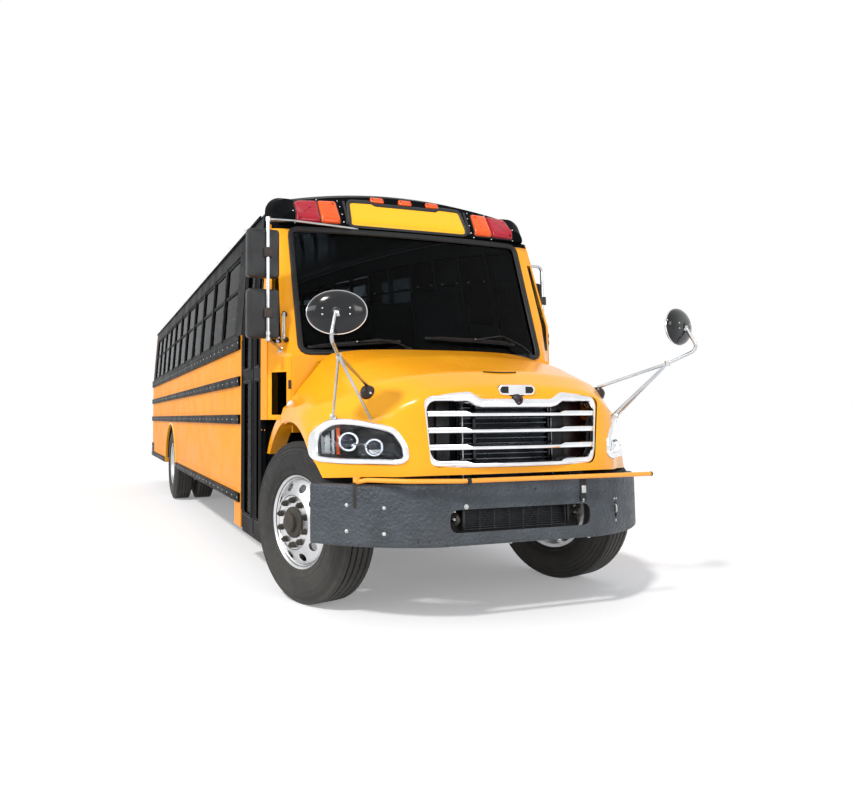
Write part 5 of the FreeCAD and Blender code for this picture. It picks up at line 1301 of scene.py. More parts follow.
class BUS_OT_bumper(bpy.types.Operator):
    """Front bumper with its slot, mesh, tow hooks, bolts and hood strap"""
    bl_idname = "school_bus.bumper"
    bl_label = "Front bumper"

    def execute(self, context):
        self.steel()
        self.slot()
        self.fastenings(context.scene.school_bus_sizes.bolt)
        return {"FINISHED"}

    def steel(self):
        work = Work("bumper_coat")
        half = bumper_plan()
        plan = [(x, -y) for x, y in half[:0:-1]] + half
        section = ((-0.060, BUMPER_HIGH), (-0.020, BUMPER_HIGH), (-0.009, BUMPER_HIGH - 0.003),
                   (-0.002, BUMPER_HIGH - 0.010), (0.0, BUMPER_HIGH - 0.022), (0.0, 0.715), (0.0, 0.645),
                   (0.0, 0.575), (0.0, BUMPER_LOW + 0.022), (-0.002, BUMPER_LOW + 0.010),
                   (-0.009, BUMPER_LOW + 0.003), (-0.020, BUMPER_LOW), (-0.060, BUMPER_LOW))
        rows = []
        for k, (x, y) in enumerate(plan):
            before, after = plan[max(0, k - 1)], plan[min(len(plan) - 1, k + 1)]
            out = Vector((after[1] - before[1], before[0] - after[0], 0)).normalized()
            rows.append([Vector((ahead(x), y, z)) + out * lift for lift, z in section])
        work.grid(rows, "bumper_coat")
        piece = work.done("front_bumper_steel", "bus", "bumper_steel",
                          replaced=("front_bumper", "bumper_ends"))
        thick = piece.modifiers.new("steel", "SOLIDIFY")
        thick.thickness, thick.offset = 0.007, -1.0
        evaluated = piece.evaluated_get(bpy.context.evaluated_depsgraph_get())
        mesh = bpy.data.meshes.new_from_object(evaluated)
        piece.modifiers.clear()
        piece.data = mesh
        gap = rounded([(-0.475, 0.547), (-0.475, 0.677), (0.475, 0.677), (0.475, 0.547)], 0.055, 8)
        hook = rounded([(0.690, 0.575), (0.690, 0.668), (0.712, 0.668), (0.712, 0.575)], 0.008, 3)
        cutters = [cutter(lambda w: w.plate([(ahead(0.85), y, z) for y, z in gap], (0.4, 0, 0),
                                            "bumper_coat")),
                   cutter(lambda w: w.plate([(ahead(0.85), y, z) for y, z in hook], (0.4, 0, 0),
                                            "bumper_coat"))]
        for side in (-1, 1):
            cutters.append(cutter(lambda w: w.rod((ahead(0.9), side * 0.089, 0.775),
                                                  (ahead(1.1), side * 0.089, 0.775),
                                                  0.0045, "bumper_coat", 12)))
        carve(piece, cutters)
        sharpen(piece, 40)

    def slot(self):
        """Cooler mesh between two tow hooks, with brackets from the frame rails behind them."""
        work = Work("black_plastic", "seal_rubber", "chassis_coat", "zinc", "mesh_plastic")
        x = ahead(0.935)
        for k in range(10):
            height = 0.554 + 0.0130 * k
            work.tube([(x, -0.345, height), (x, 0.345, height)], 0, "mesh_plastic", 8, flat=(0.005, 0.0014))
        for k in range(8):
            across = -0.345 + 0.0986 * k
            work.block((x - 0.010, across - 0.0025, 0.545), (x - 0.003, across + 0.0020, 0.680),
                       "mesh_plastic", 0.001)
        for first, last in ((-0.25, -0.15), (-0.13, -0.23), (0.07, 0.17), (0.19, 0.09)):
            work.tube([(x - 0.012, first, 0.548), (x - 0.012, last, 0.676)], 0.0020, "mesh_plastic", 6)
        work.block((x - 0.045, -0.352, 0.538), (x - 0.030, 0.352, 0.690), "seal_rubber", 0.002)
        work.block((x - 0.080, -0.480, 0.486), (x - 0.065, 0.480, 0.700), "seal_rubber", 0.002)
        for side in (-1, 1):
            edge = sorted((side * 0.352, side * 0.366))
            work.block((x - 0.03, edge[0], 0.550), (x + 0.008, edge[1], 0.686), "black_plastic", 0.003)
            y = side * 0.418
            hook = smooth_path([(ahead(0.86), y, 0.600), (ahead(0.955), y, 0.594), (ahead(0.992), y, 0.618),
                                (ahead(0.955), y, 0.648), (ahead(0.925), y, 0.634)], 0.03)
            work.tube(hook, 0.013, "chassis_coat", 12)
            work.block((ahead(0.84), y - 0.030, 0.588), (ahead(0.905), y + 0.030, 0.668), "chassis_coat",
                       0.006)
            for height in (0.606, 0.650):
                work.bolt((ahead(0.905), y + 0.018, height), (1, 0, 0), 0.009, "zinc")
            web = sorted((side * 0.407, side * 0.421))
            work.block((ahead(0.820), web[0], 0.690), (ahead(0.990), web[1], 0.780), "chassis_coat", 0.003)
        work.done("bumper_slot_fill", "bus", "frame_paint")

    def fastenings(self, radius):
        """Round-headed bolts, the strap with its clip, the hook for the arm and the arm's bracket."""
        work = Work("zinc", "seal_rubber", "black_plastic", "chassis_coat")
        places = [(-0.372, 0.692, 1.35), (0.425, 0.700, 1.35)]
        places += [(-1.011, 0.705, 1.0), (-0.833, 0.694, 1.0), (-1.012, 0.558, 1.0), (-0.834, 0.550, 1.0)]
        places += [(0.690, 0.690, 0.6), (0.712, 0.690, 0.6), (0.701, 0.556, 0.6)]
        for across, height, size in places:
            place, out = on_bumper(across, height)
            work.lathe(place, out,
                       [(0, radius * size), (0.002, radius * size), (0.0025, radius * size * 0.8)],
                       "zinc", 20)
            work.dome(place + out * 0.002, out, radius * size * 0.72, "zinc", 0.6, 20)
        for across in (-0.46, -0.07, 0.27, 0.48):
            place, out = on_bumper(across, BUMPER_LOW + 0.001)
            work.bolt(place - out * 0.03, (0, 0, -1), 0.010, "zinc", 0.006)
        for across in (-0.66, -0.60):
            place, out = on_bumper(across, 0.505)
            work.lathe(place, out, [(-0.001, 0.006), (0.0008, 0.006), (0.0009, 0.0001)], "seal_rubber", 12)
        place, out = on_bumper(0.425, 0.80)
        x = place.x
        work.block((x, 0.403, 0.690), (x + 0.007, 0.447, 0.822), "seal_rubber", 0.003)
        work.block((x + 0.006, 0.409, 0.740), (x + 0.014, 0.441, 0.785), "zinc", 0.003)
        place, out = on_bumper(0.701, 0.62)
        work.tube(smooth_path([place - out * 0.01 + Vector((0, 0, 0.035)),
                               place + out * 0.006 + Vector((0, 0, 0.030)),
                               place + out * 0.008 - Vector((0, 0, 0.010)),
                               place - out * 0.01 - Vector((0, 0, 0.015))],
                              0.012), 0.006, "zinc", 10)
        x, y = ahead(0.790), -0.960
        work.block((x - 0.045, y - 0.022, 0.690), (x + 0.010, y + 0.022, 0.826), "chassis_coat", 0.004)
        work.done("bumper_fastenings", "bus", "bumper_steel")


class BUS_OT_crossing_arm(bpy.types.Operator):
    """Yellow crossing arm folded along the front bumper"""
    bl_idname = "school_bus.crossing_arm"
    bl_label = "Crossing arm"

    def execute(self, context):
        work = Work("tube_coat", "seal_rubber", "zinc")
        low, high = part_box("crossing_arm")
        height = (low[2] + high[2]) / 2
        height = 0.845
        x, y = ahead(0.790), -0.960
        path = smooth_path([(x, y, height - 0.010), (x + 0.05, y + 0.045, height + 0.004),
                            (ahead(1.010), -0.740, height + 0.004), (ahead(1.071), -0.44, height),
                            (ahead(1.071), 0.882, height)], 0.07, 8)
        work.tube(path, 0.0135, "tube_coat", 16)
        work.rod((ahead(1.071), 0.872, height), (ahead(1.071), 0.8849, height), 0.0142, "seal_rubber", 16)
        work.rod((ahead(1.071), -0.405, height), (ahead(1.071), -0.380, height), 0.0175, "seal_rubber", 16)
        work.rod((x, y, height - 0.012), (x, y, height + 0.019), 0.022, "tube_coat", 24)
        work.bolt((x, y, height + 0.016), (0, 0, 1), 0.010, "zinc", 0.0035)
        work.done("crossing_arm_tube", "crossing_arm", "yellow_tube", replaced=("crossing_arm",))
        return {"FINISHED"}


# ------------------------------------------------------------------ wheels

class BUS_OT_wheels(bpy.types.Operator):
    """Ribbed tyres and polished wheels with hand holes, lug nuts and hubs"""
    bl_idname = "school_bus.wheels"
    bl_label = "Wheels"

    def execute(self, context):
        sizes = context.scene.school_bus_sizes
        spins = {joint["name"]: joint for joint in frame["record"]["behaviour"]["joints"]}
        for name, side in (("front_right", -1), ("front_left", 1)):
            joint = spins[f"{name}_spin"]
            centre, out = Vector(joint["pos_m"]), Vector(joint["axis"]) * side
            body = f"{name}_wheel"
            self.tyres([centre], out, body, f"{name}_tyre", sizes.tread)
            self.rims([(centre, out, True)], body, f"{name}_rim", sizes.lug)
        for name, side in (("rear_right", -1), ("rear_left", 1)):
            out = Vector((0, side, 0))
            inner, outer = (Vector((REAR_AXLE, side * across, HUB)) for across in (0.732, 1.052))
            body = f"{name}_wheels"
            self.tyres([inner, outer], out, body, f"{name}_tyres", sizes.tread)
            self.rims([(inner, out, True), (outer, out, False)], body, f"{name}_rims", sizes.lug)
        return {"FINISHED"}

    def tyre_profile(self, tread):
        """Half of a tyre's section from the bead to the middle of the tread: (along, radius)."""
        points = [(0.1035, 0.289), (0.1075, 0.2935)]
        rings = ((0.318, 0.0020), (0.346, 0.0012), (0.356, 0.0012), (0.440, 0.0014), (0.462, 0.0014),
                 (0.487, 0.0022))
        radius = 0.298
        while radius < 0.506:
            points.append((0.1395 - 2.7 * (radius - 0.395) ** 2, radius))
            radius += 0.0115
        for middle, rise in rings:
            wide = 0.1395 - 2.7 * (middle - 0.395) ** 2
            points += [(wide, middle - 0.0030), (wide + rise, middle - 0.0016),
                       (wide + rise, middle + 0.0016), (wide, middle + 0.0030)]
        points.sort(key=lambda point: point[1])
        points = [point for k, point in enumerate(points) if k == 0 or point[1] - points[k - 1][1] > 0.0012]
        points += [(0.1090, 0.5150), (0.1065, 0.5205), (0.1020, 0.5243)]
        for groove in (0.066, 0.022):
            points += [(groove + 0.0070, TYRE), (groove + 0.0055, TYRE - 0.003),
                       (groove + 0.0040, TYRE - tread),
                       (groove - 0.0040, TYRE - tread), (groove - 0.0055, TYRE - 0.003),
                       (groove - 0.0070, TYRE)]
        return points

    def tyres(self, centres, out, body, node, tread):
        half = self.tyre_profile(tread)
        profile = half + [(-a, r) for a, r in reversed(half)] + [(-0.1035, 0.289 - 0.004),
                                                                 (0.1035, 0.289 - 0.004)]
        work = Work("tyre_rubber")
        up = Vector((0, 0, 1))
        for centre in centres:
            around = out.cross(up).normalized()
            rows = []
            steps = 150
            for k in range(steps):
                angle = 2 * math.pi * k / steps
                way = up * math.cos(angle) + around * math.sin(angle)
                row = []
                for a, r in profile:
                    nick = 0.0022 if k % 2 and r > TYRE - 0.004 else 0.0
                    row.append(centre + out * (a + math.copysign(nick, a)) + way * min(r, TYRE))
                rows.append(row)
            work.grid(rows, "tyre_rubber", around=True, along=True)
            for angle in (0.6, 2.4, 4.4):
                way = up * math.cos(angle) + around * math.sin(angle)
                work.rod(centre + out * 0.128 + way * 0.335, centre + out * 0.1335 + way * 0.337, 0.004,
                         "tyre_rubber", 8)
        work.done(f"{node}_ribbed", body, "tyre_rubber", replaced=(node,), angle=50)

    def rims(self, wheels, body, node, lug):
        """Wheels as (centre, outward axis, whether the disc bulges outwards)."""
        work = Work("polished_aluminium", "cast_iron", "black_plastic", "chrome", "zinc")
        steel = Work("polished_aluminium")
        for centre, out, bulged in wheels:
            self.disc(steel, centre, out, bulged)
            face = 0.1500 if bulged else -0.1435
            up = Vector((0, 0, 1))
            around = out.cross(up).normalized()
            if centre is wheels[-1][0]:
                for k in range(10):
                    angle = math.radians(36 * k)
                    place = centre + out * face + (up * math.cos(angle) + around * math.sin(angle)) * 0.143
                    work.lathe(place, out, [(0, lug * 1.12), (0.004, lug * 1.12), (0.006, lug * 0.98)],
                               "cast_iron", 20)
                    work.lathe(place + out * 0.004, out, [(0, lug), (0.022, lug), (0.026, lug * 0.84)],
                               "cast_iron", 6)
                    work.rod(place + out * 0.02, place + out * 0.038, lug * 0.52, "cast_iron", 12)
                self.hub(work, centre, out, bulged, face)
        piece = steel.done(f"{node}_disc", body, "polished_rim", replaced=(node,), angle=35)
        cutters = []
        for centre, out, bulged in wheels:
            up = Vector((0, 0, 1))
            around = out.cross(up).normalized()
            sign = 1 if bulged else -1

            def holes(w, centre=centre, out=out, sign=sign, up=up, around=around):
                for k in range(10):
                    angle = math.radians(36 * k + 18)
                    radial = up * math.cos(angle) + around * math.sin(angle)
                    middle = centre + radial * 0.229
                    side = radial.cross(out)
                    ring = [middle + radial * 0.026 * math.cos(t) + side * 0.031 * math.sin(t)
                            for t in [2 * math.pi * j / 20 for j in range(20)]]
                    w.plate([p + out * sign * 0.05 for p in ring], out * sign * 0.12, "polished_aluminium")

            cutters.append(cutter(holes))
        carve(piece, cutters)
        sharpen(piece, 35)
        work.done(f"{node}_nuts", body, "engine_iron", angle=35)

    def disc(self, work, centre, out, bulged):
        """Barrel, flanges and dished disc as one closed turned section."""
        barrel = [(-0.115, 0.276), (-0.115, 0.304), (-0.111, 0.3055), (-0.106, 0.303), (-0.104, 0.290),
                  (-0.080, 0.287), (0.080, 0.287), (0.104, 0.290), (0.106, 0.303), (0.111, 0.3055),
                  (0.1155, 0.304), (0.1165, 0.300), (0.112, 0.294), (0.104, 0.288), (0.096, 0.2835)]
        if bulged:
            face = [(0.093, 0.2790), (0.0965, 0.2745), (0.104, 0.2660), (0.116, 0.2480), (0.130, 0.2240),
                    (0.143, 0.2020), (0.1535, 0.1880), (0.1590, 0.1820), (0.1595, 0.1780), (0.1560, 0.1735),
                    (0.1510, 0.1715), (0.1500, 0.1680), (0.1500, 0.040), (0.1380, 0.040), (0.1380, 0.176),
                    (0.120, 0.205), (0.096, 0.250), (0.076, 0.270), (0.060, 0.2755)]
        else:
            face = [(0.080, 0.277), (-0.070, 0.275), (-0.090, 0.270), (-0.104, 0.255), (-0.118, 0.230),
                    (-0.134, 0.200), (-0.1415, 0.182), (-0.1435, 0.174), (-0.1435, 0.040), (-0.1555, 0.040),
                    (-0.1555, 0.186), (-0.142, 0.215), (-0.118, 0.255), (-0.100, 0.272)]
        work.lathe(centre, out, barrel + face, "polished_aluminium", 96, closed=True, start=(0, 0, 1))

    def hub(self, work, centre, out, bulged, face):
        if bulged:
            rings = [(0, 0.100), (0.008, 0.100), (0.014, 0.094), (0.016, 0.082), (0.020, 0.062),
                     (0.040, 0.060),
                     (0.046, 0.054), (0.048, 0.040)]
            work.lathe(centre + out * face, out, rings, "cast_iron", 40)
            cap = [(0.0, 0.036), (0.008, 0.034), (0.010, 0.028), (0.006, 0.024), (0.006, 0.012),
                   (0.010, 0.010),
                   (0.011, 0.0001)]
            work.lathe(centre + out * (face + 0.037), out, cap, "black_plastic", 32)
            work.lathe(centre + out * (face + 0.045), out, [(0, 0.026), (0.002, 0.025), (0.002, 0.022)],
                       "chrome", 32)
            return
        rings = [(0, 0.096), (0.140, 0.096), (0.144, 0.110), (0.160, 0.110), (0.164, 0.104), (0.166, 0.070),
                 (0.180, 0.064), (0.1935, 0.060), (0.2040, 0.050)]
        work.lathe(centre + out * face, out, rings, "cast_iron", 40)
        up = Vector((0, 0, 1))
        around = out.cross(up).normalized()
        for k in range(8):
            angle = math.radians(45 * k)
            place = centre + out * (face + 0.160) + (up * math.cos(angle) + around * math.sin(angle)) * 0.092
            work.bolt(place, out, 0.011, "zinc")


# ------------------------------------------------------------------ windshield and cap

SHIELD = ((1.640, -0.095, -0.250), (2.680, -0.515, -0.575))   # height, middle and side ahead of the axle
SHIELD_SIDE = 1.060
SHIELD_EDGE = ((-1.000, 1.660), (1.000, 1.660), (0.995, 2.652), (-0.995, 2.652))


def shield_at(across, height, lift=0.0):
    """The windshield's outer surface, moved out along its slope."""
    (low, middle, side), (high, middle_up, side_up) = SHIELD
    t = (height - low) / (high - low)
    centre = middle + (middle_up - middle) * t
    bulge = centre - (side + (side_up - side) * t)
    radius = (SHIELD_SIDE ** 2 + bulge ** 2) / (2 * bulge)
    slope = (middle_up - middle) / (high - low)
    out = Vector((1.0, across / radius, -slope)).normalized()
    return Vector((ahead(centre - radius + math.sqrt(radius ** 2 - across ** 2)), across,
                   height)) + out * lift


class BUS_OT_windshield(bpy.types.Operator):
    """Windshield and quarter glass, rubber surround and wipers"""
    bl_idname = "school_bus.windshield"
    bl_label = "Windshield"

    def execute(self, context):
        work = Work("shield_glass", "dark_glass")
        work.node("front_glass",
                  rule=lambda middle, normal: "shield_glass" if abs(middle.y) < 1.04 else "dark_glass")
        work.done("windshield_glass", "bus", "tinted_glass", replaced=("front_glass",), angle=20)
        self.surround(context.scene.school_bus_sizes.gasket)
        for pivot, elbow, first, last in (((0.880, 1.682), (0.610, 1.812), (-0.061, 1.782), (0.740, 1.758)),
                                          ((-0.205, 1.688), (-0.430, 1.752), (-0.939, 1.700),
                                           (-0.262, 1.752))):
            self.wiper(pivot, elbow, first, last)
        return {"FINISHED"}

    def surround(self, wide):
        work = Work("seal_rubber")
        edge = rounded(SHIELD_EDGE, 0.075, 8)
        edge = [(p.y, p.z) for p in even_ring([Vector((0, y, z)) for y, z in edge], 200)]
        rows = []
        for out, lift in ((0.012, -0.002), (0.011, 0.009), (0.004, 0.014), (-0.006, 0.013), (-0.012, 0.008),
                          (-wide * 0.8, 0.006), (-wide, -0.004)):
            rows.append([shield_at(y, z, lift) for y, z in grown(edge, out)])
        work.grid(rows, "seal_rubber", around=True)
        work.done("windshield_surround", "bus", "black_paint")

    def wiper(self, pivot, elbow, first, last):
        """A sprung arm and a blade with its bows, lying on the glass."""
        work = Work("black_plastic", "seal_rubber", "zinc")
        base = shield_at(pivot[0], pivot[1], 0.012)
        out = (shield_at(*pivot, 1.0) - shield_at(*pivot, 0.0)).normalized()
        work.lathe(base - out * 0.03, out, [(0, 0.020), (0.035, 0.020), (0.042, 0.014), (0.044, 0.0001)],
                   "black_plastic", 20)
        knee = shield_at(*elbow, 0.038)
        inner = base.lerp(knee, 0.35) + out * 0.030
        middle = shield_at((first[0] + last[0]) / 2, (first[1] + last[1]) / 2, 0.034)
        arm = smooth_path([base + out * 0.014, inner, knee, middle], 0.10, 6)
        work.tube(arm, 0, "black_plastic", 10, flat=(0.010, 0.005))
        points = []
        for k in range(25):
            t = k / 24
            across, height = (a + (b - a) * t for a, b in zip(first, last))
            points.append(shield_at(across, height, 0.012))
        work.tube(points, 0, "seal_rubber", 8, flat=(0.0045, 0.010))
        work.tube([p + out * 0.010 for p in points[1:-1]], 0, "black_plastic", 8, flat=(0.006, 0.0035))
        count = len(points) - 1
        for a, b in ((1, 6), (18, 23)):
            bow = [points[a] + out * 0.012, points[(a + b) // 2] + out * 0.030, points[b] + out * 0.012]
            work.tube(smooth_path(bow, 0.08), 0, "black_plastic", 8, flat=(0.006, 0.003))
        bow = [points[3] + out * 0.026, points[count // 2] + out * 0.036, points[count - 3] + out * 0.026]
        work.tube(smooth_path(bow, 0.5), 0, "black_plastic", 8, flat=(0.007, 0.004))
        work.bolt(points[count // 2] + out * 0.038, out, 0.005, "zinc")
        work.done(f"wiper_{'left' if pivot[0] > 0 else 'right'}", "bus", "black_paint")


def set_down(name, across, height, lift=0.0):
    """A point of a CAD node's surface looked at from the front, and the way it faces."""
    tree = surface(name, lambda work: work.node(name, "black_enamel"))
    height = max(height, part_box(name)[0][2] + 0.001)
    hit, normal, _, _ = tree.ray_cast(Vector((ahead(3.0), across, height)), Vector((-1, 0, 0)))
    if hit is None:
        raise ValueError(f"{name} isn't met at {across}, {height}")
    normal = normal if normal.x > 0 else -normal
    return hit + normal * lift, normal


class BUS_OT_front_cap(bpy.types.Operator):
    """Cap over the windshield: warning lamps, blank sign and clearance lamps"""
    bl_idname = "school_bus.front_cap"
    bl_label = "Front cap"

    def execute(self, context):
        work = Work("black_enamel")
        work.node("front_cap", "black_enamel")
        work.done("cap_shell", "bus", "black_paint", replaced=("front_cap",), angle=28, merge=0.0001)
        work = Work("black_enamel", "red_lens", "amber_lens", "black_plastic", "zinc", "sign_sheet",
                    "amber_reflector")
        for side in (-1, 1):
            self.lamp(work, [(side * y, z) for y, z in ((0.945, 2.694), (0.757, 2.698), (0.757, 2.890),
                                                        (0.902, 2.882),
                                                        (0.940, 2.862))], "red_lens")
            self.lamp(work, [(side * y, z)
                             for y, z in ((0.745, 2.698), (0.590, 2.702), (0.604, 2.896), (0.745, 2.892))],
                      "amber_lens")
            for across, height in ((0.965, 2.78), (0.940, 2.900), (0.750, 2.912), (0.580, 2.915),
                                   (0.568, 2.86),
                                   (0.562, 2.79), (0.560, 2.72), (0.585, 2.684), (0.750, 2.682),
                                   (0.955, 2.684)):
                place, out = set_down("front_cap", side * across, height)
                work.dome(place, out, 0.0065, "zinc", 0.6, 12)
        self.sign(work)
        for across in (-0.245, 0.0, 0.245):
            self.marker(work, across)
        work.done("cap_lamps", "bus", "red_lens", angle=40)
        return {"FINISHED"}

    def lamp(self, work, corners, finish):
        """A lens that stands proud of a flat black bezel."""
        outline = rounded(corners, 0.014, 4)
        outline = [(p.y, p.z) for p in even_ring([Vector((0, y, z)) for y, z in outline], 60)]
        area = sum(a[0] * b[1] - b[0] * a[1] for a, b in zip(outline, outline[1:] + outline[:1]))
        rows = []
        for out, lift in ((0.008, -0.006), (0.008, 0.004), (0.002, 0.006), (0.001, 0.002)):
            rows.append([set_down("front_cap", y, z, lift)[0] for y, z in grown(outline, out)])
        work.grid(rows, "black_plastic", around=True, flip=area < 0)
        rows = []
        for out, lift in ((0.001, 0.0), (0.000, 0.012), (-0.006, 0.019), (-0.020, 0.022), (-0.045, 0.022)):
            rows.append([set_down("front_cap", y, z, lift)[0] for y, z in grown(outline, out)])
        middle = [sum(point[k] for point in outline) / len(outline) for k in range(2)]
        for share in (0.6, 0.35, 0.12):
            ring = [[m + (c - m) * share for m, c in zip(middle, point)] for point in grown(outline, -0.045)]
            rows.append([set_down("front_cap", y, z, 0.022)[0] for y, z in ring])
        made = work.grid(rows, finish, around=True, flip=area < 0)
        work.fan(made[-1], finish, flip=area > 0)

    def sign(self, work):
        """A blank yellow sheet in a black frame whose top edge dips over its middle third."""
        half = [(0.500, 2.702), (0.482, 2.900), (0.300, 2.905), (0.268, 2.884)]
        corners = half + [(-y, z) for y, z in reversed(half)]
        outline = rounded(corners, 0.020, 4)
        outline = [(p.y, p.z) for p in even_ring([Vector((0, y, z)) for y, z in outline], 120)]
        rows = []
        for out, lift in ((0.030, -0.004), (0.030, 0.010), (0.024, 0.014), (0.008, 0.014), (0.002, 0.010),
                          (0.0, 0.004)):
            rows.append([set_down("front_cap", y, z, lift)[0] for y, z in grown(outline, out)])
        area = sum(a[0] * b[1] - b[0] * a[1] for a, b in zip(outline, outline[1:] + outline[:1]))
        work.grid(rows, "black_plastic", around=True, flip=area < 0)
        sheet = []
        for k in range(41):
            across = -0.499 + 0.998 * k / 40
            top = 2.904 - 0.020 * min(1.0, max(0.0, (0.300 - abs(across)) / 0.032))
            column = []
            for j in range(9):
                height = 2.702 + (top - 2.702) * j / 8
                limit = 0.500 - 0.018 * (height - 2.702) / 0.198
                y = max(-limit, min(limit, across))
                column.append(set_down("front_cap", y, height, 0.005)[0])
            sheet.append(column)
        work.grid(sheet, "sign_sheet")
        for side in (-1, 1):
            across = side * 0.535
            bar = [set_down("front_cap", across, z, 0.010)[0] for z in (2.700, 2.75, 2.80, 2.85, 2.905)]
            work.tube(bar, 0, "black_plastic", 8, flat=(0.010, 0.008))

    def marker(self, work, across):
        """An amber clearance lamp on the brow of the cap."""
        rows = []
        for out, lift in ((0.0, -0.004), (0.0, 0.016), (-0.006, 0.022), (-0.018, 0.024)):
            ring = grown(rounded([(across - 0.058, 2.918), (across + 0.058, 2.918), (across + 0.054, 2.962),
                                  (across - 0.054, 2.962)], 0.010, 3), out)
            rows.append([set_down("front_cap", y, z, lift)[0] for y, z in ring])
        made = work.grid(rows, "amber_lens", around=True)
        work.fan(made[-1], "amber_lens", flip=True)


# ------------------------------------------------------------------ body sides, windows and roof

WINDOW_BAR = 2.342        # middle of the bar between a window's two sashes
# Painted shadow: the black above this height stands for the shade under the front cap.
CAP_SHADOW = 2.640        # above this the corner posts are black, under the front cap


class BUS_OT_body_sides(bpy.types.Operator):
    """Side sheets with their rivets, rails and bolts, and the cowl"""
    bl_idname = "school_bus.body_sides"
    bl_label = "Body sides"

    def execute(self, context):
        rivet = context.scene.school_bus_sizes.rivet
        for side, name in ((-1, "right_side"), (1, "left_side")):
            # The side sheets take the side enamel, painted a darker orange as shade.
            work = Work("panel_enamel", "black_enamel", "lining")

            def finish(middle, normal):
                outer = wall_at(middle.z, WALL * 0.5)
                if abs(middle.y) < outer and abs(normal.y) > 0.5:
                    return "lining"
                band = middle.z > SILL - 0.01 and middle.x < ahead(-0.56)
                return "black_enamel" if band else "panel_enamel"

            work.node(name, rule=finish)
            work.done(f"{name}_sheet", "bus", "yellow_paint", replaced=(name,))
            self.rivets(side, rivet)
        self.rails()
        self.cowl()
        return {"FINISHED"}

    def rivets(self, side, radius):
        # The rivets take the side enamel too, painted a darker orange as shade.
        work = Work("panel_enamel", "black_enamel")
        door = (ahead(-1.36), ahead(-0.56))
        arch = (REAR_AXLE, 0.440, 0.735)
        for height in (0.530, 0.640, 1.115, 1.270, 1.435, 1.600, 1.750):
            x = REAR + 0.10
            while x < ahead(-0.50):
                x += 0.090
                if side < 0 and door[0] < x < door[1]:
                    continue
                if height < 1.19 and x > ahead(-0.42):
                    continue
                if math.hypot(x - arch[0], height - arch[1]) < arch[2]:
                    continue
                work.dome((x, side * HALF, height), (0, side, 0), radius, "panel_enamel", 0.5, 8)
        for bay in range(BAYS + 1):
            x = BAY_START - bay * BAY + (BAY - OPEN) / 2
            for k in range(9):
                height = 1.93 + k * 0.104
                for offset in (-0.017, 0.017):
                    if side < 0 and door[0] < x + offset < door[1]:
                        continue
                    work.dome((x + offset, side * wall_at(height, -0.0005), height), (0, side, 0.1),
                              radius * 0.8,
                              "black_enamel", 0.5, 6)
            for k in range(8):
                height = 0.60 + k * 0.155
                if math.hypot(x - arch[0], height - arch[1]) < arch[2] or height > 1.76:
                    continue
                if side < 0 and door[0] < x < door[1]:
                    continue
                work.dome((x, side * HALF, height), (0, side, 0), radius, "panel_enamel", 0.5, 8)
        work.done(f"rivets_{'left' if side > 0 else 'right'}", "bus", "yellow_paint")

    def rails(self):
        """Ribbed rub rails: each CAD rail's box with two pressed beads along it and bolts."""
        work = Work("black_enamel", "zinc")
        work.node("side_rails", "black_enamel")
        rail_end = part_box("side_rails")[1][0]
        for side in (-1, 1):
            for low, high in ((0.503, 0.576), (1.152, 1.231), (1.474, 1.555), (1.784, 1.901)):
                spans = [(REAR + 0.02, ahead(-0.42))]
                if side < 0:
                    spans = [(REAR + 0.02, ahead(-1.352))]
                if low < 1.0:
                    arch = math.sqrt(0.671 ** 2 - (0.54 - 0.44) ** 2) + 0.05
                    spans = [(REAR + 0.02, REAR_AXLE - arch), (REAR_AXLE + arch, ahead(-1.352))]
                wall = sorted((side * (HALF - 0.004), side * (HALF + 0.0185)))
                work.block((rail_end - 0.004, wall[0], low), (spans[-1][1], wall[1], high), "black_enamel",
                           0.003)
                for first, last in spans:
                    for share in (0.26, 0.74):
                        height = low + (high - low) * share
                        path = [(first, side * (HALF + 0.0185), height),
                                (last, side * (HALF + 0.0185), height)]
                        work.tube(path, 0, "black_enamel", 8, flat=(0.0032, (high - low) * 0.13))
                    count = int((last - first) / 0.237)
                    for k in range(count + 1):
                        x = first + 0.04 + (last - first - 0.08) * k / max(1, count)
                        work.dome((x, side * (HALF + 0.019), (low + high) / 2), (0, side, 0), 0.0075, "zinc",
                                  0.45, 10)
        work.done("ribbed_rails", "bus", "black_paint", replaced=("side_rails",))

    def cowl(self):
        """Firewall and windshield frame: yellow outside, lined inside, and painted shadow in black above the
        glass, under the cap.
        """
        work = Work("yellow_enamel", "black_enamel", "lining", "black_plastic")

        def finish(middle, normal):
            # Painted shadow: outward faces above CAP_SHADOW take the black trim enamel for the shade under
            # the cap.
            if middle.z > CAP_SHADOW and normal.x > -0.2:
                return "black_enamel"
            if normal.x < -0.5 or (middle.x < ahead(-0.24) and middle.z < 1.6 and abs(middle.y) < 1.0):
                return "lining"
            return "yellow_enamel"

        work.node("cowl", "yellow_enamel")
        everything = work.mesh.verts[:] + work.mesh.edges[:] + work.mesh.faces[:]
        bmesh.ops.bisect_plane(work.mesh, geom=everything, plane_co=(0, 0, CAP_SHADOW), plane_no=(0, 0, 1))
        for face in work.mesh.faces:
            face.normal_update()
            work.mark([face], finish(face.calc_center_median(), face.normal))
        for side in (-1, 1):
            work.block((ahead(-0.232), side * 1.078 - 0.010, 1.405),
                       (ahead(-0.222), side * 1.078 + 0.010, 1.470),
                       "black_plastic", 0.004)
        work.done("cowl_sheet", "bus", "yellow_paint", replaced=("cowl",), angle=25)


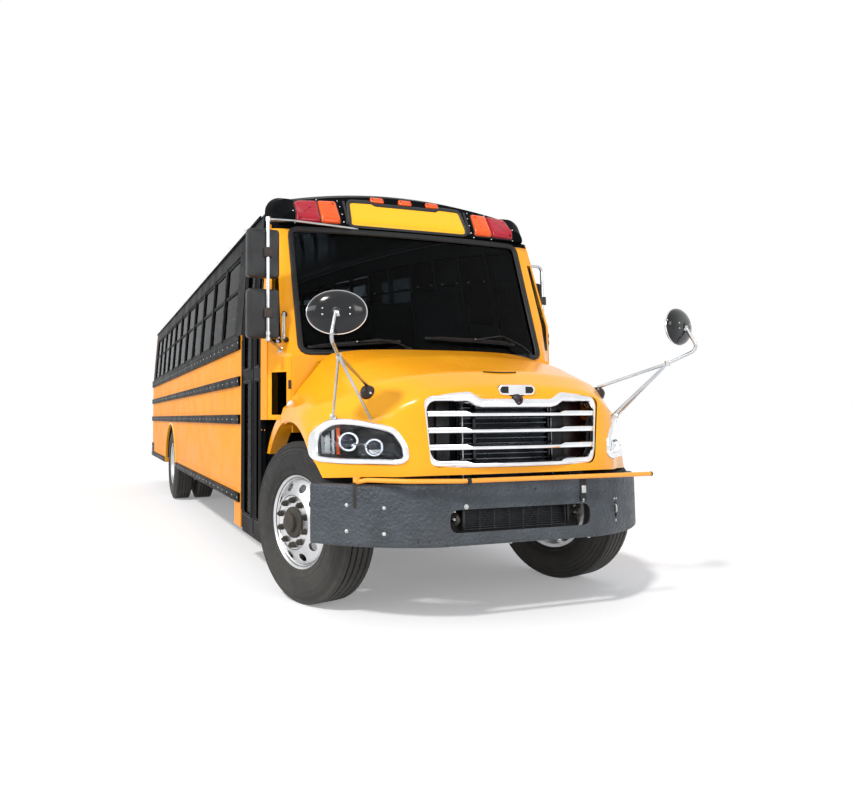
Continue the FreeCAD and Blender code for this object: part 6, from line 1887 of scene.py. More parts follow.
class BUS_OT_windows(bpy.types.Operator):
    """Side windows: black frames, tinted glass and latches"""
    bl_idname = "school_bus.windows"
    bl_label = "Side windows"

    def execute(self, context):
        for side, name in ((-1, "right_windows"), (1, "left_windows")):
            work = Work("black_satin", "dark_glass", "seal_rubber", "zinc")

            def finish(middle, normal):
                pane = abs(normal.y) > 0.8 and self.is_pane(name, middle)
                return "dark_glass" if pane else "black_satin"

            work.node(name, rule=finish)
            for bay in range(BAYS):
                last = BAY_START - bay * BAY
                y = side * wall_at(WINDOW_BAR, 0.034)
                for x in (last - 0.12, last - OPEN + 0.12):
                    work.block((x - 0.022, y - 0.008, WINDOW_BAR + 0.012),
                               (x + 0.022, y + 0.008, WINDOW_BAR + 0.030), "zinc", 0.003)
            work.done(f"{name}_glazed", "bus", "tinted_glass", replaced=(name,), angle=30)
        return {"FINISHED"}

    def is_pane(self, name, middle):
        """Whether a face's middle lies clear of the frame members of its window."""
        if middle.x > BAY_START + 0.02:
            low, high = self.driver_window(name)
            return low.x + 0.03 < middle.x < high.x - 0.03 and low.z + 0.03 < middle.z < high.z - 0.03
        place = (BAY_START - middle.x) % BAY
        edge = context_bar()
        inside = edge < place < OPEN - edge
        return inside and 1.952 < middle.z < 2.614 and abs(middle.z - 2.342) > 0.02

    def driver_window(self, name):
        points = [v.co for v in frame["nodes"][name].data.vertices if v.co.x > BAY_START + 0.02]
        low = Vector([min(p[k] for p in points) for k in range(3)])
        high = Vector([max(p[k] for p in points) for k in range(3)])
        return low, high


def context_bar():
    """Width of the window frames' bars, less a little so that the glass meets them."""
    return bpy.context.scene.school_bus_sizes.frame_bar - 0.004


class BUS_OT_roof(bpy.types.Operator):
    """White roof with riveted bows, gutters and both hatches"""
    bl_idname = "school_bus.roof"
    bl_label = "Roof"

    def execute(self, context):
        rivet = context.scene.school_bus_sizes.rivet
        work = Work("white_enamel", "lining", "black_enamel")
        work.node("roof", rule=lambda middle, normal: (
            "lining" if normal.z < -0.1 and abs(middle.y) < 1.10 else "white_enamel"))
        low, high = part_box("roof")
        tree = surface("roof", lambda w: w.node("roof", "white_enamel"))
        for bay in range(BAYS + 1):
            x = BAY_START - bay * BAY + (BAY - OPEN) / 2
            rows = [[], [], [], []]
            for k in range(41):
                across = -1.122 + 2.244 * k / 40
                hit, normal, _, _ = tree.ray_cast(Vector((x, across, 4.0)), Vector((0, 0, -1)))
                if hit is None:
                    continue
                normal = normal if normal.z > 0 else -normal
                for row, (shift, lift) in zip(rows, ((-0.030, -0.001), (-0.028, 0.0035), (0.028, 0.0035),
                                                     (0.030, -0.001))):
                    row.append(Vector((x + shift, hit.y, hit.z)) + normal * lift)
                if k % 2:
                    for shift in (-0.017, 0.017):
                        work.dome(Vector((x + shift, hit.y, hit.z)) + normal * 0.003, normal, rivet * 0.8,
                                  "white_enamel", 0.5, 6)
            work.grid(rows, "white_enamel")
        for side in (-1, 1):
            y = side * (EAVE_HALF + 0.004)
            gutter = [(low[0] + 0.01, y, EAVE + 0.004), (high[0] - 0.12, y, EAVE + 0.004)]
            work.tube(gutter, 0, "black_enamel", 10, flat=(0.014, 0.011))
        work.done("roof_sheet", "bus", "white_paint", replaced=("roof",), angle=30)
        for name in ("front_hatch", "rear_hatch"):
            self.hatch(name)
        return {"FINISHED"}

    def hatch(self, name):
        """A moulded lid with a raised panel, a rim and a vent cowl."""
        low, high = (Vector(corner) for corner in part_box(name))
        work = Work("white_enamel", "grey_plastic", "seal_rubber")
        rows = []
        base = high.z - (high.z - low.z) + 0.004
        for inset, height in ((0.0, base), (0.0, high.z - 0.022), (0.006, high.z - 0.014),
                              (0.030, high.z - 0.012),
                              (0.045, high.z - 0.012), (0.060, high.z - 0.002), (0.075, high.z),
                              (0.16, high.z)):
            ring = rounded([(low.x + inset, low.y + inset), (high.x - inset, low.y + inset),
                            (high.x - inset, high.y - inset), (low.x + inset, high.y - inset)], 0.05, 6)
            rows.append([Vector((x, y, height)) for x, y in ring])
        made = work.grid(rows, "white_enamel", around=True)
        work.fan(made[-1], "white_enamel", flip=True)
        made = work.grid([list(rows[0]), [p.lerp((low + high) / 2, 0.04) for p in rows[0]]],
                         "seal_rubber", around=True)
        middle = (low + high) / 2
        for k in range(5):
            x = middle.x - 0.10 + k * 0.05
            work.tube([(x, middle.y - 0.17, high.z - 0.001), (x, middle.y + 0.17, high.z - 0.001)], 0,
                      "white_enamel", 8,
                      flat=(0.004, 0.012))
        work.done(f"{name}_lid", name, "white_paint", replaced=(name,), angle=35)


# ------------------------------------------------------------------ mirrors

class BUS_OT_crossview_mirrors(bpy.types.Operator):
    """Oval mirrors that stand on the hood's corners"""
    bl_idname = "school_bus.crossview_mirrors"
    bl_label = "Crossview mirrors"

    def execute(self, context):
        for side in (-1, 1):
            work = Work("gloss_plastic", "chrome", "stainless", "mirror_glass", "dark_red_plastic", "zinc",
                        "seal_rubber")
            centre = Vector((ahead(1.040), side * 1.160, 1.772))
            turn = Matrix.Rotation(math.radians(22) * side, 3, "Z")
            self.head(work, centre, turn)
            self.stalk(work, side, centre, turn)
            work.done(f"crossview_{'left' if side > 0 else 'right'}", "hood", "mirror_shell", angle=40,
                      replaced=("crossview_mirrors",) if side > 0 else ())
        return {"FINISHED"}

    def ring(self, centre, turn, deep, wide, tall, count=56):
        return [centre + turn @ Vector((deep, wide * math.cos(2 * math.pi * k / count),
                                        tall * math.sin(2 * math.pi * k / count))) for k in range(count)]

    def head(self, work, centre, turn):
        """A domed back, a rim and a bulging mirror."""
        rows = [self.ring(centre, turn, deep, wide, tall) for deep, wide, tall in (
            (0.004, 0.163, 0.118), (0.012, 0.163, 0.118), (0.022, 0.157, 0.113), (0.031, 0.146, 0.104),
            (0.039, 0.130, 0.092), (0.046, 0.108, 0.075), (0.051, 0.080, 0.055), (0.0535, 0.045, 0.031))]
        made = work.grid(rows, "gloss_plastic", around=True)
        work.fan(made[-1], "gloss_plastic", flip=True)
        rim = self.ring(centre, turn, 0.002, 0.1615, 0.1165)
        work.tube(rim, 0.0055, "chrome", 8, closed=True)
        rows = [self.ring(centre, turn, deep, wide, tall) for deep, wide, tall in (
            (0.000, 0.158, 0.113), (-0.006, 0.140, 0.100), (-0.014, 0.105, 0.075), (-0.019, 0.060, 0.043),
            (-0.021, 0.020, 0.014))]
        made = work.grid(rows, "mirror_glass", around=True, flip=True)
        work.fan(made[-1], "mirror_glass")

    def stalk(self, work, side, centre, turn):
        mount, joint, bend, top = (Vector((ahead(x), side * y, z)) for x, y, z in (
            (0.655, 0.835, 1.395), (0.980, 1.130, 1.540), (1.142, 1.230, 1.622), (1.092, 1.186, 1.760)))
        work.tube(smooth_path([mount, joint, bend, top], 0.055, 8), 0.0105, "stainless", 14)
        clamp = centre + turn @ Vector((0.052, 0, 0))
        work.lathe(clamp, turn @ Vector((1, 0, 0)),
                   [(-0.004, 0.024), (0.004, 0.024), (0.007, 0.020), (0.008, 0.0001)],
                   "black_plastic", 24)
        work.block(clamp + Vector((-0.004, -0.017, -0.030)), clamp + Vector((0.012, 0.017, 0.004)),
                   "stainless", 0.004)
        for across in (-0.074, 0.074):
            for up in (-0.017, 0.017):
                place = centre + turn @ Vector((0.0505, across, up))
                work.dome(place, turn @ Vector((1, 0, 0)), 0.0055, "zinc", 0.7, 12)
        for foot in ((0.748, 0.846, 1.185), (0.600, 1.036, 1.206)):
            low = Vector((ahead(foot[0]), side * foot[1], foot[2]))
            work.rod(low, joint, 0.0085, "stainless", 14)
            hit, normal = on_hood(side * foot[1],
                                  foot[2] - 0.012) if foot[0] > 0.7 else on_top(foot[0], side * foot[1])
            way = (joint - low).normalized()
            work.lathe(low - way * 0.004, normal,
                       [(-0.012, 0.020), (0.003, 0.020), (0.005, 0.018), (0.006, 0.0001)],
                       "stainless", 20)
            side_way = normal.cross(way).normalized()
            for shift in (-0.016, 0.016):
                work.bolt(low + side_way * shift + normal * 0.002, normal, 0.007, "zinc")
        hit, normal = on_top(0.655, side * 0.835)
        profile = [(-0.010, 0.047), (0.005, 0.047), (0.016, 0.043), (0.030, 0.034), (0.042, 0.020),
                   (0.047, 0.0001)]
        work.lathe(hit, normal, profile, "dark_red_plastic", 28)
        side_way = normal.orthogonal().normalized()
        for turned in (0, 120, 240):
            out = Matrix.Rotation(math.radians(turned), 3, normal) @ side_way
            work.bolt(hit + out * 0.038 + normal * 0.018, (normal + out * 0.7), 0.0065, "zinc")
        work.lathe(joint - Vector((0, 0, 0.016)), (0, 0, 1), [(0, 0.017), (0.032, 0.017)], "zinc", 6)


def mirror_case(work, low, high, back, front, soft=0.028):
    """A mirror's rounded case, four facets rising to its clamp, its glass towards the driver."""
    outline = evenly_flat(rounded([(low[0], low[1]), (high[0], low[1]), (high[0], high[1]),
                                   (low[0], high[1])], soft, 6),
                          96)
    middle = ((low[0] + high[0]) / 2, (low[1] + high[1]) / 2)
    rows = []
    for out, x in ((-0.004, back + 0.004), (0.0, back + 0.012), (0.0, front - 0.030), (-0.003, front - 0.020),
                   (-0.010, front - 0.014)):
        rows.append([Vector((x, y, z)) for y, z in grown(outline, out)])
    edge = grown(outline, -0.010)
    half = (high[0] - low[0]) / 2
    for share in (0.85, 0.65, 0.45, 0.25, 0.08):
        row = []
        for y, z in edge:
            place = (middle[0] + (y - middle[0]) * share, middle[1] + (z - middle[1]) * share)
            slope = abs(place[0] - middle[0]) / half
            steep = abs(place[1] - middle[1]) / (high[1] - low[1]) * 2
            row.append(Vector((front - 0.014 * max(slope, 0.0) - 0.010 * (1 - slope) * steep, *place)))
        rows.append(row)
    made = work.grid(rows, "black_plastic", around=True, flip=True)
    work.fan(made[-1], "black_plastic")
    rows = [[Vector((x, y, z)) for y, z in grown(outline, out)] for out, x in (
        (-0.004, back + 0.004), (-0.009, back + 0.001), (-0.011, back + 0.005))]
    made = work.grid(rows, "black_plastic", around=True)
    work.fan(made[-1], "mirror_glass", flip=True)


class BUS_OT_side_mirrors(bpy.types.Operator):
    """Rear-view mirrors on both sides with their bars, arms and clamps"""
    bl_idname = "school_bus.side_mirrors"
    bl_label = "Side mirrors"

    def execute(self, context):
        work = Work("stainless", "black_plastic", "mirror_glass", "zinc", "brown_plastic")
        x, y = ahead(-0.200), -1.241
        work.rod((x, y, 1.740), (x, y, 2.620), 0.013, "stainless", 20)
        work.tube(smooth_path([(x, y, 2.600), (ahead(-0.380), -1.000, 2.655), (ahead(-0.525), -0.446, 2.675)],
                              0.06, 8),
                  0.010, "stainless", 14)
        work.rod((x, y, 1.752), (ahead(-0.318), -1.115, 1.690), 0.010, "stainless")
        work.rod((x, y, 1.790), (ahead(-0.345), -1.125, 1.765), 0.008, "stainless")
        for low, high in ((1.760, 2.110), (2.190, 2.540)):
            mirror_case(work, (-1.385, low), (-1.150, high), x - 0.085, x - 0.010)
            self.clamp(work, (x, y), (low + high) / 2)
        for height in (1.752, 1.790, 2.600):
            work.lathe((x, y, height - 0.014), (0, 0, 1), [(0, 0.018), (0.028, 0.018)], "stainless", 18)
            work.bolt((x + 0.017, y, height), (1, 0, 0), 0.0065, "zinc")
        for place in ((-0.318, -1.115, 1.690), (-0.345, -1.125, 1.765)):
            work.block((ahead(place[0]) - 0.006, place[1] - 0.022, place[2] - 0.022),
                       (ahead(place[0]) + 0.004, place[1] + 0.022, place[2] + 0.022), "stainless", 0.003)
        self.handle(work)
        work.done("mirrors_right", "bus", "mirror_shell", replaced=("right_mirrors",))
        self.left()
        return {"FINISHED"}

    def clamp(self, work, bar, height):
        x, y = bar
        work.block((x - 0.022, y - 0.030, height - 0.036), (x + 0.018, y + 0.030, height + 0.036),
                   "brown_plastic", 0.006)
        for shift in (-0.021, 0.021):
            work.bolt((x + 0.017, y, height + shift), (1, 0, 0), 0.005, "black_plastic", 0.004)

    def handle(self, work):
        """A grab handle on the right corner post."""
        tree = surface("cowl", lambda w: w.node("cowl", "yellow_enamel"))
        ends = []
        for height in (1.760, 1.950):
            hit, normal, _, _ = tree.ray_cast(Vector((ahead(2.0), -1.080, height)), Vector((-1, 0, 0)))
            normal = normal if normal.x > 0 else -normal
            work.lathe(hit, normal, [(-0.003, 0.020), (0.010, 0.020), (0.018, 0.015), (0.040, 0.013)],
                       "black_plastic", 18)
            ends.append((hit, hit + normal * 0.046))
        path = smooth_path([ends[0][0], ends[0][1], ends[1][1], ends[1][0]], 0.022, 6)
        work.tube(path, 0.0105, "stainless", 14)

    def left(self):
        work = Work("stainless", "black_plastic", "mirror_glass", "zinc", "brown_plastic")
        x, y = ahead(-0.615), 1.300
        path = smooth_path([(x, 1.160, 2.500), (x, y, 2.500), (x, y, 1.850), (x, 1.204, 1.850)], 0.05, 8)
        work.tube(path, 0.013, "stainless", 16)
        for wall, height in ((1.158, 2.500), (1.200, 1.850)):
            work.block((x - 0.032, wall, height - 0.030), (x + 0.032, wall + 0.012, height + 0.030),
                       "stainless", 0.004)
            for shift in (-0.022, 0.022):
                work.bolt((x + shift, wall + 0.012, height - 0.018), (0, 1, 0), 0.006, "zinc")
        mirror_case(work, (1.200, 2.040), (1.312, 2.360), x - 0.085, x - 0.010, 0.024)
        mirror_case(work, (1.232, 1.885), (1.322, 1.990), x - 0.060, x - 0.010, 0.018)
        for height in (2.200, 1.938):
            self.clamp(work, (x, y), height)
        work.done("mirrors_left", "bus", "mirror_shell", replaced=("left_mirrors",))


# ------------------------------------------------------------------ doors

class BUS_OT_entrance(bpy.types.Operator):
    """Entrance leaves with their glass, rubber and hinges"""
    bl_idname = "school_bus.entrance"
    bl_label = "Entrance doors"

    def execute(self, context):
        for name, rear, front in (("rear_leaf", -1.324, -0.894), ("front_leaf", -0.866, -0.606)):
            self.leaf(name, ahead(rear), ahead(front))
        return {"FINISHED"}

    def leaf(self, name, rear, front):
        work = Work("black_satin", "dark_glass", "seal_rubber", "zinc", "stainless")
        frame_width = 0.045

        def finish(middle, normal):
            along = rear + frame_width < middle.x < front - frame_width
            up = 0.420 < middle.z < 1.500 or 1.590 < middle.z < 2.540
            return "dark_glass" if along and up and abs(normal.y) > 0.8 else "black_satin"

        work.node(name, rule=finish)
        for low, high in ((0.420, 1.500), (1.590, 2.540)):
            corners = rounded([(rear + frame_width, low), (front - frame_width, low),
                               (front - frame_width, high),
                               (rear + frame_width, high)], 0.030, 5)
            for out, lift, wide in ((-0.002, 0.0025, 0.008), (-0.013, -0.006, 0.006)):
                path = []
                for x, z in evenly_flat(grown(corners, out), 90):
                    path.append(Vector((x, -(wall_at(z) - 0.008 + lift), z)))
                work.tube(path, 0, "seal_rubber", 6, closed=True, flat=(wide, 0.005))
        meeting = front if name == "rear_leaf" else rear
        way = 1 if name == "rear_leaf" else -1
        seal = [Vector((meeting + way * 0.0065, -(wall_at(0.312 + k * 0.114) - 0.025), 0.312 + k * 0.114))
                for k in range(21)]
        work.tube(seal, 0, "seal_rubber", 10, flat=(0.017, 0.0065))
        work.tube([Vector((rear + 0.004, -(wall_at(0.3) - 0.020), 0.309)),
                   Vector((front - 0.004, -(wall_at(0.3) - 0.020), 0.309))], 0, "seal_rubber", 8,
                   flat=(0.012, 0.005))
        hinge = rear + 0.012 if name == "rear_leaf" else front - 0.012
        for height in (0.52, 1.10, 1.70):
            work.block((hinge - 0.010, -1.1935, height), (hinge + 0.010, -1.186, height + 0.110), "stainless",
                       0.002)
            for shift in (0.02, 0.09):
                work.dome((hinge, -1.1935, height + shift), (0, -1, 0), 0.005, "zinc", 0.5, 10)
        bar = (rear + front) / 2
        work.tube(smooth_path([(bar - 0.11, -1.150, 1.560), (bar - 0.11, -1.118, 1.560),
                               (bar + 0.11, -1.118, 1.560),
                               (bar + 0.11, -1.150, 1.560)], 0.02, 6), 0.008, "stainless", 12)
        work.done(f"{name}_glazed", name, "black_paint", replaced=(name,), angle=30)


def evenly_flat(outline, count):
    """A closed flat outline's points spread evenly round it."""
    return [(p.x, p.y) for p in even_ring([Vector((x, y, 0)) for x, y in outline], count)]


class BUS_OT_rear(bpy.types.Operator):
    """Rear wall, emergency door, windows, lamps and bumper"""
    bl_idname = "school_bus.rear"
    bl_label = "Rear"

    def execute(self, context):
        rivet = context.scene.school_bus_sizes.rivet
        # The rear wall takes the side enamel, painted a darker orange as shade.
        work = Work("panel_enamel", "black_enamel", "lining", "seal_rubber", "dark_glass", "black_satin")
        work.node("rear_wall", rule=lambda middle, normal: "lining" if normal.x > 0.5 else "panel_enamel")
        for side in (-1, 1):
            corners = rounded([(side * 0.505, 1.915), (side * 1.055, 1.915), (side * 1.055, 2.565),
                               (side * 0.505, 2.565)],
                              0.045, 5)
            self.frame_round(work, corners, REAR, "seal_rubber", 0.022)
        for height in (1.152, 1.231, 1.474, 1.555, 1.784, 1.901):
            for side in (-1, 1):
                work.tube([(REAR - 0.001, side * 0.425, height), (REAR - 0.001, side * 1.190, height)], 0,
                          "black_enamel",
                          8, flat=(0.010, 0.004))
        for side in (-1, 1):
            for k in range(9):
                across = side * (0.45 + k * 0.09)
                for height in (0.56, 1.10, 1.27, 1.43, 1.60, 1.74, 1.905):
                    work.dome((REAR, across, height), (-1, 0, 0), rivet, "panel_enamel", 0.5, 8)
            for k in range(16):
                work.dome((REAR, side * 1.165, 0.56 + k * 0.09), (-1, 0, 0), rivet, "panel_enamel", 0.5, 8)
        work.done("rear_sheet", "bus", "yellow_paint", replaced=("rear_wall",), angle=25)
        work = Work("black_satin", "dark_glass")
        work.node("rear_windows", rule=lambda middle, normal: self.pane(middle, normal))
        work.done("rear_glass", "bus", "tinted_glass", replaced=("rear_windows",))
        self.door()
        self.lamps()
        self.bumper(context.scene.school_bus_sizes.bolt)
        return {"FINISHED"}

    def pane(self, middle, normal):
        inside = 0.54 < abs(middle.y) < 1.02 and 1.955 < middle.z < 2.525 and abs(normal.x) > 0.8
        return "dark_glass" if inside else "black_satin"

    def frame_round(self, work, corners, face, finish, wide):
        path = [Vector((face - 0.001, y, z)) for y, z in evenly_flat(corners, 96)]
        work.tube(path, 0, finish, 8, closed=True, flat=(wide, 0.006))

    def door(self):
        """A yellow leaf with two gasketed windows, a handle, a latch plate and strap hinges."""
        # The door leaf takes the side enamel, painted a darker orange as shade.
        work = Work("panel_enamel", "dark_glass", "seal_rubber", "black_satin", "stainless", "zinc", "lining")

        def finish(middle, normal):
            if abs(middle.y) < 0.300 and (1.290 < middle.z < 1.720
                                          or 1.920 < middle.z < 2.560) and abs(normal.x) > 0.8:
                return "dark_glass"
            if abs(middle.y) > 0.30 and middle.x < REAR - 0.004:
                return "stainless"
            return "lining" if normal.x > 0.5 else "panel_enamel"

        work.node("rear_door", rule=finish)
        for low, high in ((1.290, 1.720), (1.920, 2.560)):
            corners = rounded([(-0.304, low), (0.304, low), (0.304, high), (-0.304, high)], 0.035, 5)
            self.frame_round(work, corners, REAR, "seal_rubber", 0.016)
        corners = rounded([(-0.390, 1.160), (0.390, 1.160), (0.390, 2.680), (-0.390, 2.680)], 0.030, 5)
        self.frame_round(work, corners, REAR + 0.002, "seal_rubber", 0.006)
        for height in (1.30, 1.90, 2.48):
            work.block((REAR - 0.006, -0.392, height + 0.010), (REAR - 0.001, -0.310, height + 0.080),
                       "stainless", 0.002)
            for shift in (0.025, 0.065):
                work.bolt((REAR - 0.006, -0.330, height + shift), (-1, 0, 0), 0.007, "zinc")
        work.done("emergency_door", "rear_door", "yellow_paint", replaced=("rear_door",))

    def lamps(self):
        work = Work("black_plastic", "red_lens", "amber_lens", "zinc", "white_lens")
        for side in (-1, 1):
            for across, height, radius, finish in ((0.700, 2.700, 0.088, "amber_lens"),
                                                   (0.905, 2.690, 0.088, "red_lens"),
                                                   (0.900, 1.330, 0.088, "red_lens"),
                                                   (0.700, 1.330, 0.060, "amber_lens")):
                centre = Vector((REAR, side * across, height))
                work.lathe(centre, (-1, 0, 0), [(0, radius + 0.006), (0.012, radius + 0.006),
                                                (0.016, radius + 0.002),
                                                (0.017, radius - 0.008)], "black_plastic", 40)
                work.lathe(centre, (-1, 0, 0), [(0.010, radius - 0.006), (0.022, radius - 0.010),
                                                (0.029, radius - 0.026),
                                                (0.032, radius * 0.35), (0.0325, 0.0001)], finish, 40)
                for turn in (45, 135, 225, 315):
                    out = Vector((0, math.cos(math.radians(turn)), math.sin(math.radians(turn))))
                    work.dome(centre + out * (radius + 0.001) + Vector((-0.014, 0, 0)), (-1, 0, 0), 0.004,
                              "zinc", 0.6, 8)
        for across in (-0.245, 0.0, 0.245):
            work.block((REAR - 0.018, across - 0.050, 2.860), (REAR + 0.001, across + 0.050, 2.895),
                       "red_lens", 0.008)
        for side in (-1, 1):
            work.block((REAR - 0.014, side * 1.08 - 0.045, 1.020), (REAR + 0.001, side * 1.08 + 0.045, 1.060),
                       "red_lens", 0.005)
        work.done("rear_lamps", "bus", "red_lens", replaced=("warning_lamps",))

    def bumper(self, radius):
        work = Work("bumper_coat", "zinc", "black_plastic")
        work.node("rear_bumper", "bumper_coat")
        low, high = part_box("rear_bumper")
        for side in (-1, 1):
            for across in (0.395, 0.435, 0.95):
                for height in (0.575, 0.665):
                    work.bolt((low[0], side * across, height), (-1, 0, 0), radius, "zinc")
            for x in (REAR + 0.06, REAR + 0.24):
                for height in (0.575, 0.665):
                    work.bolt((x, side * high[1], height), (0, side, 0), radius, "zinc")
        for height in (high[2] - 0.012, low[2] + 0.012):
            work.tube([(low[0] - 0.001, -1.10, height), (low[0] - 0.001, 1.10, height)], 0, "bumper_coat", 8,
                      flat=(0.010, 0.004))
        work.done("rear_bumper_plate", "bus", "bumper_steel", replaced=("rear_bumper",))


# ------------------------------------------------------------------ stop arm, arches

class BUS_OT_stop_arm(bpy.types.Operator):
    """Blank red stop blade with a white border and two lamps, and its base"""
    bl_idname = "school_bus.stop_arm"
    bl_label = "Stop arm"

    def execute(self, context):
        low, high = (Vector(corner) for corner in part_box("stop_arm"))
        centre = Vector((low.x + 0.217, 0, (low.z + high.z) / 2))
        near, far = low.y + 0.008, low.y + 0.016
        work = Work("red_enamel", "white_enamel", "black_satin", "red_lens", "zinc", "black_plastic")
        self.octagon(work, centre, near, far, 0.234, "white_enamel", 0.002)
        for face, way in ((near, -1), (far, 1)):
            self.octagon(work, centre, face + way * 0.0002, face + way * 0.0012, 0.216, "red_enamel", 0.0005)
        for height in (0.125, -0.125):
            place = centre + Vector((0, 0, height))
            for face, way in ((near, -1), (far, 1)):
                place.y = face
                work.lathe(place, (0, way, 0), [(0, 0.046), (0.004, 0.046), (0.006, 0.043)], "black_plastic",
                           32)
                work.lathe(place, (0, way, 0), [(0.004, 0.040), (0.0065, 0.036), (0.0075, 0.0001)],
                           "red_lens", 32)
        hinge = high.x - 0.012
        work.block((centre.x + 0.19, near, 1.590), (hinge, far, 1.710), "black_satin", 0.003)
        work.rod((hinge, (near + far) / 2, 1.560), (hinge, (near + far) / 2, 1.740), 0.011, "black_satin", 20)
        for shift in (0.235, 0.265):
            for height in (1.61, 1.65, 1.69):
                work.bolt((centre.x + shift, far, height), (0, 1, 0), 0.006, "zinc")
        work.done("stop_blade", "stop_arm", "red_paint", replaced=("stop_arm",))
        self.base(context.scene.school_bus_sizes.bolt)
        return {"FINISHED"}

    def octagon(self, work, centre, near, far, radius, finish, rim):
        corners = [(centre.x + radius * math.cos(math.radians(22.5 + 45 * k)),
                    centre.z + radius * math.sin(math.radians(22.5 + 45 * k))) for k in range(8)]
        outline = rounded(corners, 0.012, 3)
        rows = [[Vector((x, y, z)) for x, z in grown(outline, out)] for out, y in (
            (-rim * 2, near), (0, near + rim), (0, far - rim), (-rim * 2, far))]
        made = work.grid(rows, finish, around=True)
        work.fan(made[0], finish, flip=True)
        work.fan(made[-1], finish)

    def base(self, radius):
        low, high = (Vector(corner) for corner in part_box("stop_arm_base"))
        work = Work("black_plastic", "zinc", "seal_rubber")
        work.block(low, high, "black_plastic", 0.008)
        work.block((low.x + 0.012, high.y - 0.004, low.z + 0.014),
                   (high.x - 0.012, high.y + 0.003, high.z - 0.014),
                   "black_plastic", 0.003)
        for x in (low.x + 0.022, high.x - 0.022):
            for z in (low.z + 0.026, high.z - 0.026):
                work.bolt((x, high.y + 0.002, z), (0, 1, 0), radius * 0.6, "zinc")
        work.done("stop_arm_box", "bus", "black_paint", replaced=("stop_arm_base",))


class BUS_OT_arches(bpy.types.Operator):
    """Rolled lips round the rear wheel arches, and liners over the wheels"""
    bl_idname = "school_bus.arches"
    bl_label = "Rear arches"

    def execute(self, context):
        work = Work("yellow_enamel", "seal_rubber")
        start = math.asin((0.505 - 0.440) / 0.690)
        for side in (-1, 1):
            rows = []
            for radius, out in ((0.671, -0.020), (0.668, 0.012), (0.676, 0.018), (0.690, 0.016),
                                (0.712, 0.004),
                                (0.716, -0.001)):
                row = []
                for k in range(65):
                    angle = start + (math.pi - 2 * start) * k / 64
                    row.append(Vector((REAR_AXLE + radius * math.cos(angle), side * (HALF + out),
                                       0.440 + radius * math.sin(angle))))
                rows.append(row)
            work.grid(rows, "yellow_enamel", flip=side > 0)
        work.done("arch_lips", "bus", "yellow_paint")
        self.wells()
        return {"FINISHED"}

    def wells(self):
        """Pressed liners over the twin wheels, ribbed, with a wall inboard of the tyres."""
        work = Work("black_satin", "chassis_coat")
        for side in (-1, 1):
            rows = []
            inner, outer = 0.560, 1.182
            for k in range(41):
                angle = math.radians(12) + math.radians(156) * k / 40
                radius = 0.655 + (0.003 if k % 4 < 2 else 0.0)
                x, z = REAR_AXLE + radius * math.cos(angle), 0.440 + radius * math.sin(angle)
                rows.append([Vector((x, side * outer, z)), Vector((x, side * inner, z)),
                             Vector((x, side * inner, max(0.760, z - 0.5)))])
            work.grid(rows, "black_satin")
        work.done("wheelhouse_liners", "bus", "frame_paint", angle=20)


# ------------------------------------------------------------------ cabin

def pad_mesh(size, soft, cells=0.020, cap=0.016):
    """A closed pad of a size, centred on the origin, blown up a little by cloth under pressure."""
    made = bmesh.new()
    bmesh.ops.create_cube(made, size=1.0)
    bmesh.ops.scale(made, vec=Vector([s - 0.012 for s in size]), verts=made.verts)
    bmesh.ops.bevel(made, geom=made.edges[:], offset=soft, segments=3, affect="EDGES", profile=0.5)
    mesh = bpy.data.meshes.new("pad")
    made.to_mesh(mesh)
    made.free()
    piece = bpy.data.objects.new("pad", mesh)
    bpy.context.scene.collection.objects.link(piece)
    remesh = piece.modifiers.new("remesh", "REMESH")
    remesh.mode, remesh.voxel_size = "VOXEL", cells
    piece.data = bpy.data.meshes.new_from_object(piece.evaluated_get(bpy.context.evaluated_depsgraph_get()))
    piece.modifiers.clear()
    blow_up(piece, cap)
    mesh = piece.data
    bpy.data.objects.remove(piece)
    return mesh


def blow_up(piece, cap):
    """Runs cloth under pressure for 20 frames and keeps its crowned shape, scaled to a greatest movement."""
    scene = bpy.context.scene
    rest = [vert.co.copy() for vert in piece.data.vertices]
    cloth = piece.modifiers.new("cloth", "CLOTH")
    cloth.settings.use_pressure = True
    cloth.settings.uniform_pressure_force = 4.0
    cloth.settings.effector_weights.gravity = 0.0
    cloth.settings.quality = 5
    for number in range(1, 21):
        scene.frame_set(number)
    shown = piece.evaluated_get(bpy.context.evaluated_depsgraph_get()).to_mesh()
    moved = [vert.co.copy() for vert in shown.vertices]
    piece.modifiers.clear()
    longest = max((end - start).length for start, end in zip(rest, moved))
    share = min(1.0, cap / longest)
    for vert, start, end in zip(piece.data.vertices, rest, moved):
        vert.co = start.lerp(end, share)
    scene.frame_set(1)


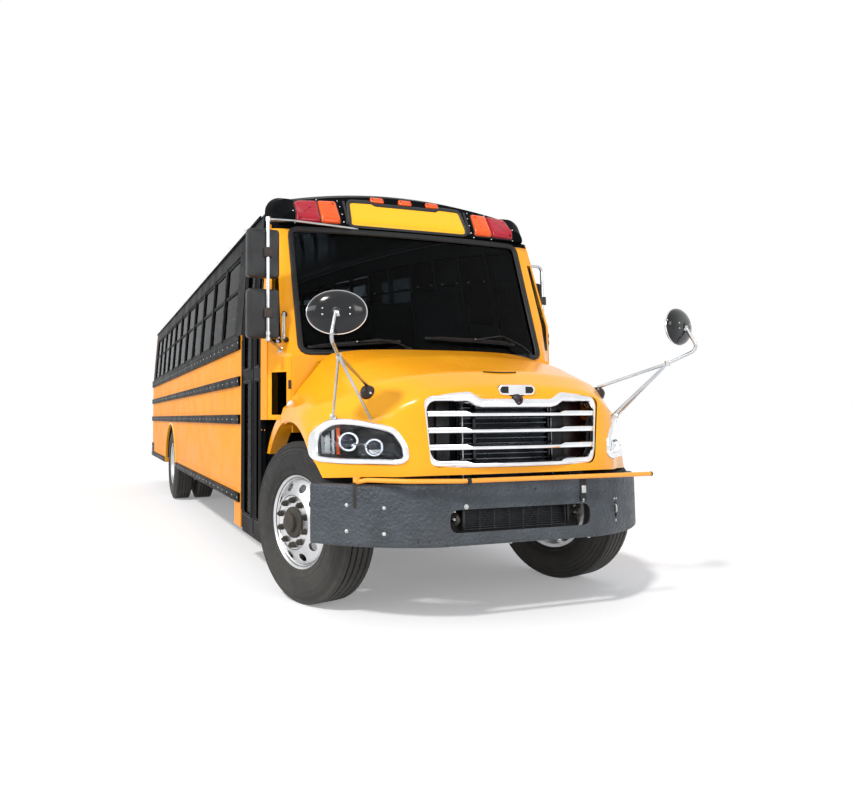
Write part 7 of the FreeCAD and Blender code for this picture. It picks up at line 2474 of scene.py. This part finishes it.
class BUS_OT_seats(bpy.types.Operator):
    """Passenger benches and the driver's seat: vinyl pads on steel frames"""
    bl_idname = "school_bus.seats"
    bl_label = "Seats"

    def execute(self, context):
        cushion = pad_mesh((0.400, 0.975, 0.120), 0.030)
        back = pad_mesh((0.085, 0.975, 0.690), 0.028)
        lean = Matrix(((1, 0, -0.035, 0), (0, 1, 0, 0), (0, 0, 1, 0), (0, 0, 0, 1)))
        for name in ("right_seats", "left_seats"):
            low, high = (Vector(corner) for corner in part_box(name))
            middle = (low.y + high.y) / 2
            pads, frames = Work("seat_vinyl"), Work("black_satin", "zinc", "black_plastic")
            for bay in range(BAYS - 1):
                front = high.x - bay * BAY
                pads.copied(cushion, Matrix.Translation((front - 0.205, middle, 1.515)), "seat_vinyl")
                pads.copied(back, Matrix.Translation((front - 0.430, middle, 1.795)) @ lean, "seat_vinyl")
                self.frame_of(frames, front, low.y, high.y)
            pads.done(f"{name}_pads", "bus", "seat_cover", angle=60, replaced=(name,))
            frames.done(f"{name}_frames", "bus", "black_paint")
        self.driver()
        return {"FINISHED"}

    def frame_of(self, work, front, low, high):
        """Two bent-tube legs on bolted foot plates and a rail along each edge of the cushion."""
        for across in (low + 0.080, low + 0.660):
            path = smooth_path([(front - 0.080, across, 1.152), (front - 0.080, across, 1.452),
                                (front - 0.400, across, 1.452), (front - 0.400, across, 1.152)], 0.05, 5)
            work.tube(path, 0.014, "black_satin", 12)
            for x in (front - 0.080, front - 0.400):
                work.block((x - 0.035, across - 0.025, 1.150), (x + 0.035, across + 0.025, 1.157),
                           "black_satin", 0.002)
                work.bolt((x + 0.024, across, 1.157), (0, 0, 1), 0.007, "zinc")
        for x in (front - 0.030, front - 0.395):
            work.rod((x, low + 0.01, 1.445), (x, high - 0.01, 1.445), 0.012, "black_satin", 12)

    def driver(self):
        """A high-backed seat on an air-sprung pedestal, with an armrest."""
        low, high = (Vector(corner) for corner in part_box("driver_seat"))
        across = (low.y + high.y) / 2
        cushion = pad_mesh((0.480, 0.470, 0.115), 0.035)
        back = pad_mesh((0.090, 0.460, 0.700), 0.035)
        pads = Work("seat_vinyl")
        pads.copied(cushion, Matrix.Translation((high.x - 0.245, across, 1.540)), "seat_vinyl")
        lean = Matrix(((1, 0, -0.205, 0), (0, 1, 0, 0), (0, 0, 1, 0), (0, 0, 0, 1)))
        pads.copied(back, Matrix.Translation((high.x - 0.578, across, 1.880)) @ lean, "seat_vinyl")
        pads.done("driver_seat_pads", "bus", "seat_cover", angle=60, replaced=("driver_seat",))
        work = Work("black_satin", "black_plastic", "zinc", "seal_rubber")
        work.block((high.x - 0.43, across - 0.16, 1.150), (high.x - 0.07, across + 0.16, 1.172),
                   "black_satin", 0.004)
        profile = [(0, 0.095)]
        for k in range(5):
            profile += [(0.022 + k * 0.050, 0.100), (0.045 + k * 0.050, 0.078)]
        work.lathe((high.x - 0.25, across, 1.172), (0, 0, 1), profile + [(0.290, 0.095)], "seal_rubber", 40)
        work.block((high.x - 0.46, across - 0.21, 1.462), (high.x - 0.03, across + 0.21, 1.486),
                   "black_satin", 0.006)
        for side in (-1, 1):
            work.block((high.x - 0.50, across + side * 0.225 - 0.012, 1.490),
                       (high.x - 0.05, across + side * 0.225 + 0.012, 1.530), "black_plastic", 0.008)
        work.done("driver_seat_base", "bus", "black_paint")


class BUS_OT_cabin(bpy.types.Operator):
    """Ribbed floor, steps, dashboard and steering wheel"""
    bl_idname = "school_bus.cabin"
    bl_label = "Cabin"

    def execute(self, context):
        work = Work("floor_rubber", "black_satin", "zinc")
        work.node("floor", rule=lambda middle, normal: "floor_rubber" if normal.z > 0.5 else "black_satin")
        low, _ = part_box("floor")
        for k in range(13):
            across = -0.145 + k * 0.0242
            work.tube([(low[0] + 0.02, across, 1.1505), (ahead(-1.00), across, 1.1505)], 0, "floor_rubber", 6,
                      flat=(0.007, 0.0025))
        for outer, height in ((1.185, 0.300), (0.930, 0.585), (0.700, 0.868), (0.480, 1.150)):
            work.block((ahead(-1.320), -outer + 0.001, height - 0.002),
                       (ahead(-0.640), -outer + 0.045, height + 0.003),
                       "zinc", 0.001)
            for k in range(4):
                across = -outer + 0.07 + k * 0.035
                work.tube([(ahead(-1.31), across, height + 0.0005), (ahead(-0.65), across, height + 0.0005)],
                          0,
                          "floor_rubber", 6, flat=(0.008, 0.0025))
        work.done("cabin_floor", "bus", "floor_steel", replaced=("floor",))
        self.dash()
        return {"FINISHED"}

    def dash(self):
        """Moulded dash with gauges, switches, vents, and a leather-grained wheel."""
        work = Work("grey_plastic", "black_plastic", "gloss_plastic", "zinc")
        wheel = Vector((ahead(-0.705), 0.560, 1.560))

        def finish(middle, normal):
            return "black_plastic" if (middle - wheel).length < 0.26 else "grey_plastic"

        work.node("dashboard", rule=finish)
        for across, height, radius in ((0.455, 1.565, 0.048), (0.575, 1.565, 0.048), (0.665, 1.585, 0.026),
                                       (0.665, 1.535, 0.026), (0.385, 1.560, 0.022)):
            place = Vector((ahead(-0.560), across, height))
            work.lathe(place, (-1, 0, 0),
                       [(-0.004, radius + 0.005), (0.005, radius + 0.005), (0.006, radius)],
                       "black_plastic", 28)
            work.lathe(place, (-1, 0, 0), [(0.000, radius), (0.003, radius * 0.98), (0.0035, 0.0001)],
                       "gloss_plastic", 28)
        for k in range(9):
            work.block((ahead(-0.566), 0.16 - k * 0.055, 1.415), (ahead(-0.558), 0.20 - k * 0.055, 1.452),
                       "gloss_plastic", 0.003)
        for across in (-0.85, -0.60, 0.05, 0.92):
            for k in range(5):
                work.rod((ahead(-0.470), across - 0.06, 1.546 + k * 0.002),
                         (ahead(-0.470) + 0.001, across + 0.06, 1.546),
                         0.003, "black_plastic", 8)
        work.done("dash", "bus", "grey_plastic", replaced=("dashboard",))


# ------------------------------------------------------------------ sidebar

GROUPS = (SchoolBusColours, SchoolBusSizes)
PIECES = (BUS_OT_chassis, BUS_OT_hood, BUS_OT_grille, BUS_OT_headlights, BUS_OT_bumper,
          BUS_OT_crossing_arm, BUS_OT_wheels, BUS_OT_windshield, BUS_OT_front_cap,
          BUS_OT_body_sides, BUS_OT_windows, BUS_OT_roof,
          BUS_OT_crossview_mirrors, BUS_OT_side_mirrors, BUS_OT_entrance, BUS_OT_rear, BUS_OT_stop_arm,
          BUS_OT_arches,
          BUS_OT_seats, BUS_OT_cabin, BUS_OT_stage)


class VIEW3D_PT_school_bus(bpy.types.Panel):
    """Colours, sizes and pieces of the school bus"""
    bl_label = "School Bus"
    bl_idname = "VIEW3D_PT_school_bus"
    bl_space_type = "VIEW_3D"
    bl_region_type = "UI"
    bl_category = "School Bus"

    def draw(self, context):
        for group in (context.scene.school_bus_colours, context.scene.school_bus_sizes):
            box = self.layout.box()
            for name in group.__annotations__:
                box.prop(group, name)
        for piece in PIECES:
            self.layout.operator(piece.bl_idname)


def register():
    for kind in GROUPS + PIECES + (VIEW3D_PT_school_bus,):
        bpy.utils.register_class(kind)
    bpy.types.Scene.school_bus_colours = bpy.props.PointerProperty(type=SchoolBusColours)
    bpy.types.Scene.school_bus_sizes = bpy.props.PointerProperty(type=SchoolBusSizes)


def unregister():
    del bpy.types.Scene.school_bus_sizes
    del bpy.types.Scene.school_bus_colours
    for kind in (VIEW3D_PT_school_bus,) + PIECES[::-1] + GROUPS[::-1]:
        bpy.utils.unregister_class(kind)


def main():
    register()
    for piece in PIECES:
        group, name = piece.bl_idname.split(".")
        getattr(getattr(bpy.ops, group), name)()


if __name__ == "__main__":
    main()
